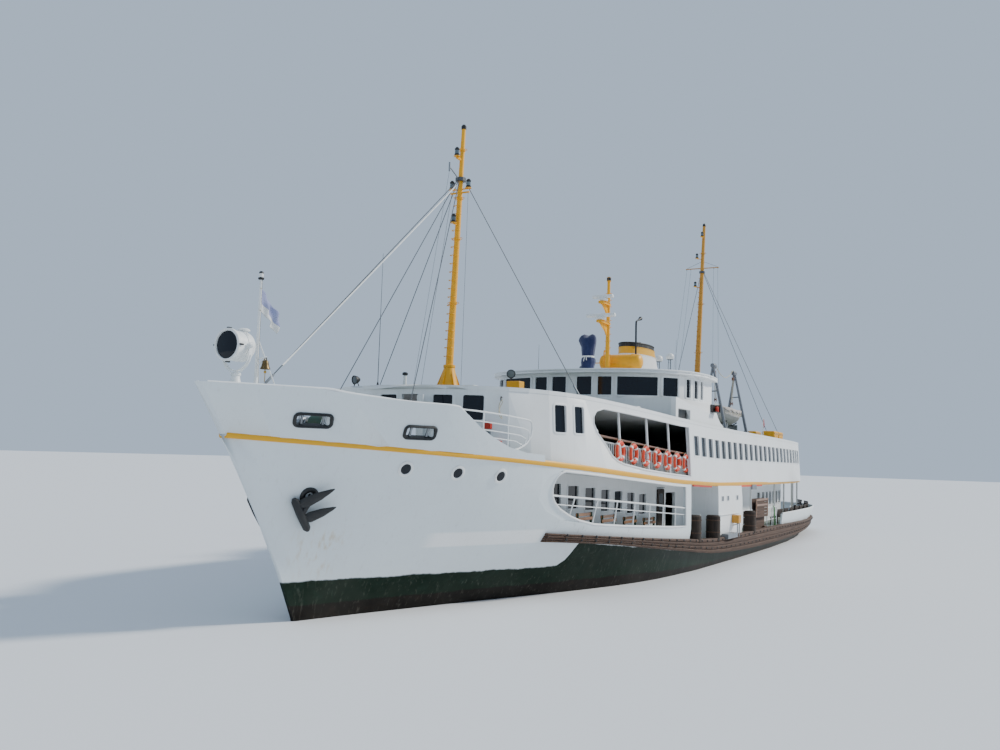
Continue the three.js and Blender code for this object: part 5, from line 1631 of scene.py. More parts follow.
def arc(centre: Point, first: Point, second: Point, start: float, end: float, count: int) -> list[Vector]:
    """Returns points on an arc.

    Args:
        centre: its centre.
        first: the radius at angle 0, as a vector.
        second: the radius at a quarter turn, as a vector.
        start: the first angle, in radians.
        end: the last angle.
        count: how many points.

    Returns:
        The points.
    """
    c, a, b = Vector(centre), Vector(first), Vector(second)
    return [c + a * math.cos(t) + b * math.sin(t) for t in spread(start, end, count)]


def ellipse(centre: Point, half_x: float, half_y: float, sides: int) -> list[tuple[float, float, float]]:
    """Returns a level ellipse about a point."""
    return [(centre[0] + half_x * u, centre[1] + half_y * v, centre[2]) for u, v in circle(1.0, sides)]


def flowing(spots: list[Vector], steps: int) -> list[Vector]:
    """Runs a smooth curve through a line of points.

    Args:
        spots: the points that it passes through.
        steps: how many pieces each stretch between two points is cut into.

    Returns:
        The curve's points.
    """
    wide = [spots[0] * 2 - spots[1], *spots, spots[-1] * 2 - spots[-2]]
    line = []
    for a, b, c, d in zip(wide, wide[1:], wide[2:], wide[3:]):
        for i in range(steps):
            t = i / steps
            line.append(0.5 * (2 * b + (c - a) * t + (2 * a - 5 * b + 4 * c - d) * t * t + (3 * b - a - 3 * c + d)
                               * t ** 3))
    return [*line, spots[-1]]


def smooth_copy(node: str, finish: Finish, floor: Finish | None = None, angle: float = 28.0) -> None:
    """Shows a CAD node's own shape with its curved faces shaded smooth, in place of the node.

    Args:
        node: the node.
        finish: what it is finished in.
        floor: what its decks are finished in, where that differs.
        angle: the angle past which an edge stays sharp, in degrees.
    """
    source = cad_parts[node]
    work = bmesh.new()
    work.from_mesh(source.data)
    bmesh.ops.remove_doubles(work, verts=work.verts, dist=1e-5)
    bmesh.ops.dissolve_degenerate(work, edges=work.edges, dist=1e-6)
    data = bpy.data.meshes.new(f"{node}_plating")
    work.to_mesh(data)
    work.free()
    data.shade_smooth()
    data.set_sharp_from_angle(angle=math.radians(angle))
    data.materials.append(finish.material())
    if floor:
        data.materials.append(floor.material())
        for face in data.polygons:
            if face.normal.z > 0.9 and face.area > 0.01:
                face.material_index = 1
    thing = join(f"{node}_plating", data)
    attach(thing, "hull")
    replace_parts(thing, node)
    LOG.info("smoothed %s", node)


@dataclass
class CompassCover(Work):
    """The canvas cover over the compass on the wheelhouse roof, with its ties and the compass's foot."""

    roof: float = 8.14
    compass: tuple[float, float] = (6.3, 0.0)
    facets: int = 56
    crown: float = 9.83
    cloth_width: float = 2.0

    # Columns: height, lowest y, highest y, half-length.
    COVER = ((8.16, -0.29, 0.28, 0.27), (8.3, -0.28, 0.27, 0.26), (8.46, -0.29, 0.28, 0.27),
             (8.62, -0.31, 0.34, 0.3), (8.76, -0.3, 0.33, 0.29), (8.88, -0.26, 0.25, 0.24),
             (8.98, -0.28, 0.27, 0.27), (9.15, -0.3, 0.3, 0.3), (9.32, -0.31, 0.33, 0.31),
             (9.46, -0.38, 0.36, 0.32), (9.58, -0.44, 0.37, 0.32), (9.68, -0.41, 0.36, 0.3),
             (9.77, -0.33, 0.31, 0.25), (9.82, -0.2, 0.2, 0.15))

    # Columns: height, half-width of the band.
    TIES = ((8.88, 0.035), (8.19, 0.05))

    # Turned profiles: radius, height along the axis.
    COMPASS_FOOT = ((0, 0), (0.2, 0), (0.2, 0.06), (0.16, 0.08), (0, 0.08))

    def build(self) -> None:
        """Drapes the navy canvas over the compass, gathered by its tie."""
        x0, y0 = self.compass
        sides = self.facets
        rings = []
        for z, low, high, half in self.COVER:
            ring = []
            tight = math.exp(-((z - 8.9) / 0.16) ** 2) + 0.6 * math.exp(-((z - 8.2) / 0.2) ** 2)
            for u, v in circle(1.0, sides):
                turn = math.atan2(v, u)
                fold = 1 + (0.012 + 0.03 * tight) * math.sin(11 * turn + 1.4 * z) + 0.02 * math.sin(5 * turn - 3.1 * z)
                middle, reach = (low + high) / 2, (high - low) / 2
                # The hood sags between the two lobes of the sight below it.
                sag = 0.07 * max(0.0, z - 9.5) / 0.3 * math.cos(2 * turn)
                ring.append((x0 + half * u * fold, y0 + middle + reach * v * fold, z - sag))
            rings.append(ring)
        hood = Shape()
        hood.loft(rings, caps=False)
        top = len(hood.points) - sides
        hood.points.append(Vector((x0, y0, self.crown)))
        hood.faces.extend((top + k, top + (k + 1) % sides, len(hood.points) - 1) for k in range(sides))
        data = hood.data("compass_cover", 80)
        data.materials.append(Coat.CANVAS.material())
        thing, area = cloth(data, 0.004, -1)
        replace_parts(thing, "covered_compass")
        tie = Shape()
        for z, band in self.TIES:
            low, high, half = next(row[1:] for row in self.COVER if row[0] >= z)
            rings = []
            for rise, out in ((-band, 0.0), (-band, 0.028), (band, 0.028), (band, 0.0)):
                rings.append(ellipse((x0, y0 + (low + high) / 2, z + rise), half + out, (high - low) / 2 + out, 40))
            tie.loft(rings, loop=True)
        tie.tube([(x0 + 0.28, y0 - 0.02, 8.88), (x0 + 0.31, y0 - 0.05, 8.8), (x0 + 0.33, y0 - 0.07, 8.66)], 0.016, 6)
        tie.tube([(x0 + 0.28, y0 + 0.03, 8.88), (x0 + 0.32, y0 + 0.05, 8.82), (x0 + 0.33, y0 + 0.06, 8.7)], 0.016, 6)
        ties = tie.piece("compass_cover_ties", Coat.BAND)
        Shape().lathe(self.COMPASS_FOOT, (x0, y0, self.roof + 0.001), sides=20).piece("compass_foot", Coat.BLACK)


@dataclass
class AirTank(Work):
    """The yellow air receiver on the wheelhouse roof."""

    roof: float = 8.14
    centre_x: float = 3.3
    centre_z: float = 8.95
    radius: float = 0.36
    ends: tuple[float, float] = (-0.62, 1.45)
    saddles: tuple[float, float] = (-0.35, 1.0)

    # Turned profiles: radius, height along the axis.
    TANK_VALVE = ((0, 0), (0.07, 0), (0.07, 0.03), (0, 0.03))

    def build(self) -> None:
        """Makes the yellow air receiver on its saddles, with straps, piping and a valve."""
        x, z, r = self.centre_x, self.centre_z, self.radius
        y0, y1 = self.ends
        body = Shape().lathe([(0, 0), (r * 0.6, 0.03), (r * 0.88, 0.09), (r, 0.18), (r, y1 - y0 - 0.18),
                              (r * 0.88, y1 - y0 - 0.09), (r * 0.6, y1 - y0 - 0.03), (0, y1 - y0)], (x, y0, z),
                             axis=(0, 1, 0), sides=32)
        for y in self.saddles:
            body.box((x - 0.28, y - 0.05, self.roof), (x + 0.28, y + 0.05, z - r * 0.55))
        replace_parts(body.piece("air_receiver", Coat.YELLOW), "air_tank")
        trim = Shape()
        for y in self.saddles:
            path = arc((x, y, z), (r + 0.01, 0, 0), (0, 0, r + 0.01), -0.3, math.pi + 0.3, 24)
            trim.loft([[(px + (px - x) * grow, py + u, pz + (pz - z) * grow)
                        for u, grow in ((-0.035, 0), (0.035, 0), (0.035, 0.03), (-0.035, 0.03))]
                       for px, py, pz in path])
        trim.tube([(x + 0.2, y0 + 0.4, z + r - 0.05), (x + 0.3, y0 + 0.4, z + r + 0.1),
                   (x + 0.55, y0 + 0.4, z + r + 0.12), (x + 0.62, y0 + 0.4, z),
                   (x + 0.62, y0 + 0.4, self.roof + 0.02)], 0.03, 8)
        trim.lathe(self.TANK_VALVE, (x + 0.42, y0 + 0.4, z + r + 0.14), sides=14)
        trim.tube([(x + 0.36, 0.4, z - 0.05), (x + 0.5, -0.6, z - 0.07), (x + 0.5, -0.8, z - 0.07)], 0.025, 8)
        trim.piece("air_receiver_trim", Coat.YELLOW)


@dataclass
class Radar(Work):
    """The fittings of the radar mast and its two scanners."""

    mast_x: float = 4.0
    cap_z: float = 12.66
    rungs: tuple[float, float] = (8.6, 12.1)
    rung_count: int = 12

    # Columns: name, bracket height, bracket reach, length of the scanner.
    SCANNERS = (("upper", 11.5, 0.95, 1.0), ("lower", 10.6, 1.15, 1.4))

    # Turned profiles: radius, height along the axis.
    SCANNER_BASE = ((0, 0), (0.2, 0), (0.2, 0.02), (0, 0.02))
    MAST_CAP = ((0, 0), (0.09, 0), (0.1, 0.05), (0.1, 0.17), (0.06, 0.21), (0, 0.21))
    SCANNER_HUB = ((0, 0.0), (0.2, 0.0), (0.24, 0.04), (0.22, 0.12), (0.12, 0.17), (0.06, 0.2), (0, 0.2))

    def mast(self) -> None:
        """Fits the mast with its rungs, cap and brackets."""
        x = self.mast_x
        extra = Shape()
        for z in spread(*self.rungs, self.rung_count):
            extra.tube([(x - 0.02, -0.16, z), (x - 0.02, 0.16, z)], 0.014, 6)
        for _, z, reach, _ in self.SCANNERS:
            plate = [(x + 0.05, z + 0.03), (x + reach - 0.03, z + 0.03), (x + reach - 0.15, z - 0.05),
                     (x + 0.05, z - 0.5)]
            extra.loft([[(px, -0.012, pz) for px, pz in plate], [(px, 0.012, pz) for px, pz in plate]])
            extra.lathe(self.SCANNER_BASE, (x + reach - 0.25, 0, z + 0.1006), sides=20)
            extra.tube([(x, 0.1, z + 0.05), (x + 0.3, 0.17, z + 0.12), (x + reach - 0.1, 0.14, z + 0.12)], 0.012, 6)
        extra.piece("radar_mast_fittings", Coat.YELLOW)
        Shape().lathe(self.MAST_CAP, (x, 0, self.cap_z), sides=18).piece("radar_mast_cap", Coat.BLACK)

    def scanners(self) -> None:
        """Makes the two turning scanners."""
        for label, z, reach, length in self.SCANNERS:
            cx, base = self.mast_x + reach - 0.25, z + 0.1206
            turn = Shape().lathe(self.SCANNER_HUB, (cx, 0, base + 0.003), sides=28)
            half = length / 2
            rings = []
            for y in (-half, -half + 0.02, -0.12, 0.12, half - 0.02, half):
                thin = 0.72 if abs(y) > half - 0.01 else 1.0
                rings.append([(cx + u * thin, y, base + 0.22 + v * thin) for u, v in rounded(0.19, 0.16, 0.06, 4)])
            turn.loft(rings)
            piece = turn.piece(f"radar_scanner_{label}_shell", Coat.PLASTIC, f"scanner_{label}")
            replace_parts(piece, f"radar_scanner_{label}")

    def build(self) -> None:
        """Makes the fittings and the scanners."""
        self.mast()
        self.scanners()


@dataclass
class Funnel(Work):
    """The funnel with its uptakes and whistle."""

    trim_z: tuple[float, float] = (9.56, 9.9)

    # Columns: height, half-length, half-width, middle.
    LEVELS = ((7.981, 2.3, 0.9, -0.45), (8.4, 2.14, 0.86, -0.34), (8.85, 2.0, 0.82, -0.22),
              (9.3, 1.85, 0.78, -0.1), (9.7, 1.72, 0.75, 0.0), (10.08, 1.6, 0.72, 0.1))
    # Columns: x, y, radius.
    UPTAKES = ((0.55, 0.2, 0.2), (0.55, -0.25, 0.2), (-0.3, 0.0, 0.26), (-0.95, 0.1, 0.12))
    STEAM_PIPE = ((1.62, 0.5, 8.7), (1.62, 0.52, 9.6), (1.6, 0.5, 10.9), (1.56, 0.49, 11.1), (1.23, 0.48, 11.25))

    # Turned profiles: radius, height along the axis.
    WHISTLE = ((0.03, 0), (0.05, 0.1), (0.1, 0.36), (0.085, 0.36), (0.02, 0.1))

    def build(self) -> None:
        """Makes the raked oval funnel with its rim, trims, uptakes and whistle pipe."""
        side = [ellipse((x, 0, z), a, b, 56) for z, a, b, x in self.LEVELS]
        lip = [ellipse((0.1, 0, z), 1.6 + grow, 0.72 + grow, 56) for z, grow in ((10.08, 0.012), (10.1, 0.03),
                                                                                 (10.13, 0.02), (10.13, -0.06),
                                                                                 (9.6, -0.08))]
        shell = Shape().loft([*side, *lip])
        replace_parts(shell.piece("funnel_shell", Coat.FUNNEL, sharp=50), "funnel")
        trims, pipes = Shape(), Shape()
        for z in self.trim_z:
            share = (z - 9.3) / 0.78
            a, b, x = 1.85 - 0.25 * share, 0.78 - 0.06 * share, -0.1 + 0.2 * share
            trims.loft([ellipse((x, 0, z + v), a + n, b + n, 56) for v, n in ((-0.015, 0.0), (-0.015, 0.014),
                                                                              (0.015, 0.014), (0.015, 0.0))],
                       loop=True)
        trims.piece("funnel_trims", Coat.FUNNEL)
        for x, y, r in self.UPTAKES:
            pipes.lathe([(r * 0.85, -0.4), (r, -0.4), (r, 0.22), (r * 0.86, 0.22), (r * 0.85, -0.2)],
                        (x, y, 10.0), sides=20)
        pipes.tube(self.STEAM_PIPE, [0.045, 0.045, 0.045, 0.045, 0.03], 10)
        pipes.lathe(self.WHISTLE, (1.26, 0.48, 11.22), axis=(-0.9, 0, 0.35), sides=16)
        pipes.tube([(1.6, 0.52, 9.95), (1.3, 0.42, 9.9)], 0.03, 8)
        pipes.piece("funnel_uptakes_and_whistle", Coat.BLACK)


@dataclass
class RoofGear(Work):
    """The aerials, and the wheelhouse roof's edge with the side lights."""

    roof: float = 8.14
    casing: float = 7.98

    # Columns: x, y of one half of the roof's edge.
    ROOF_EDGE = ((2.8, 4.82), (3.6, 4.92), (4.7, 4.95), (5.6, 4.84), (6.3, 4.63), (6.9, 4.28), (7.45, 3.75),
                 (7.9, 3.0), (8.2, 1.95), (8.36, 0.7))
    # Columns: x, y, height of the post's head.
    DOMES = ((-4.0, -0.2, 9.75), (-4.0, 0.42, 9.85))

    # Turned profiles: radius, height along the axis.
    AERIAL_PLATE = ((0, 0), (0.16, 0), (0.16, 0.02), (0, 0.02))
    AERIAL_DOME = ((0, 0.02), (0.17, 0.02), (0.21, 0.09), (0.215, 0.17), (0.18, 0.27), (0.1, 0.33), (0, 0.345))
    SIDE_LIGHT = ((0, 0), (0.08, 0), (0.08, 0.2), (0.05, 0.24), (0, 0.24))

    def aerials(self) -> None:
        """Stands the domes on their braced posts, and the whip aerials."""
        posts, domes, whips = Shape(), Shape(), Shape()
        for x, y, head in self.DOMES:
            for dx, dy in ((-0.1, 0), (0.1, -0.1), (0.1, 0.1)):
                posts.tube([(x + dx, y + dy, self.casing), (x + dx * 0.6, y + dy * 0.6, head)], 0.02, 6)
            for z in spread(self.casing + 0.3, head - 0.2, 4):
                posts.tube([(x - 0.09, y, z), (x + 0.08, y - 0.08, z + 0.1), (x + 0.08, y + 0.08, z + 0.2),
                            (x - 0.08, y, z + 0.3)], 0.009, 5)
            posts.lathe(self.AERIAL_PLATE, (x, y, head), sides=16)
            domes.lathe(self.AERIAL_DOME, (x, y, head), sides=24)
        posts.piece("aerial_posts", Coat.GALVANISED)
        domes.piece("aerial_domes", Coat.PLASTIC)
        for x, y, foot, head in ((-4.0, 0.75, self.casing, 10.9), (3.2, -3.9, self.roof, 9.9),
                                 (19.9, -1.55, 6.43, 10.8), (3.2, 4.1, self.roof, 9.3)):
            whips.lathe([(0, 0), (0.04, 0), (0.035, 0.14), (0.012, 0.2), (0.005, head - foot), (0, head - foot)],
                        (x, y, foot), sides=8)
        whips.piece("whip_aerials", Coat.BLACK)

    def edges(self) -> None:
        """Runs the drip edge round the wheelhouse roof, and sets the side lights in their screens."""
        route = [*self.ROOF_EDGE, *((x, -y) for x, y in reversed(self.ROOF_EDGE))]
        trim = Shape()
        for z, r in ((8.02, 0.03), (8.135, 0.035)):
            trim.tube([(x, y, z) for x, y in route], r, 8, closed=True)
        trim.piece("wheelhouse_roof_edge", Coat.HOUSE)
        walls = Skin("wheelhouse_walls")
        screens = Shape()
        for label, side, finish in (("port", 1, Coat.RED), ("starboard", -1, Coat.GREEN)):
            y = walls.side(3.6, 6.75, side).y
            out = y + side * 0.03
            screens.box((3.3, out - 0.02, 6.62), (4.0, out + 0.02, 6.95))
            screens.box((3.3, out, 6.6), (3.34, out + side * 0.24, 6.95))
            screens.box((3.3, out, 6.6), (4.0, out + side * 0.24, 6.63))
            Shape().lathe(self.SIDE_LIGHT, (3.5, out + side * 0.13, 6.635),
                          sides=16).piece(f"{label}_side_light", finish)
        screens.piece("side_light_screens", Coat.BLACK, bevel=0.01)

    def build(self) -> None:
        """Makes the roof gear."""
        self.aerials()
        self.edges()


@dataclass
class Mast:
    """A raked pole mast, by its foot, heel height, head height and rake."""

    name: str
    foot: float
    heel: float
    head: float
    rake: float
    heel_radius: float
    head_radius: float

    def x(self, z: float) -> float:
        """Returns the mast's middle at a height."""
        return self.foot + self.rake * (z - self.heel) / (self.head - self.heel)

    def radius(self, z: float) -> float:
        """Returns the mast's radius at a height."""
        share = (z - self.heel) / (self.head - self.heel)
        return self.heel_radius + (self.head_radius - self.heel_radius) * share


@dataclass
class Masts(Work):
    """Both masts with their steps, bands, lamps, yard, halyards and rigging screws."""

    yard_z: float = 16.25
    gaff_z: float = 13.6
    gaff_reach: float = 0.75
    spreader_z: float = 13.2
    fore_hounds: float = 13.62
    main_hounds: float = 15.96

    # Columns: the yard's halyard y, its foot.
    YARD_HALYARDS = ((-0.95, (-9.6, -1.6, 6.0)), (-0.7, (-9.6, -1.2, 6.0)), (0.7, (-9.6, 1.2, 6.0)),
                     (0.95, (-9.6, 1.6, 6.0)))
    FORE_STAY_FEET = ((27.0, 0, 5.86), (23.2, 1.6, 4.38), (23.2, -1.6, 4.38), (16.5, 4.1, 6.25), (16.5, -4.1, 6.25))
    MAIN_STAY_FEET = ((-16.0, 3.9, 5.85), (-16.0, -3.9, 5.85), (-19.0, 2.6, 5.85), (-19.0, -2.6, 5.85))

    # Turned profiles: radius, height along the axis.
    LAMP_PLATE = ((0, 0), (0.11, 0), (0.11, 0.02), (0, 0.02))
    LAMP_CASE = ((0, 0), (0.085, 0), (0.09, 0.06), (0.07, 0.075), (0, 0.075))
    LAMP_GLASS = ((0, 0.07), (0.068, 0.07), (0.078, 0.13), (0.068, 0.2), (0, 0.2))
    LAMP_HOOD = ((0, 0.195), (0.075, 0.195), (0.085, 0.24), (0.04, 0.3), (0, 0.3))
    FORE_CAP = ((0, 0), (0.085, 0), (0.09, 0.1), (0.05, 0.16), (0, 0.17))
    MAIN_CAP = ((0, 0), (0.1, 0), (0.1, 0.1), (0.05, 0.18), (0, 0.19))
    ARM_PIN = ((0, -0.02), (0.02, -0.02), (0.02, 0.02), (0, 0.02))
    RIGGING_SCREW = ((0, -0.06), (0.1, -0.06), (0.1, 0.0), (0.06, 0.015), (0, 0.015))

    def __post_init__(self) -> None:
        """Sets the two masts out."""
        self.fore = Mast("foremast", 18.1, 7.0, 15.5, -0.42, 0.13, 0.07)
        self.main = Mast("mainmast", -10.1, 5.7, 19.0, -1.6, 0.2, 0.09)

    def steps(self, mast: Mast, low: float, high: float, count: int, finish: Finish, forward: int) -> None:
        """Welds step irons up one face of a mast.

        Args:
            mast: the mast.
            low: the lowest step's height.
            high: the highest one's.
            count: how many steps.
            finish: what they are finished in.
            forward: 1 for the fore face, -1 for the after face.
        """
        irons = Shape().tube([(0, -0.13, 0), (0.1, -0.13, 0), (0.13, -0.1, 0), (0.13, 0.1, 0), (0.1, 0.13, 0),
                              (0, 0.13, 0)], 0.012, 6)
        seats = []
        for z in spread(low, high, count):
            r = mast.radius(z) * 0.6
            seats.append(Seat(Vector((mast.x(z) + forward * r, 0, z)), Vector((forward, 0, 0)),
                              Vector((0, forward, 0)), Vector((0, 0, 1))))
        self.repeat.on_seats(f"{mast.name}_steps", irons, seats, finish)

    def bands(self, mast: Mast, heights: Sequence[float], finish: Finish) -> None:
        """Clamps eyed bands round a mast.

        Args:
            mast: the mast.
            heights: the height of each band.
            finish: what they are finished in.
        """
        rings = Shape()
        for z in heights:
            r = mast.radius(z)
            rings.lathe([(r * 0.8, -0.04), (r + 0.018, -0.04), (r + 0.018, 0.04), (r * 0.8, 0.04)],
                        (mast.x(z), 0, z), sides=20)
            for u, v in circle(1.0, 4):
                rings.link((mast.x(z) + (r + 0.05) * u, (r + 0.05) * v, z), (u, v, 0), (0, 0, 1), 0.09, 0.06, 0.01)
        rings.piece(f"{mast.name}_bands", finish)

    def lamps(self) -> None:
        """Hangs the masthead and signal lamps, each a lantern on a bracket."""
        cases, glass, brackets = Shape(), Shape(), Shape()
        places = [(self.fore, 14.4, 0.34, 0), (self.fore, 13.35, 0.0, 0.32), (self.fore, 13.35, 0.0, -0.32),
                  (self.main, 18.2, 0.36, 0), (self.main, 16.85, 0.3, -0.27), (self.main, 15.07, 0.28, -0.3),
                  (self.fore, 12.1, 0.3, 0)]
        for mast, z, dx, dy in places:
            x, y = mast.x(z) + dx, dy
            brackets.tube([(mast.x(z), 0, z - 0.03), (x, y, z - 0.03)], 0.022, 6)
            brackets.lathe(self.LAMP_PLATE, (x, y, z - 0.02), sides=16)
            cases.lathe(self.LAMP_CASE, (x, y, z), sides=18)
            glass.lathe(self.LAMP_GLASS, (x, y, z), sides=18)
            cases.lathe(self.LAMP_HOOD, (x, y, z), sides=18)
        cases.piece("mast_lamp_cases", Coat.BLACK)
        glass.piece("mast_lamp_glass", Coat.LENS)
        brackets.piece("mast_lamp_brackets", Coat.YELLOW)

    def tops(self) -> None:
        """Caps the masts, and adds the fore gaff, the whip and the main yard's fittings."""
        fore, main = self.fore, self.main
        caps = Shape()
        caps.lathe(self.FORE_CAP, (fore.x(15.5), 0, 15.44), sides=16)
        caps.lathe(self.MAIN_CAP, (main.x(18.95), 0, 18.93), sides=16)
        caps.piece("mast_caps", Coat.BLACK)
        arms = Shape()
        root = fore.x(self.gaff_z)
        tip = root + self.gaff_reach
        arms.tube([(root, 0, self.gaff_z), (tip, 0, 13.9)], 0.022, 8)
        arms.tube([(tip, 0, 13.75), (tip, 0, 14.05)], 0.03, 8)
        for y in (-0.97, -0.72, 0.72, 0.97):
            arms.lathe(self.ARM_PIN, (main.x(self.yard_z), y, 16.2), sides=8)
        for y in (-0.95, 0.95):
            arms.tube([(main.x(16.7), 0, 16.7), (main.x(self.yard_z), y, 16.29)], 0.01, 5)
        arms.piece("mast_arms", Coat.GALVANISED)

    def wires(self) -> None:
        """Leads the aerial wire and the halyards, and puts a rigging screw at the foot of each stay."""
        fore, main = self.fore, self.main
        lines = Shape()
        for y, foot in self.YARD_HALYARDS:
            lines.tube([(main.x(self.yard_z), y, 16.2), foot], 0.006, 5)
        for y in (-0.32, 0.32):
            lines.tube([(fore.x(self.spreader_z), y, self.spreader_z), (18.6, y * 2.4, 6.42)], 0.006, 5)
        lines.tube([(fore.x(self.gaff_z) + self.gaff_reach, 0, 13.75), (19.6, -0.4, 6.45)], 0.005, 5)
        lines.tube([(27.2, 0.045, 8.65), (27.2, 0.06, 6.1)], 0.005, 5)
        lines.piece("halyards", Coat.WIRE)
        foot, top = Vector(self.FORE_STAY_FEET[0]), Vector((fore.x(self.fore_hounds), 0, self.fore_hounds))
        sleeve = Shape().tube([foot + (top - foot) * 0.08, foot + (top - foot) * 0.97], 0.024, 8)
        sleeve.piece("forestay_sleeve", Coat.RAIL)
        screws = Shape()
        feet = [(foot, fore, self.fore_hounds) for foot in self.FORE_STAY_FEET]
        feet += [(foot, main, self.main_hounds) for foot in self.MAIN_STAY_FEET]
        for foot, mast, z in feet:
            start = Vector(foot)
            ahead = (Vector((mast.x(z), 0, z)) - start).normalized()
            screws.tube([start + ahead * s for s in (0.16, 0.2, 0.55, 0.59)], [0.016, 0.034, 0.034, 0.016], 8)
            screws.link(start + ahead * 0.1, ahead, ahead.orthogonal(), 0.16, 0.08, 0.013)
            rise = 0.07 if foot[2] > 5 else 0.1
            screws.lathe(self.RIGGING_SCREW, (foot[0], foot[1], foot[2] + rise), sides=12)
        screws.piece("rigging_screws", Coat.GALVANISED)

    def build(self) -> None:
        """Makes the masts' fittings."""
        self.steps(self.fore, 7.6, 13.0, 20, Coat.YELLOW, 1)
        self.steps(self.main, 6.9, 15.6, 30, Coat.OCHRE, 1)
        self.bands(self.fore, (9.4, 11.6, 13.0, 14.7), Coat.YELLOW)
        self.bands(self.main, (8.0, 11.0, 14.0, 17.2), Coat.OCHRE)
        self.lamps()
        self.tops()
        self.wires()


@dataclass
class Searchlight(Work):
    """The searchlight on the stem platform."""

    lamp_x: float = 27.9
    lamp_z: float = 6.78
    lamp_radius: float = 0.36
    fork: float = 0.44
    bend_z: float = 6.62
    platform: float = 5.84
    swivel_z: float = 6.1006

    # Turned profiles: radius, height along the axis.
    FOOT = ((0, 0), (0.24, 0), (0.24, 0.025), (0.15, 0.04), (0.12, 0.12), (0.1, 0.23), (0.13, 0.245), (0.13, 0.259),
            (0, 0.259))
    FOOT_BOLT = ((0, 0), (0.022, 0), (0.022, 0.02), (0, 0.026))
    SWIVEL = ((0, 0), (0.125, 0), (0.125, 0.03), (0.06, 0.05), (0.06, 0.1), (0, 0.1))
    PIVOT = ((0, 0), (0.05, 0), (0.05, 0.02), (0.03, 0.03), (0.03, 0.06), (0, 0.065))
    BOSS = ((0, 0), (0.07, 0), (0.05, 0.03), (0.045, 0.055), (0, 0.055))
    VENT = ((0.1, 0.0), (0.1, 0.05), (0.15, 0.06), (0.15, 0.09), (0.1, 0.12), (0, 0.13), (0, 0.0))
    FRONT_GLASS = ((0, 0.655), (0.32, 0.65), (0.332, 0.652), (0.332, 0.662), (0.2, 0.68), (0, 0.687))

    def post(self) -> None:
        """Makes the post on the stem platform."""
        x = self.lamp_x
        base = Shape().lathe(self.FOOT, (x, 0, self.platform + 0.0006), sides=24)
        for k in range(6):
            turn = math.pi / 3 * k
            base.lathe(self.FOOT_BOLT, (x + 0.2 * math.cos(turn), 0.2 * math.sin(turn), self.platform + 0.022),
                       sides=6)
        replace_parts(base.piece("searchlight_post", Coat.RAIL), "searchlight_base")

    def yoke(self) -> None:
        """Makes the round-bottomed fork."""
        x, z, middle = self.lamp_x, self.lamp_z, self.bend_z
        bend = arc((x, 0, middle), (0, self.fork, 0), (0, 0, self.fork), math.pi, 2 * math.pi, 21)
        path = [Vector((x, -self.fork, z + 0.07)), *bend, Vector((x, self.fork, z + 0.07))]
        yoke = Shape()
        rings = []
        for p in path:
            inward = (Vector((x, 0, middle)) - p).normalized() if p.z < middle else Vector((0, -p.y, 0)).normalized()
            rings.append([p + Vector((u, 0, 0)) + inward * v for u, v in ((-0.055, 0), (0.055, 0), (0.055, 0.018),
                                                                          (-0.055, 0.018))])
        yoke.loft(rings)
        yoke.lathe(self.SWIVEL, (x, 0, self.swivel_z), sides=20)
        for side in (1, -1):
            yoke.tube([(x, side * 0.1, 6.12), (x, side * 0.36, 6.3), (x, side * (self.fork + 0.01), 6.56)], 0.012, 6)
            yoke.lathe(self.PIVOT, (x, side * self.fork, z), axis=(0, side, 0), sides=14)
            yoke.tube([(x - 0.07, side * (self.fork + 0.05), z), (x + 0.07, side * (self.fork + 0.05), z)], 0.01, 6)
        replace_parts(yoke.piece("searchlight_fork", Coat.RAIL, "lamp_yoke", bevel=0.004), "searchlight_yoke")

    def drum(self) -> None:
        """Makes the drum with its vent, catches and dark front glass."""
        x, z, r = self.lamp_x, self.lamp_z, self.lamp_radius
        start = (x - 0.34, 0, z)
        drum = Shape().lathe([(0, -0.03), (0.2, -0.01), (0.3, 0.03), (0.345, 0.09), (r, 0.13), (r, 0.3),
                              (r + 0.012, 0.305), (r + 0.012, 0.325), (r, 0.33), (r, 0.6), (r + 0.03, 0.61),
                              (r + 0.034, 0.63), (r + 0.034, 0.685), (r + 0.02, 0.7), (r - 0.02, 0.7),
                              (r - 0.028, 0.67), (r - 0.028, 0.5), (0.27, 0.33), (0.12, 0.25), (0, 0.235)],
                             start, axis=(1, 0, 0), sides=40)
        for side in (1, -1):
            drum.lathe(self.BOSS, (x, side * (r - 0.005), z), axis=(0, side, 0), sides=14)
        for turn in spread(0.2, math.pi - 0.2, 5):
            y, rise = (r + 0.02) * math.cos(turn), (r + 0.02) * math.sin(turn)
            drum.box((x - 0.12, y - 0.02, z + rise - 0.025), (x - 0.04, y + 0.02, z + rise + 0.012))
        drum.lathe(self.VENT, (x - 0.2, 0, z + r - 0.03), sides=20)
        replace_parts(drum.piece("searchlight_shell", Coat.RAIL, "lamp_drum"), "searchlight_drum")
        trims = Shape()
        for turn in (math.pi / 2, -math.pi / 2, 0.0, math.pi):
            y, rise = (r + 0.04) * math.cos(turn), (r + 0.04) * math.sin(turn)
            trims.box((x + 0.23, y - 0.03, z + rise - 0.02), (x + 0.34, y + 0.03, z + rise + 0.02))
        trims.tube(arc((x - 0.39, 0, z), (0, 0.13, 0), (-0.07, 0, 0), 0, math.pi, 9), 0.014, 6)
        trims.piece("searchlight_catches", Coat.BLACK, "lamp_drum")
        Shape().lathe(self.FRONT_GLASS, start, axis=(1, 0, 0), sides=36).piece("searchlight_glass",
                                                                               Coat.GLASS, "lamp_drum")

    def build(self) -> None:
        """Makes the searchlight."""
        self.post()
        self.yoke()
        self.drum()


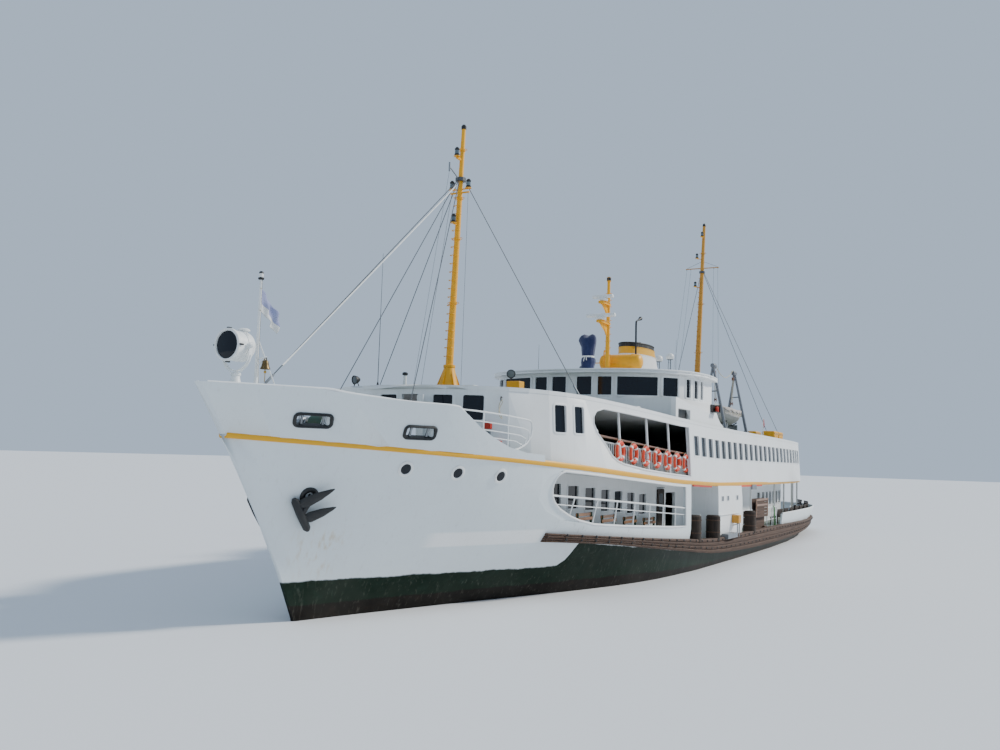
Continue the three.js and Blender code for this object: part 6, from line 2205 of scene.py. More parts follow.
@dataclass
class Jackstaff(Work):
    """The jackstaff with its lamp and bell, and the flag that hangs from it."""

    platform: float = 5.84
    staff_x: float = 27.2
    staff_head: float = 8.52

    # Turned profiles: radius, height along the axis.
    LAMP_BASE = ((0, 0.0), (0.06, 0.0), (0.075, 0.02), (0.075, 0.05), (0.05, 0.06), (0, 0.06))
    LAMP_HOOD = ((0, 0.16), (0.062, 0.16), (0.05, 0.2), (0.02, 0.215), (0, 0.215))
    LAMP_GLASS = ((0, 0.055), (0.05, 0.055), (0.058, 0.11), (0.05, 0.165), (0, 0.165))
    CLAPPER = ((0, -0.04), (0.03, -0.025), (0.034, 0), (0.025, 0.03), (0, 0.035))

    def staff(self) -> None:
        """Makes the jackstaff with its lamp, braces, cleat and bell."""
        x, head = self.staff_x, self.staff_head
        pole = Shape().lathe([(0, 0), (0.13, 0), (0.13, 0.02), (0.06, 0.035), (0.05, 0.12), (0.045, 0.3),
                              (0.032, 2.5), (0.03, head - self.platform), (0, head - self.platform)],
                             (x, 0, self.platform + 0.0006), sides=16)
        pole.tube([(x, 0, 6.55), (x, 0.28, 6.57), (x, 0.3, 6.6)], 0.018, 8)
        pole.tube([(x, 0.02, 6.38), (x, 0.26, 6.56)], 0.012, 6)
        for dy in (-0.28, 0.28):
            pole.tube([(x, 0, 7.05), (x - 0.42, dy, self.platform + 0.01)], 0.016, 6)
        pole.tube([(x + 0.05, -0.09, 6.9), (x + 0.05, 0.09, 6.9)], 0.012, 6)
        staff = pole.piece("jackstaff_pole", Coat.RAIL)
        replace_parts(staff, "jackstaff")
        lamp = Shape().lathe(self.LAMP_BASE, (x, 0, head - 0.01), sides=18)
        lamp.lathe(self.LAMP_HOOD, (x, 0, head - 0.01), sides=18)
        lamp.piece("staff_lamp_case", Coat.BLACK)
        Shape().lathe(self.LAMP_GLASS, (x, 0, head - 0.01), sides=18).piece("staff_lamp_glass", Coat.PLASTIC)
        wall = ((0.15, 0.0), (0.17, 0.0), (0.165, 0.025), (0.135, 0.08), (0.112, 0.18), (0.1, 0.25), (0.075, 0.285),
                (0.02, 0.3), (0.0004, 0.3), (0.0004, 0.28), (0.06, 0.268), (0.088, 0.24), (0.1, 0.17), (0.122, 0.07))
        bell = Shape().lathe([(r * 0.74, 0.08 + h * 0.74) for r, h in wall], (x, 0.28, 6.21), sides=28)
        bell.link((x, 0.28, 6.53), (0, 1, 0), (0, 0, 1), 0.06, 0.09, 0.014)
        bell.piece("bell", Coat.BRONZE)
        clapper = Shape().tube([(x, 0.28, 6.48), (x + 0.01, 0.29, 6.24)], 0.01, 6)
        clapper.lathe(self.CLAPPER, (x + 0.01, 0.29, 6.22), sides=12)
        clapper.tube([(x + 0.01, 0.29, 6.19), (x + 0.012, 0.292, 6.05), (x + 0.02, 0.29, 5.98)], 0.009, 6)
        clapper.piece("bell_clapper", Coat.BRASS)

    def flag(self) -> None:
        """Hangs the limp flag from the staff, gathered in soft folds along its fly."""
        luff, top, hoist = self.staff_x - 0.04, 8.3, 0.56
        columns, rows = 46, 16
        shape = Shape()
        for i in range(columns + 1):
            s = i / columns
            for j in range(rows + 1):
                t = j / rows
                # The top corner of the fly hangs lowest aft, and the cloth between runs in folds along the slope.
                high = (luff - 0.72 * s ** 0.95, top - 0.6 * s ** 1.1 - 0.04 * math.sin(math.pi * s))
                low = (luff - 0.6 * s, top - hoist - 0.5 * s + 0.04 * math.sin(math.pi * s))
                x = high[0] + (low[0] - high[0]) * t
                z = high[1] + (low[1] - high[1]) * t
                depth = 0.05 * min(1.0, s * 3.0)
                y = depth * math.sin(9.5 * s - 3.2 * t + 0.4) + 0.5 * depth * math.sin(17.0 * s + 5.0 * t)
                shape.points.append(Vector((x, y, z)))
        data = shape.grid(columns, rows).data("flag_cloth", 180)
        for finish in (Coat.FLAG, Coat.FLAG_WHITE):
            data.materials.append(finish.material())
        for face in data.polygons:
            row = face.index % rows
            face.material_index = 1 if row >= rows * 0.62 else 0
        thing, area = cloth(data, 0.0015, 0)
        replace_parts(thing, "bow_flag")
        toggles = Shape()
        for z in (top - 0.01, top - hoist + 0.01):
            toggles.tube([(luff - 0.005, 0, z), (luff + 0.04, 0.045, z), (luff + 0.085, 0.03, z)], 0.008, 6)
        lashing = toggles.piece("flag_toggles", Coat.ROPE)

    def build(self) -> None:
        """Makes the jackstaff."""
        self.staff()
        self.flag()


@dataclass
class MooringGear(Work):
    """The windlass, the chain pipes, the bollards and the coiled warps."""

    windlass_x: float = 24.6
    shaft_z: float = 5.0
    chain_count: int = 15
    coil_turns: int = 3
    coil_layers: int = 4

    # Columns: x, y of each pair of posts. The first two pairs stand on the foredeck, the others on the after deck.
    BOLLARDS = ((22.4, 2.5), (25.6, 1.35), (-26.3, 2.7), (-22.5, 3.9))
    WARPS = ((23.5, 2.0), (23.5, -2.0), (-24.6, 0.9))

    # Turned profiles: radius, height along the axis.
    WARPING_END = ((0, 0), (0.2, 0), (0.2, 0.03), (0.13, 0.07), (0.115, 0.14), (0.13, 0.22), (0.19, 0.27),
                   (0.19, 0.3), (0, 0.3))
    CHAIN_WHEEL = ((0.1, 0), (0.24, 0), (0.25, 0.03), (0.17, 0.08), (0.17, 0.12), (0.25, 0.17), (0.24, 0.2),
                   (0.1, 0.2))
    MOTOR = ((0, 0), (0.16, 0), (0.17, 0.04), (0.17, 0.5), (0.14, 0.56), (0, 0.56))
    BRAKE_DRUM = ((0.1, 0), (0.22, 0), (0.22, 0.12), (0.1, 0.12))
    CHAIN_PIPE = ((0.09, 0.0), (0.22, 0.0), (0.2, 0.06), (0.15, 0.13), (0.1, 0.13), (0.09, 0.1))
    BOLLARD = ((0, 0), (0.09, 0), (0.085, 0.05), (0.085, 0.3), (0.105, 0.32), (0.105, 0.36), (0.07, 0.39), (0, 0.395))

    def windlass(self) -> None:
        """Builds the windlass: bed, gear case, shaft, chain wheels, brakes and warping ends, with both chains."""
        x, z = self.windlass_x, self.shaft_z
        deck = upper_z(x)
        frame_work, wheels = Shape(), Shape()
        frame_work.box((x - 0.42, -0.95, deck - 0.02), (x + 0.42, 0.95, deck + 0.07))
        for y in (-0.82, -0.3, 0.3, 0.82):
            plate = [(x - 0.3, deck + 0.06), (x + 0.3, deck + 0.06), (x + 0.12, z + 0.12), (x, z + 0.16),
                     (x - 0.12, z + 0.12)]
            frame_work.loft([[(px, y - 0.03, pz) for px, pz in plate], [(px, y + 0.03, pz) for px, pz in plate]])
        case = Seat(Vector((x, 0, z)), Vector((1, 0, 0)), Vector((0, 0, 1)), Vector((0, -1, 0)))
        frame_work.slab(case, rounded(0.62, 0.6, 0.2), -0.22, 0.22)
        frame_work.lathe(self.MOTOR, (x - 0.72, -0.1, z - 0.12), axis=(1, 0, 0), sides=22)
        frame_work.piece("windlass_frame", Coat.GREEN, bevel=0.012)
        wheels.tube([(x, -1.12, z), (x, 1.12, z)], 0.05, 14)
        for side in (1, -1):
            wheels.lathe(self.WARPING_END, (x, side * 0.86, z), axis=(0, side, 0), sides=26)
            wheels.lathe(self.CHAIN_WHEEL, (x, side * 0.38, z), axis=(0, side, 0), sides=26)
            wheels.lathe(self.BRAKE_DRUM, (x, side * 0.62, z), axis=(0, side, 0), sides=28)
            wheels.tube([(x + 0.1, side * 0.68, z + 0.2), (x + 0.1, side * 0.68, z + 0.42)], 0.014, 6)
            wheels.tube(arc((x + 0.1, side * 0.68, z + 0.42), (0.11, 0, 0), (0, 0.11, 0), 0, 2 * math.pi,
                            17)[:-1], 0.012, 6, closed=True)
        thing = wheels.piece("windlass_wheels", Coat.GALVANISED)
        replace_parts(thing, "windlass")
        link = Shape().link((0, 0, 0), (1, 0, 0), (0, 1, 0), 0.15, 0.09, 0.017)
        for label, side in SIDES:
            path = [(x + 0.0, side * 0.48, z + 0.2), (x + 0.12, side * 0.48, z + 0.16), (x + 0.22, side * 0.48, z),
                    (x + 0.4, side * 0.5, z - 0.22), (x + 0.7, side * 0.52, upper_z(x) + 0.12),
                    (x + 1.0, side * 0.53, upper_z(x) + 0.16)]
            self.repeat.along(f"anchor_chain_{label}", link, path, self.chain_count, Coat.GALVANISED, links=True)
            pipe = Shape().lathe(self.CHAIN_PIPE, (x + 1.12, side * 0.53, upper_z(x + 1.12) - 0.01), sides=22)
            pipe.piece(f"chain_pipe_{label}", Coat.BLACK)

    def bollards(self) -> None:
        """Sets pairs of mooring posts on the foredeck and on the after deck, with coiled warps."""
        posts = Shape()
        for x, y in self.BOLLARDS:
            deck = upper_z(x) if x > 0 else main_z(x)
            for side in (1, -1):
                posts.box((x - 0.38, side * y - 0.15, deck - 0.01), (x + 0.38, side * y + 0.15, deck + 0.03))
                for dx in (-0.2, 0.2):
                    posts.lathe(self.BOLLARD, (x + dx, side * y, deck + 0.02), sides=20)
        posts.piece("bollards", Coat.BLACK, bevel=0.006)
        rope = Shape()
        for x, y in self.WARPS:
            deck = upper_z(x) if x > 0 else main_z(x)
            for level in range(self.coil_layers):
                turns = []
                for k in range(19 * self.coil_turns):
                    turn = 2 * math.pi * k / 19
                    reach = 0.42 - 0.055 * (k / 19) - 0.02 * (level % 2)
                    turns.append((x + reach * math.cos(turn), y + reach * math.sin(turn), deck + 0.035 + 0.05 * level))
                rope.tube(turns, 0.026, 6)
        rope.piece("coiled_warps", Coat.ROPE)

    def build(self) -> None:
        """Makes the gear."""
        self.windlass()
        self.bollards()


@dataclass
class BoatGear(SideWork):
    """One boat with its cover and falls, and its davits with the slack line between their heads."""

    davit_x: tuple[float, float] = (-1.25, -5.55)
    foot_y: float = 4.15
    leg_y: float = 3.0
    head_y: float = 3.5
    head_z: float = 9.2
    foot_z: float = 6.06
    boat_x: float = -3.4
    keel: float = 6.35
    half: float = 1.85
    beam: float = 0.7
    depth: float = 0.72

    # Turned profiles: radius, height along the axis.
    BLOCK_SHEAVE = ((0, -0.05), (0.05, -0.05), (0.035, 0), (0.05, 0.05), (0, 0.05))
    DAVIT_HEAD = ((0, -0.1), (0.1, -0.1), (0.115, -0.07), (0.115, 0.36), (0.09, 0.42), (0, 0.42))
    DAVIT_PIVOT = ((0, -0.2), (0.09, -0.2), (0.09, 0.2), (0, 0.2))
    DAVIT_FOOT = ((0, 0), (0.13, 0), (0.13, 0.025), (0.08, 0.035), (0, 0.035))
    HEAD_SHEAVE = ((0, -0.03), (0.13, -0.03), (0.1, 0), (0.13, 0.03), (0, 0.03))
    WINCH_DRUM = ((0, -0.17), (0.14, -0.17), (0.14, -0.14), (0.08, -0.13), (0.08, 0.13), (0.14, 0.14), (0.14, 0.17),
                  (0, 0.17))

    def section(self, run: float) -> tuple[float, float, float, float]:
        """Returns the boat's fullness, half-breadth, keel height and gunwale height at -1 to 1 along it."""
        fat = max(1 - run * run, 0.01) ** 0.4
        return fat, self.beam * fat, self.keel + 0.25 * run * run, self.keel + self.depth + 0.14 * run * run

    def boat(self) -> None:
        """Makes one boat: lapped planks, gunwale, keel, hooks, grab lines, falls and blocks, and its cover."""
        body, y0 = f"boat_{self.label}", self.side * self.head_y
        runs = [math.sin(t) for t in spread(-math.pi / 2, math.pi / 2, 33)]
        shell, trim, lines = Shape(), Shape(), Shape()
        # Columns: share of the half-breadth, share of the depth.
        girth = ((0.0, 0.0), (0.3, 0.04), (0.58, 0.16), (0.61, 0.17), (0.8, 0.34), (0.83, 0.35), (0.94, 0.57),
                 (0.965, 0.58), (0.99, 0.8), (1.015, 0.81), (1.0, 1.0), (0.95, 1.0), (0.9, 0.9))
        rings = []
        for run in runs:
            _, b, keel, top = self.section(run)
            half = [(b * u, keel + (top - keel) * v) for u, v in girth]
            around = half + [(-y, z) for y, z in reversed(half[1:])]
            rings.append([(self.boat_x + run * self.half, y0 + y, z) for y, z in around])
        shell.loft(rings)
        hull = shell.piece(f"boat_shell_{self.label}", Coat.BOAT, body, sharp=50)
        for turn in (1, -1):
            edge = [(self.boat_x + run * self.half, y0 + turn * (self.section(run)[1] + 0.01),
                     self.section(run)[3] - 0.01) for run in runs]
            trim.tube(edge, 0.026, 8)
            path = []
            for k in range(8):
                for j in range(6):
                    run = -0.86 + 1.72 * (k + j / 6) / 8
                    _, b, keel, top = self.section(run)
                    sag = 0.13 * math.sin(math.pi * j / 6)
                    path.append((self.boat_x + run * self.half, y0 + turn * (b + 0.02),
                                 keel + (top - keel) * 0.85 - sag))
            lines.tube(path, 0.009, 5)
        trim.tube([(self.boat_x + run * self.half, y0, self.section(run)[2] - 0.02) for run in runs], 0.03, 6)
        for sign in (1, -1):
            hook = self.boat_x + sign * (self.half - 0.25)
            trim.tube([(hook, y0, self.keel + 0.3), (hook, y0, self.keel + 0.98)], 0.02, 8)
            trim.link((hook, y0, self.keel + 1.03), (0, 0, 1), (1, 0, 0), 0.14, 0.1, 0.016)
        trim.piece(f"boat_trim_{self.label}", Coat.RAIL, body)
        lines.piece(f"boat_grab_lines_{self.label}", Coat.ROPE, body)
        falls, blocks = Shape(), Shape()
        for x in self.davit_x:
            toward = math.copysign(1, self.boat_x - x)
            hook, block = self.boat_x - toward * (self.half - 0.25), x + toward * 0.35
            top = Vector((block, y0, self.head_z - 0.32))
            low = Vector((hook, y0, self.keel + 1.14))
            ahead = (top - low).normalized()
            for dy in (-0.035, 0.0, 0.035):
                falls.tube([low + Vector((0, dy, 0)) + ahead * 0.1, top + Vector((0, dy, 0)) - ahead * 0.08], 0.009, 5)
            for spot in (top, low + ahead * 0.06):
                seat = Seat(spot, Vector((1, 0, 0)), Vector((0, 0, 1)), Vector((0, -1, 0)))
                blocks.slab(seat, rounded(0.13, 0.2, 0.06), -0.055, -0.04)
                blocks.slab(seat, rounded(0.13, 0.2, 0.06), 0.04, 0.055)
                blocks.lathe(self.BLOCK_SHEAVE, spot, axis=(0, 1, 0), sides=16)
            blocks.tube([top, top + Vector((0, 0, 0.21))], 0.018, 8)
        pieces = falls.piece(f"boat_falls_{self.label}", Coat.ROPE,
                             body), blocks.piece(f"boat_blocks_{self.label}", Coat.VARNISH, body)
        self.cover(body, hull, runs)
        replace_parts(hull, f"lifeboat_{self.label}")
        LOG.info("rigged %s with %d pieces of tackle", body, len(pieces))

    def cover(self, body: str, hull: bpy.types.Object, runs: Sequence[float]) -> None:
        """Laces the cloth cover over the boat's ridge, down past the gunwale.

        Args:
            body: the boat's body.
            hull: the boat's shell.
            runs: the stations along the boat.
        """
        y0 = self.side * self.head_y
        shape, across = Shape(), 28
        for run in [r * 0.985 for r in runs]:
            fat, b, _, top = self.section(run)
            for k in range(across + 1):
                v = -1 + 2 * k / across
                reach = min(abs(v) / 0.78, 1.0)
                # The cloth dips between the ridge and the gunwale, and its hem is drawn in between the lashings.
                rise = top + 0.03 + 0.22 * fat * (1 - reach) - 0.03 * math.sin(math.pi * reach)
                rise += 0.006 * math.sin(23 * run + 5 * v)
                hang = max(0.0, abs(v) - 0.78) / 0.22
                pucker = 0.35 + 0.65 * abs(math.cos(9 * run))
                y = math.copysign((b + 0.035) * reach + 0.012 * hang * math.sin(31 * run), v)
                shape.points.append(Vector((self.boat_x + run * self.half, y0 + y, rise - 0.16 * hang * pucker)))
        data = shape.grid(len(runs) - 1, across).data(f"boat_cover_{self.label}", 180)
        data.materials.append(Coat.BOAT_COVER.material())
        thing, area = cloth(data, 0.002, 1, body)
        laces = Shape()
        for turn in (1, -1):
            for k in range(9):
                run = -0.84 + 1.68 * k / 8
                _, b, keel, top = self.section(run)
                x = self.boat_x + run * self.half
                laces.tube([(x, y0 + turn * (b + 0.045), top - 0.1), (x + 0.03, y0 + turn * (b + 0.03),
                                                                      top - 0.3)], 0.006, 5)
        laced = laces.piece(f"boat_cover_laces_{self.label}", Coat.ROPE, body)

    def davits(self) -> None:
        """Makes one side's two davits: legs, head with sheaves, struts, winch and foot pins."""
        body, frames, gear = f"davits_{self.label}", Shape(), Shape()
        brackets = Shape()
        for x in self.davit_x:
            toward = math.copysign(1, self.boat_x - x)
            head = Vector((x, self.side * self.head_y, self.head_z))
            foot = Vector((x, self.side * self.foot_y, self.foot_z))
            leg = Vector((x, self.side * self.leg_y, boat_z(x) + 0.03))
            frames.tube([leg, leg + (head - leg) * 0.5, head], [0.08, 0.07, 0.055], 14)
            frames.tube([foot, foot + (head - foot) * 0.5, head], [0.08, 0.07, 0.055], 14)
            for share in (0.28, 0.6):
                frames.tube([leg + (head - leg) * share, foot + (head - foot) * share], 0.032, 10)
            frames.lathe(self.DAVIT_HEAD, head, axis=(toward, 0, 0), sides=20)
            frames.lathe(self.DAVIT_PIVOT, foot, axis=(1, 0, 0), sides=18)
            frames.lathe(self.DAVIT_FOOT, (leg.x, leg.y, leg.z - 0.02), sides=16)
            gear.lathe(self.HEAD_SHEAVE, head + Vector((toward * 0.35, 0, 0.0)), axis=(0, 1, 0), sides=18)
            winch = leg + (head - leg) * 0.16
            gear.lathe(self.WINCH_DRUM, winch + Vector((0, self.side * 0.12, 0)), axis=(1, 0, 0), sides=18)
            gear.tube([winch + Vector((0.1, self.side * 0.12, 0.07)), head + Vector((0.06, 0, 0.08))], 0.008, 5)
            for off in (-0.23, 0.23):
                cheek = [(-0.14, boat_z(x) - 0.005), (0.14, boat_z(x) - 0.005), (0.08, self.foot_z + 0.09),
                         (-0.08, self.foot_z + 0.09)]
                brackets.loft([[(x + off + dx, foot.y + dy, z) for dy, z in cheek] for dx in (-0.018, 0.018)])
        thing = frames.piece(f"davit_frames_{self.label}", Coat.DAVIT, body)
        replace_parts(thing, f"davit_fore_{self.label}", f"davit_aft_{self.label}")
        gear.piece(f"davit_gear_{self.label}", Coat.GALVANISED, body)
        brackets.piece(f"davit_brackets_{self.label}", Coat.DAVIT)

    def slack_line(self) -> None:
        """Hangs the slack line between the two davit heads."""
        start, end = self.davit_x[0] - 0.4, self.davit_x[1] + 0.4
        span, sag, y, z = start - end, 0.52, self.side * self.head_y, self.head_z + 0.13
        path = [(start - span * t, y, z - 4 * sag * t * (1 - t)) for t in spread(0, 1, 41)]
        line = Shape().tube(path, 0.016, 8).piece(f"davit_slack_line_{self.label}", Coat.ROPE, f"davits_{self.label}")

    def chocks(self) -> None:
        """Pads the boat's cradles."""
        pads = Shape()
        for x in (self.boat_x - 1, self.boat_x + 1):
            rings = []
            for t in spread(-0.42, 0.42, 9):
                z = self.keel + 0.05 + 0.9 * t * t
                y = self.side * self.head_y + t
                rings.append([(x - 0.07, y, z - 0.05), (x + 0.07, y, z - 0.05), (x + 0.07, y, z - 0.015),
                              (x - 0.07, y, z - 0.015)])
            pads.loft(rings)
        pads.piece(f"boat_chock_pads_{self.label}", Coat.RUBBER)

    def build(self) -> None:
        """Makes the side."""
        self.slack_line()
        self.davits()
        self.boat()
        self.chocks()


@dataclass
class BowSide(SideWork):
    """The anchor and the bow rail of one side."""

    # Each point is (x, z) on the hull's side.
    HAWSE = (25.98, 3.22)
    CROWN = (26.11, 2.76)
    CROWN_BAR = ((26.39, 3.14), (25.83, 2.38))
    FLUKES = (((26.27, 2.96), (25.71, 3.42)), ((26.04, 2.62), (25.48, 2.96)))
    # Columns: x, y of the bow rail's top bar.
    RAIL_LINE = ((19.9, 4.02), (20.4, 3.96), (21.1, 3.82), (22.0, 3.52), (23.2, 3.06))

    # Turned profiles: radius, height along the axis.
    HAWSE_LIP = ((0.1, -0.03), (0.25, -0.03), (0.245, 0.03), (0.19, 0.06), (0.12, 0.04), (0.1, 0.0))
    POST_CAP = ((0, 0), (0.03, 0), (0.03, 0.03), (0, 0.04))

    def anchor(self) -> None:
        """Hangs a stockless anchor at its hawse, its flukes lying along the plating."""
        hull = Skin("hull")

        def at(point: Point, proud: float) -> Vector:
            """Returns the point proud of the plating at (x, z)."""
            spot = hull.side(point[0], point[1], self.side)
            return Vector((point[0], spot.y + self.side * proud, point[1]))

        iron = Shape()
        iron.tube([at(self.HAWSE, 0.02), at(self.HAWSE, 0.12), at(self.CROWN, 0.17)], [0.075, 0.075, 0.085], 10)
        first, last = at(self.CROWN_BAR[0], 0.17), at(self.CROWN_BAR[1], 0.17)
        along = (last - first).normalized()
        iron.tube([first - along * 0.03, first + along * 0.05, (first + last) / 2, last - along * 0.05,
                   last + along * 0.03], [0.05, 0.1, 0.115, 0.1, 0.05], 14)
        for root, bill in self.FLUKES:
            a, b = at(root, 0.17), at(bill, 0.3)
            ahead = (b - a).normalized()
            across = (along - ahead * along.dot(ahead)).normalized()
            out = ahead.cross(across)
            rings = []
            for share, width, thick in ((0, 0.1, 0.075), (0.25, 0.15, 0.06), (0.6, 0.12, 0.045), (0.9, 0.05, 0.025),
                                        (1.0, 0.015, 0.01)):
                spot = a + (b - a) * share
                rings.append([spot + across * u * width + out * v * thick
                              for u, v in ((-1, 0), (-0.5, 0.8), (0.5, 0.8), (1, 0), (0.5, -0.8), (-0.5, -0.8))])
            iron.loft(rings)
        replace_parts(iron.piece(f"anchor_{self.label}_iron", Coat.BLACK), f"anchor_{self.label}")
        low, high = at((self.HAWSE[0], self.HAWSE[1] - 0.15), 0), at((self.HAWSE[0], self.HAWSE[1] + 0.15), 0)
        aft, fore = at((self.HAWSE[0] - 0.15, self.HAWSE[1]), 0), at((self.HAWSE[0] + 0.15, self.HAWSE[1]), 0)
        out = (aft - fore).cross(high - low).normalized()
        out = out if out.y * self.side > 0 else -out
        ring = Shape().lathe(self.HAWSE_LIP, at(self.HAWSE, 0.0), axis=out, sides=30)
        ring.piece(f"hawse_lip_{self.label}", Coat.BLACK)

    def rail(self) -> None:
        """Bends the bow rail: a top bar, mid bars and the fan of bars at its after end."""

        def y_at(x: float) -> float:
            """Gives the rail's place across the ship."""
            return self.side * curve_at(self.RAIL_LINE, x)

        def top_z(x: float) -> float:
            """Gives the top bar's height."""
            return curve_at(((19.9, 5.41), (21.1, 5.5), (22.2, 5.57), (23.3, 5.6)), x)

        def low_z(x: float) -> float:
            """Gives the height of the bulwark's top."""
            return curve_at(BULWARK_TOP, x)

        bars = Shape()
        foot = Vector((20.95, y_at(20.95), 4.53))
        for corner, height, radius in ((19.95, 5.42, 0.024), (20.1, 5.15, 0.016), (20.28, 4.93, 0.016),
                                       (20.46, 4.74, 0.016)):
            drop = top_z(19.95) - height
            ahead = [x for x in spread(corner + 0.3, 23.3, 12) if top_z(x) - drop > low_z(x) + 0.02]
            run = [(x, y_at(x), top_z(x) - drop) for x in reversed(ahead)]
            depth = height - foot.z
            bend = [(corner + 0.14, y_at(corner), height - 0.005), (corner + 0.03, y_at(corner),
                                                                    height - 0.08 * depth),
                    (corner, y_at(corner), height - 0.25 * depth), (corner + 0.05, y_at(corner),
                                                                    height - 0.5 * depth),
                    (corner + 0.3 * (foot.x - corner), y_at(corner + 0.2), height - 0.75 * depth),
                    (corner + 0.65 * (foot.x - corner), y_at(20.7), height - 0.92 * depth), tuple(foot)]
            bars.tube([*run, *bend], radius, 8)
        for x in (21.1, 22.0):
            bars.tube([(x, y_at(x), low_z(x) - 0.05), (x, y_at(x), top_z(x))], 0.022, 8)
            bars.lathe(self.POST_CAP, (x, y_at(x), top_z(x)), sides=10)
        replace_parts(bars.piece(f"bow_rail_{self.label}_bars", Coat.RAIL), f"bow_rail_{self.label}")

    def build(self) -> None:
        """Makes the side."""
        self.anchor()
        self.rail()


@dataclass
class HouseFittings(Work):
    """The small fittings of the houses, the pennant, the hose and the two mast poles."""

    hose_x: float = -8.5
    pennant_x: float = -6.85
    foremast_x: float = 18.1
    spreader_z: float = 13.2
    yard_z: float = 16.25
    yard_half: float = 1.02

    # Columns: x, y, z, spread of the feet, turn from ahead.
    FLOODLIGHTS = ((19.1, -3.0, 6.78, 0.16, -0.3), (15.9, 1.17, 7.22, 0.05, 0.5))
    # Columns: reach from the mast, height over the deck.
    FIN = ((0.14, 0.02), (0.48, 0.02), (0.44, 0.12), (0.17, 0.82))

    # Turned profiles: radius, height along the axis.
    VALVE_WHEEL = ((0, -0.09), (0.045, -0.09), (0.045, 0.09), (0, 0.09))
    VENT_PIPE = ((0, 0), (0.09, 0), (0.09, 0.02), (0.06, 0.03), (0.048, 0.4), (0, 0.4))
    VENT_CAP = ((0, 0.38), (0.05, 0.38), (0.09, 0.4), (0.09, 0.45), (0.06, 0.48), (0, 0.49))
    FLOODLIGHT = ((0, -0.14), (0.06, -0.13), (0.12, -0.04), (0.15, 0.06), (0.155, 0.08), (0.135, 0.08), (0.1, 0.0),
                  (0, -0.02))
    FLOODLIGHT_GLASS = ((0, 0.05), (0.13, 0.05), (0.135, 0.062), (0, 0.07))
    PENNANT_POLE = ((0, 0), (0.05, 0), (0.05, 0.02), (0.018, 0.03), (0.014, 0.95), (0, 0.96))
    FOREMAST_FOOT = ((0, 0), (0.5, 0), (0.5, 0.03), (0.4, 0.045), (0.33, 0.25), (0.25, 0.55), (0.18, 0.84),
                     (0.2, 0.86), (0.2, 0.93), (0.14, 0.95), (0, 0.95))
    MAINMAST_FOOT = ((0, 0), (0.34, 0), (0.34, 0.03), (0.25, 0.05), (0.22, 0.14), (0, 0.14))

    def door_and_hook(self) -> None:
        """Fits the lounge door's open leaf, and the hook with its coiled line."""
        house = Skin("forward_house")
        leaf = Shape()
        x = house.hit((25, 0.78, 4.9), (-1, 0, 0)).x
        z0, z1 = upper_z(20.8) + 0.17, 6.12
        leaf.loft([[(x + 0.03, 0.67, z), (x + 0.22, 1.0, z), (x + 0.26, 0.98, z), (x + 0.07, 0.65, z)]
                   for z in (z0, z1)])
        leaf.piece("lounge_door_leaf", Coat.RAIL, bevel=0.008)
        iron, line = Shape(), Shape()
        spot = house.hit((25, 3.02, 6.2), (-1, 0, -0.02))
        iron.tube([spot, spot + Vector((0.14, 0.05, 0.02)), spot + Vector((0.2, 0.07, -0.03)),
                   spot + Vector((0.17, 0.06, -0.1))], 0.018, 8)
        start = spot + Vector((0.18, 0.065, -0.06))
        turns = [start + Vector((0.05 * math.sin(t), 0.05 * math.cos(t), -0.28 + 0.26 * math.cos(t / 2) - 0.004
                                 * t)) for t in spread(0, 4 * math.pi, 41)]
        line.tube(turns, 0.012, 6)
        iron.piece("lounge_hook", Coat.BLACK)
        line.piece("lounge_hook_line", Coat.ROPE)

    def valve_and_vents(self) -> None:
        """Fits the fire main's valve and board and the vent grid, and the vents on the roof."""
        house = Skin("forward_house")
        spot = house.hit((25, 2.7, 5.26), (-1, 0, 0))
        board = Shape().box((spot.x - 0.06, 2.3, 5.16), (spot.x + 0.05, 2.84, 5.34))
        pipe_at = house.hit((25, 3.03, 4.78), (-1, 0, 0))
        board.tube([pipe_at, pipe_at + Vector((0.12, 0.03, 0)), pipe_at + Vector((0.12, 0.03, -0.3))], 0.03, 10)
        board.lathe(self.VALVE_WHEEL, pipe_at + Vector((0.12, 0.03, 0.0)), axis=(0.3, 1, 0), sides=14)
        board.piece("fire_main_valve_and_board", Coat.RED, bevel=0.006)
        grid = Shape()
        for k in range(5):
            grid.box((spot.x - 0.02, 2.6 + 0.05 * k, 4.92), (spot.x + 0.02, 2.62 + 0.05 * k, 5.1))
        grid.box((spot.x - 0.02, 2.58, 5.09), (spot.x + 0.022, 2.84, 5.115))
        grid.box((spot.x - 0.02, 2.58, 4.9), (spot.x + 0.022, 2.84, 4.925))
        grid.piece("lounge_vent_grid", Coat.GALVANISED)
        deck = boat_z(20.0)
        vent, cap = Shape(), Shape()
        vent.lathe(self.VENT_PIPE, (20.0, -0.45, deck), sides=18)
        cap.lathe(self.VENT_CAP, (20.0, -0.45, deck), sides=18)
        for k in range(2):
            vent.box((17.55, -0.9 + 1.4 * k, boat_z(17.6)), (18.0, -0.5 + 1.4 * k, boat_z(17.6) + 0.3))
        vent.piece("roof_vent_post", Coat.RAIL, bevel=0.008)
        cap.piece("roof_vent_cap", Coat.BLACK)

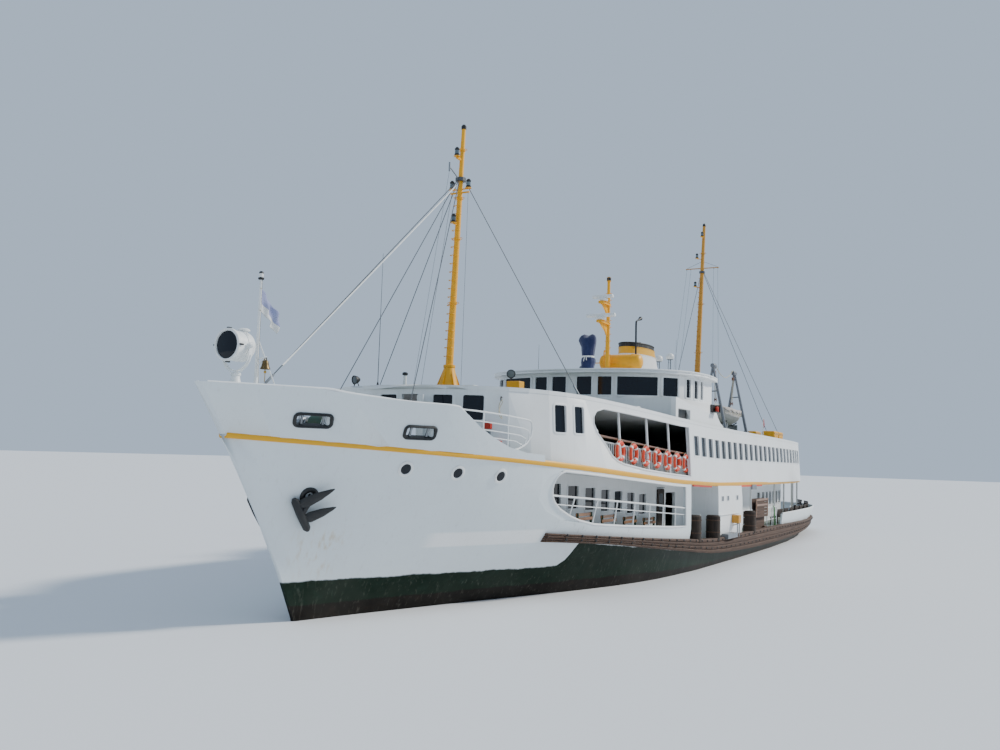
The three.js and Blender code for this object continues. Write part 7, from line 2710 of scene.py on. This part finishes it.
    def floodlights(self) -> None:
        """Stands the floodlights on the roof, and the gear box behind them."""
        lamps, glass = Shape(), Shape()
        for x, y, z, feet, turn in self.FLOODLIGHTS:
            ahead = Vector((math.cos(turn), math.sin(turn), -0.15)).normalized()
            lamps.lathe(self.FLOODLIGHT, (x, y, z), axis=ahead, sides=22)
            glass.lathe(self.FLOODLIGHT_GLASS, (x, y, z), axis=ahead, sides=22)
            for dy in (-feet, feet):
                lamps.tube([(x - 0.05, y + dy, boat_z(x)), (x - 0.02, y + dy * 0.4, z - 0.12)], 0.016, 8)
        lamps.piece("floodlights", Coat.BLACK)
        glass.piece("floodlight_glass", Coat.LENS)
        crate = Shape().box((15.75, 1.13, 6.64), (16.15, 1.62, 6.95))
        for y in (1.22, 1.53):
            crate.box((15.85, y - 0.03, boat_z(16) - 0.01), (16.05, y + 0.03, 6.63))
        crate.piece("yellow_gear_box", Coat.YELLOW, bevel=0.02)

    def hose(self) -> None:
        """Hangs the green wash-down hose over the port rail, its end on the deck."""
        hull = Skin("hull")
        x = self.hose_x
        y = hull.side(x, 0.95, 1).y - 0.2
        deck = main_z(x) + 0.035
        path = [(x, y - 0.05, main_z(x) + 0.75), (x - 0.02, y - 0.04, main_z(x) + 1.0),
                (x - 0.06, y, main_z(x) + 1.085), (x - 0.12, y + 0.05, main_z(x) + 1.0),
                (x - 0.2, y + 0.055, main_z(x) + 0.6), (x - 0.32, y + 0.05, main_z(x) + 0.2),
                (x - 0.5, y + 0.02, deck + 0.02), (x - 0.75, y - 0.06, deck), (x - 1.0, y - 0.02, deck)]
        path = flowing([Vector(p) for p in path], 6)
        hose = Shape().tube(path, 0.028, 10).piece("wash_hose", Coat.HOSE)

    def pennant(self) -> None:
        """Stands the small pole at the boat deck's port edge with its limp red pennant."""
        x, z = self.pennant_x, boat_z(self.pennant_x)
        y = Skin("saloon_walls").side(x, 5.6, 1).y - 0.14
        pole = Shape().lathe(self.PENNANT_POLE, (x, y, z), sides=12)
        staff = pole.piece("pennant_pole", Coat.RAIL)
        fabric = Shape()
        columns, rows = 18, 8
        for i in range(columns + 1):
            s = i / columns
            for j in range(rows + 1):
                t = j / rows
                depth = 0.035 * min(1.0, 3 * s)
                fabric.points.append(Vector((x - 0.02 - 0.27 * s ** 0.8, y + depth * math.sin(7 * s - 2 * t),
                                             z + 0.92 - 0.26 * s ** 1.3 - 0.36 * t * (1 - 0.2 * s))))
        data = fabric.grid(columns, rows).data("pennant_cloth", 180)
        data.materials.append(Coat.SIGNAL.material())
        thing, area = cloth(data, 0.001, 0)

    def poles(self) -> None:
        """Turns both mast poles, with the foremast's flared and finned foot and the spreaders."""
        fore, main = Masts(self.repeat).fore, Masts(self.repeat).main
        for mast, finish, node, levels in ((fore, Coat.YELLOW, "foremast", (7.0, 9, 11, 13, 14.5, 15.5)),
                                           (main, Coat.OCHRE, "mainmast", (5.98, 9, 12, 15, 17.5, 19.0))):
            shape = Shape()
            shape.tube([(mast.x(z), 0, z) for z in levels], [mast.radius(z) for z in levels], 28)
            if node == "foremast":
                x = self.foremast_x
                deck = boat_z(x)
                shape.lathe(self.FOREMAST_FOOT, (x, 0, deck + 0.001), axis=(-0.02, 0, 1), sides=30)
                for k in range(6):
                    turn = math.pi / 3 * k
                    u, v = math.cos(turn), math.sin(turn)
                    shape.loft([[(x + u * r - v * d, v * r + u * d, deck + h) for r, h in self.FIN]
                                for d in (-0.01, 0.01)])
                z = self.spreader_z
                shape.tube([(fore.x(z), -0.36, z), (fore.x(z), 0.36, z)], 0.03, 10)
                shape.tube([(fore.x(14.3), 0, 14.33), (x, 0, 14.33)], 0.03, 8)
            else:
                shape.lathe(self.MAINMAST_FOOT, (mast.x(5.96), 0, boat_z(-10.1) + 0.001), sides=28)
                z = self.yard_z
                shape.tube([(main.x(z), -self.yard_half, z), (main.x(z), self.yard_half, z)], [0.028, 0.028], 12)
            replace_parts(shape.piece(f"{node}_pole", finish), node)

    def build(self) -> None:
        """Makes the fittings."""
        for step in (self.poles, self.door_and_hook, self.valve_and_vents, self.floodlights, self.pennant, self.hose):
            step()


@dataclass
class SideFittings(SideWork):
    """The fittings along one side: casing, passage rails, ramp, wing, lobby, after benches and floats."""

    def casing(self) -> None:
        """Fits the side casing's vents, lockers and the boards under the deck edge."""
        wall, edge = Skin(f"side_casing_{self.label}"), Skin("hull", "upper_deck")
        frames, slats = Shape(), Shape()
        for x in (2.95, 2.05, 0.4):
            spot = wall.side(x, 2.85, self.side)
            seat = upright_seat(tuple(spot), (0, self.side, 0))
            frames.surround(seat, (0.34, 0.22, 0.02), 0.03, 0.02, 0.01)
            for v in spread(-0.08, 0.08, 5):
                slats.loft([[seat.at(u, v - 0.018, 0.0), seat.at(u, v + 0.016, 0.0), seat.at(u, v + 0.01, 0.022),
                             seat.at(u, v - 0.024, 0.024)] for u in (-0.165, 0.165)])
        frames.piece(f"casing_vent_frames_{self.label}", Coat.RAIL)
        slats.piece(f"casing_vent_slats_{self.label}", Coat.GALVANISED)
        y = wall.side(1.5, 1.9, self.side).y
        near, far = sorted((y + self.side * 0.01, y + self.side * 0.32))
        box, legs = Shape(), Shape()
        box.box((0.95, near, 1.72), (1.42, far, 2.08))
        box.piece(f"casing_locker_{self.label}", Coat.OCHRE, bevel=0.02)
        for x in (1.02, 1.35):
            legs.tube([(x, y + self.side * 0.25, main_z(x) + 0.01), (x, y + self.side * 0.25, 1.74)], 0.025, 8)
            legs.tube([(x, y + self.side * 0.03, main_z(x) + 0.5), (x, y + self.side * 0.25, 1.7)], 0.014, 6)
        legs.box((1.6, min(near, far), main_z(2) + 0.01), (3.2, max(near, far), main_z(2) + 0.22))
        legs.piece(f"casing_step_{self.label}", Coat.GALVANISED, bevel=0.01)
        ledge = Shape().box((0.1, min(y - self.side * 0.02, y + self.side * 0.05), 2.12),
                            (3.5, max(y - self.side * 0.02, y + self.side * 0.05), 2.16))
        ledge.piece(f"casing_ledge_{self.label}", Coat.RAIL, bevel=0.012)
        for name, x0, x1, finish in (("orange", -5.4, -0.2, Coat.ORANGE), ("red", 4.5, 7.3, Coat.RED)):
            board = Shape()
            rings = []
            for x in spread(x0, x1, 9):
                spot = edge.side(x, upper_z(x) - 0.06, self.side)
                out, z = spot.y + self.side * 0.012, upper_z(x) - 0.07
                rings.append([(x, out - self.side * 0.05, z - 0.11), (x, out, z - 0.11), (x, out, z),
                              (x, out - self.side * 0.05, z)])
            board.loft(rings)
            board.piece(f"edge_board_{name}_{self.label}", finish, bevel=0.006)
        spot = edge.side(-3.3, upper_z(-3.3) - 0.06, self.side)
        near, far = sorted((spot.y, spot.y + self.side * 0.07))
        Shape().box((-3.8, near, 3.16), (-2.9, far, 3.4)).piece(f"edge_lamp_box_{self.label}", Coat.GALVANISED,
                                                                bevel=0.012)

    def side_rails(self) -> None:
        """Stands the white rails in the open side passages."""
        hull = Skin("hull")
        rails, stanchion = Shape(), Shape().tube([(0, 0, 0), (0, 0, 1.05)], 0.022, 8)
        for part, x0, x1, count in (("fore", -3.6, -0.85, 3), ("aft", -9.5, -7.0, 3)):
            line = [(x, hull.side(x, 0.95, self.side).y - self.side * 0.2, main_z(x)) for x in spread(x0, x1, 8)]
            for rise, r in ((1.05, 0.024), (0.72, 0.015), (0.4, 0.015)):
                rails.tube([(x, y, z + rise) for x, y, z in line], r, 8)
            self.repeat.along(f"passage_stanchions_{part}_{self.label}", stanchion, line, count, Coat.RAIL)
        rails.piece(f"passage_rails_{self.label}", Coat.RAIL)

    def ramp(self) -> None:
        """Boards and battens the upright boarding ramp."""
        low, high = (Vector(p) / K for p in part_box(f"gangway_{self.label}"))
        face = high.y if self.side > 0 else low.y
        boards, trim = Shape(), Shape()
        past_strake = abs(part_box(f"strake_{self.label}")[0 if self.side < 0 else 1][1]) / K - abs(face) + 0.1
        foot, top = main_z(-5) + 0.1 + past_strake, high.z
        count = 6
        for k in range(count):
            z0 = foot + (top - foot) * k / count
            z1 = foot + (top - foot) * (k + 1) / count - 0.012
            y0, y1 = sorted((face - self.side * 0.002, face + self.side * 0.012))
            boards.box((low.x + 0.01, y0, z0), (high.x - 0.01, y1, z1))
        boards.piece(f"ramp_boards_{self.label}", Coat.STRAKE, f"gangway_{self.label}", bevel=0.004)
        y0, y1 = sorted((face + self.side * 0.01, face + self.side * 0.035))
        for z in (foot + (top - foot) * 0.66, top - 0.05):
            trim.box((low.x + 0.02, y0, z - 0.05), (high.x - 0.02, y1, z + 0.05))
        for x in (low.x + 0.12, high.x - 0.12):
            trim.box((x - 0.05, y0, foot + 0.05), (x + 0.05, y1, top - 0.04))
        trim.piece(f"ramp_battens_{self.label}", Coat.BENCH, f"gangway_{self.label}", bevel=0.005)
        LOG.info("boarded the ramp at y %.2f", face)

    def wing(self) -> None:
        """Sets a black sheet in the wing bulwark's opening as painted shade of its inside, and fits its flap."""
        wall = Skin("wheelhouse_walls")
        spot = wall.side(6.7, 6.6, self.side) or wall.side(8.9, 6.6, self.side)
        y = spot.y if spot else self.side * 4.1
        # A black sheet standing in for the shade inside the opening: painted shade.
        shade_sheet = Shape().box((6.5, min(y - self.side * 0.2, y - self.side * 0.17), boat_z(7.7) + 0.02),
                             (8.7, max(y - self.side * 0.2, y - self.side * 0.17), boat_z(7.7) + 0.8))
        shade_sheet.piece(f"wing_lining_{self.label}", Coat.BLACK)
        flap = Shape().box((9.05, self.side * 3.2 - 0.25, boat_z(9.2) + 0.01),
                           (9.4, self.side * 3.2 + 0.25, boat_z(9.2) + 0.4))
        flap.piece(f"wing_locker_{self.label}", Coat.RAIL, bevel=0.03)
        # Logs where the painted shade sheet went.
        LOG.info("put the painted shade sheet in the wing opening at y %.2f", y)

    def lobby(self) -> None:
        """Hangs dark timber sliding doors on the deckhouse, each with a light; their dark colour is painted shade of
        the open lobby and passage.
        """
        wall = Skin("main_deckhouse")
        doors, lights, track = Shape(), Shape(), Shape()
        for centre in (5.15, 6.05, 6.95):
            spot = wall.side(centre, 2.0, self.side)
            if spot is None:
                continue
            seat = upright_seat((centre, spot.y, main_z(centre) + 1.05), (0, self.side, 0))
            doors.slab(seat, rounded(0.86, 1.94, 0.03), 0.012, 0.05)
            doors.surround(seat, (0.5, 0.7, 0.04), 0.05, 0.062, 0.0)
            lights.slab(Seat(seat.at(0, 0.45), seat.along, seat.up, seat.out), rounded(0.48, 0.66, 0.03), 0.05, 0.056)
            track.tube([seat.at(-0.45, 1.02, 0.04), seat.at(0.45, 1.02, 0.04)], 0.02, 8)
        after = Skin("main_deckhouse", f"side_casing_{self.label}", "engine_casing", "hull")
        for y in (2.55, 3.35):
            spot = after.hit((7.0, self.side * y, 2.2), (-1, 0, 0))
            if spot is not None and 0 < spot.x < 6:
                seat = upright_seat((spot.x, self.side * y, main_z(spot.x) + 1.05), (1, 0, 0))
                doors.slab(seat, rounded(0.76, 1.96, 0.03), 0.012, 0.05)
                lights.slab(Seat(seat.at(0, 0.45), seat.along, seat.up, seat.out), rounded(0.48, 0.7, 0.03),
                            0.05, 0.056)
                LOG.info("hung a lobby door at x %.2f", spot.x)
        # The doors are real, but their dark timber stands in for the shade inside the open lobby and passage: painted
        # shade.
        doors.piece(f"lobby_doors_{self.label}", Coat.POST)
        lights.piece(f"lobby_door_lights_{self.label}", Coat.GLASS)
        track.piece(f"lobby_door_track_{self.label}", Coat.GALVANISED)

    def after_benches(self) -> None:
        """Sets the after deck's benches by the bulwark and down the middle, and the upper deck's after benches."""
        hull = Skin("hull")
        slats, ends = bench(0.72, 0.6, 0.014, ((-0.02, 0.58), (-0.045, 0.7), (-0.07, 0.82)), 0.055,
                            (-0.08, -0.03, 0.41, 0.86))
        rows = [("bulwark", [(x, hull.side(x, 1.4, self.side).y - self.side * 0.3, main_z(x))
                             for x in spread(-10.5, -26.6, 24)], 10),
                ("middle", [(x, self.side * 0.45, main_z(x)) for x in spread(-22.8, -26.8, 4)], 3),
                ("upper_after", [(x, self.side * 1.3, upper_z(x)) for x in spread(-21.6, -24.2, 4)], 2)]
        for row, path, count in rows:
            if self.side < 0:
                path = path[::-1]
            if row != "bulwark":
                path = path[::-1]
            self.repeat.along(f"after_bench_slats_{row}_{self.label}", slats, path, count, Coat.POST)
            self.repeat.along(f"after_bench_ends_{row}_{self.label}", ends, path, count, Coat.POST)

    def floats(self) -> None:
        """Stacks the yellow buoyant floats on the boat deck, with their grab lines, and hangs the pipe on the wall."""
        box, lines = Shape(), Shape()
        for x0, rise in ((-6.9, 0.25), (-11.5, 0.46), (-12.8, 0.46)):
            box.box((x0 - 1.15, self.side * 4.0 - 0.35, boat_z(x0) + 0.03),
                    (x0, self.side * 4.0 + 0.35, boat_z(x0) + rise))
            for y in (-0.36, 0.36):
                path = [(x0 - 1.15 * t, self.side * 4.0 + y * 1.02, boat_z(x0) + rise * 0.8 - 0.09
                         * abs(math.sin(3 * math.pi * t))) for t in spread(0, 1, 19)]
                lines.tube(path, 0.01, 5)
        box.piece(f"buoyant_floats_{self.label}", Coat.YELLOW, bevel=0.05)
        lines.piece(f"buoyant_float_lines_{self.label}", Coat.ROPE)
        wall = Skin("saloon_walls")
        pipe = Shape()
        spots = [wall.side(-6.62, z, self.side) for z in (5.6, 4.9, 4.4, 3.9)]
        if None not in spots:
            pipe.tube([p + Vector((0, self.side * 0.05, 0)) for p in spots] + [Vector((-6.62,
                                                                                       spots[-1].y + self.side
                                                                                       * 0.05, 3.55))], 0.028, 8)
            for p in spots:
                pipe.box((-6.67, min(p.y, p.y + self.side * 0.06), p.z - 0.02),
                         (-6.57, max(p.y, p.y + self.side * 0.06), p.z + 0.02))
            pipe.piece(f"rain_pipe_{self.label}", Coat.RAIL)

    def build(self) -> None:
        """Makes the side."""
        for step in (self.casing, self.side_rails, self.ramp, self.wing, self.lobby, self.after_benches, self.floats):
            step()


def main() -> None:
    """Builds the studio, dresses the model and adds its fittings."""
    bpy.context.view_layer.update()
    Studio().build()
    dress_model()
    for node, floor in (("hull", Coat.DECK), ("bow_bulwark", None), ("upper_deck", Coat.DECK),
                        ("forward_house", None), ("saloon_walls", None), ("wheelhouse_walls", None),
                        ("wheelhouse_roof", None), ("boat_deck", Coat.DECK)):
        smooth_copy(node, Coat.HULL if node in ("hull", "bow_bulwark") else Coat.HOUSE, floor)
    open_sweep("forward_house_plating")
    repeat = Repeater()
    for kind in (Topsides, Windows, Galleries, CompassCover, AirTank, Radar, Funnel, RoofGear, Masts, Searchlight,
                 Jackstaff, MooringGear, BowSide, BoatGear, HouseFittings, SideFittings):
        for each in SIDES if issubclass(kind, SideWork) else [()]:
            kind(repeat, *each).build()
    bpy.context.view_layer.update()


if __name__ == "__main__":
    main()
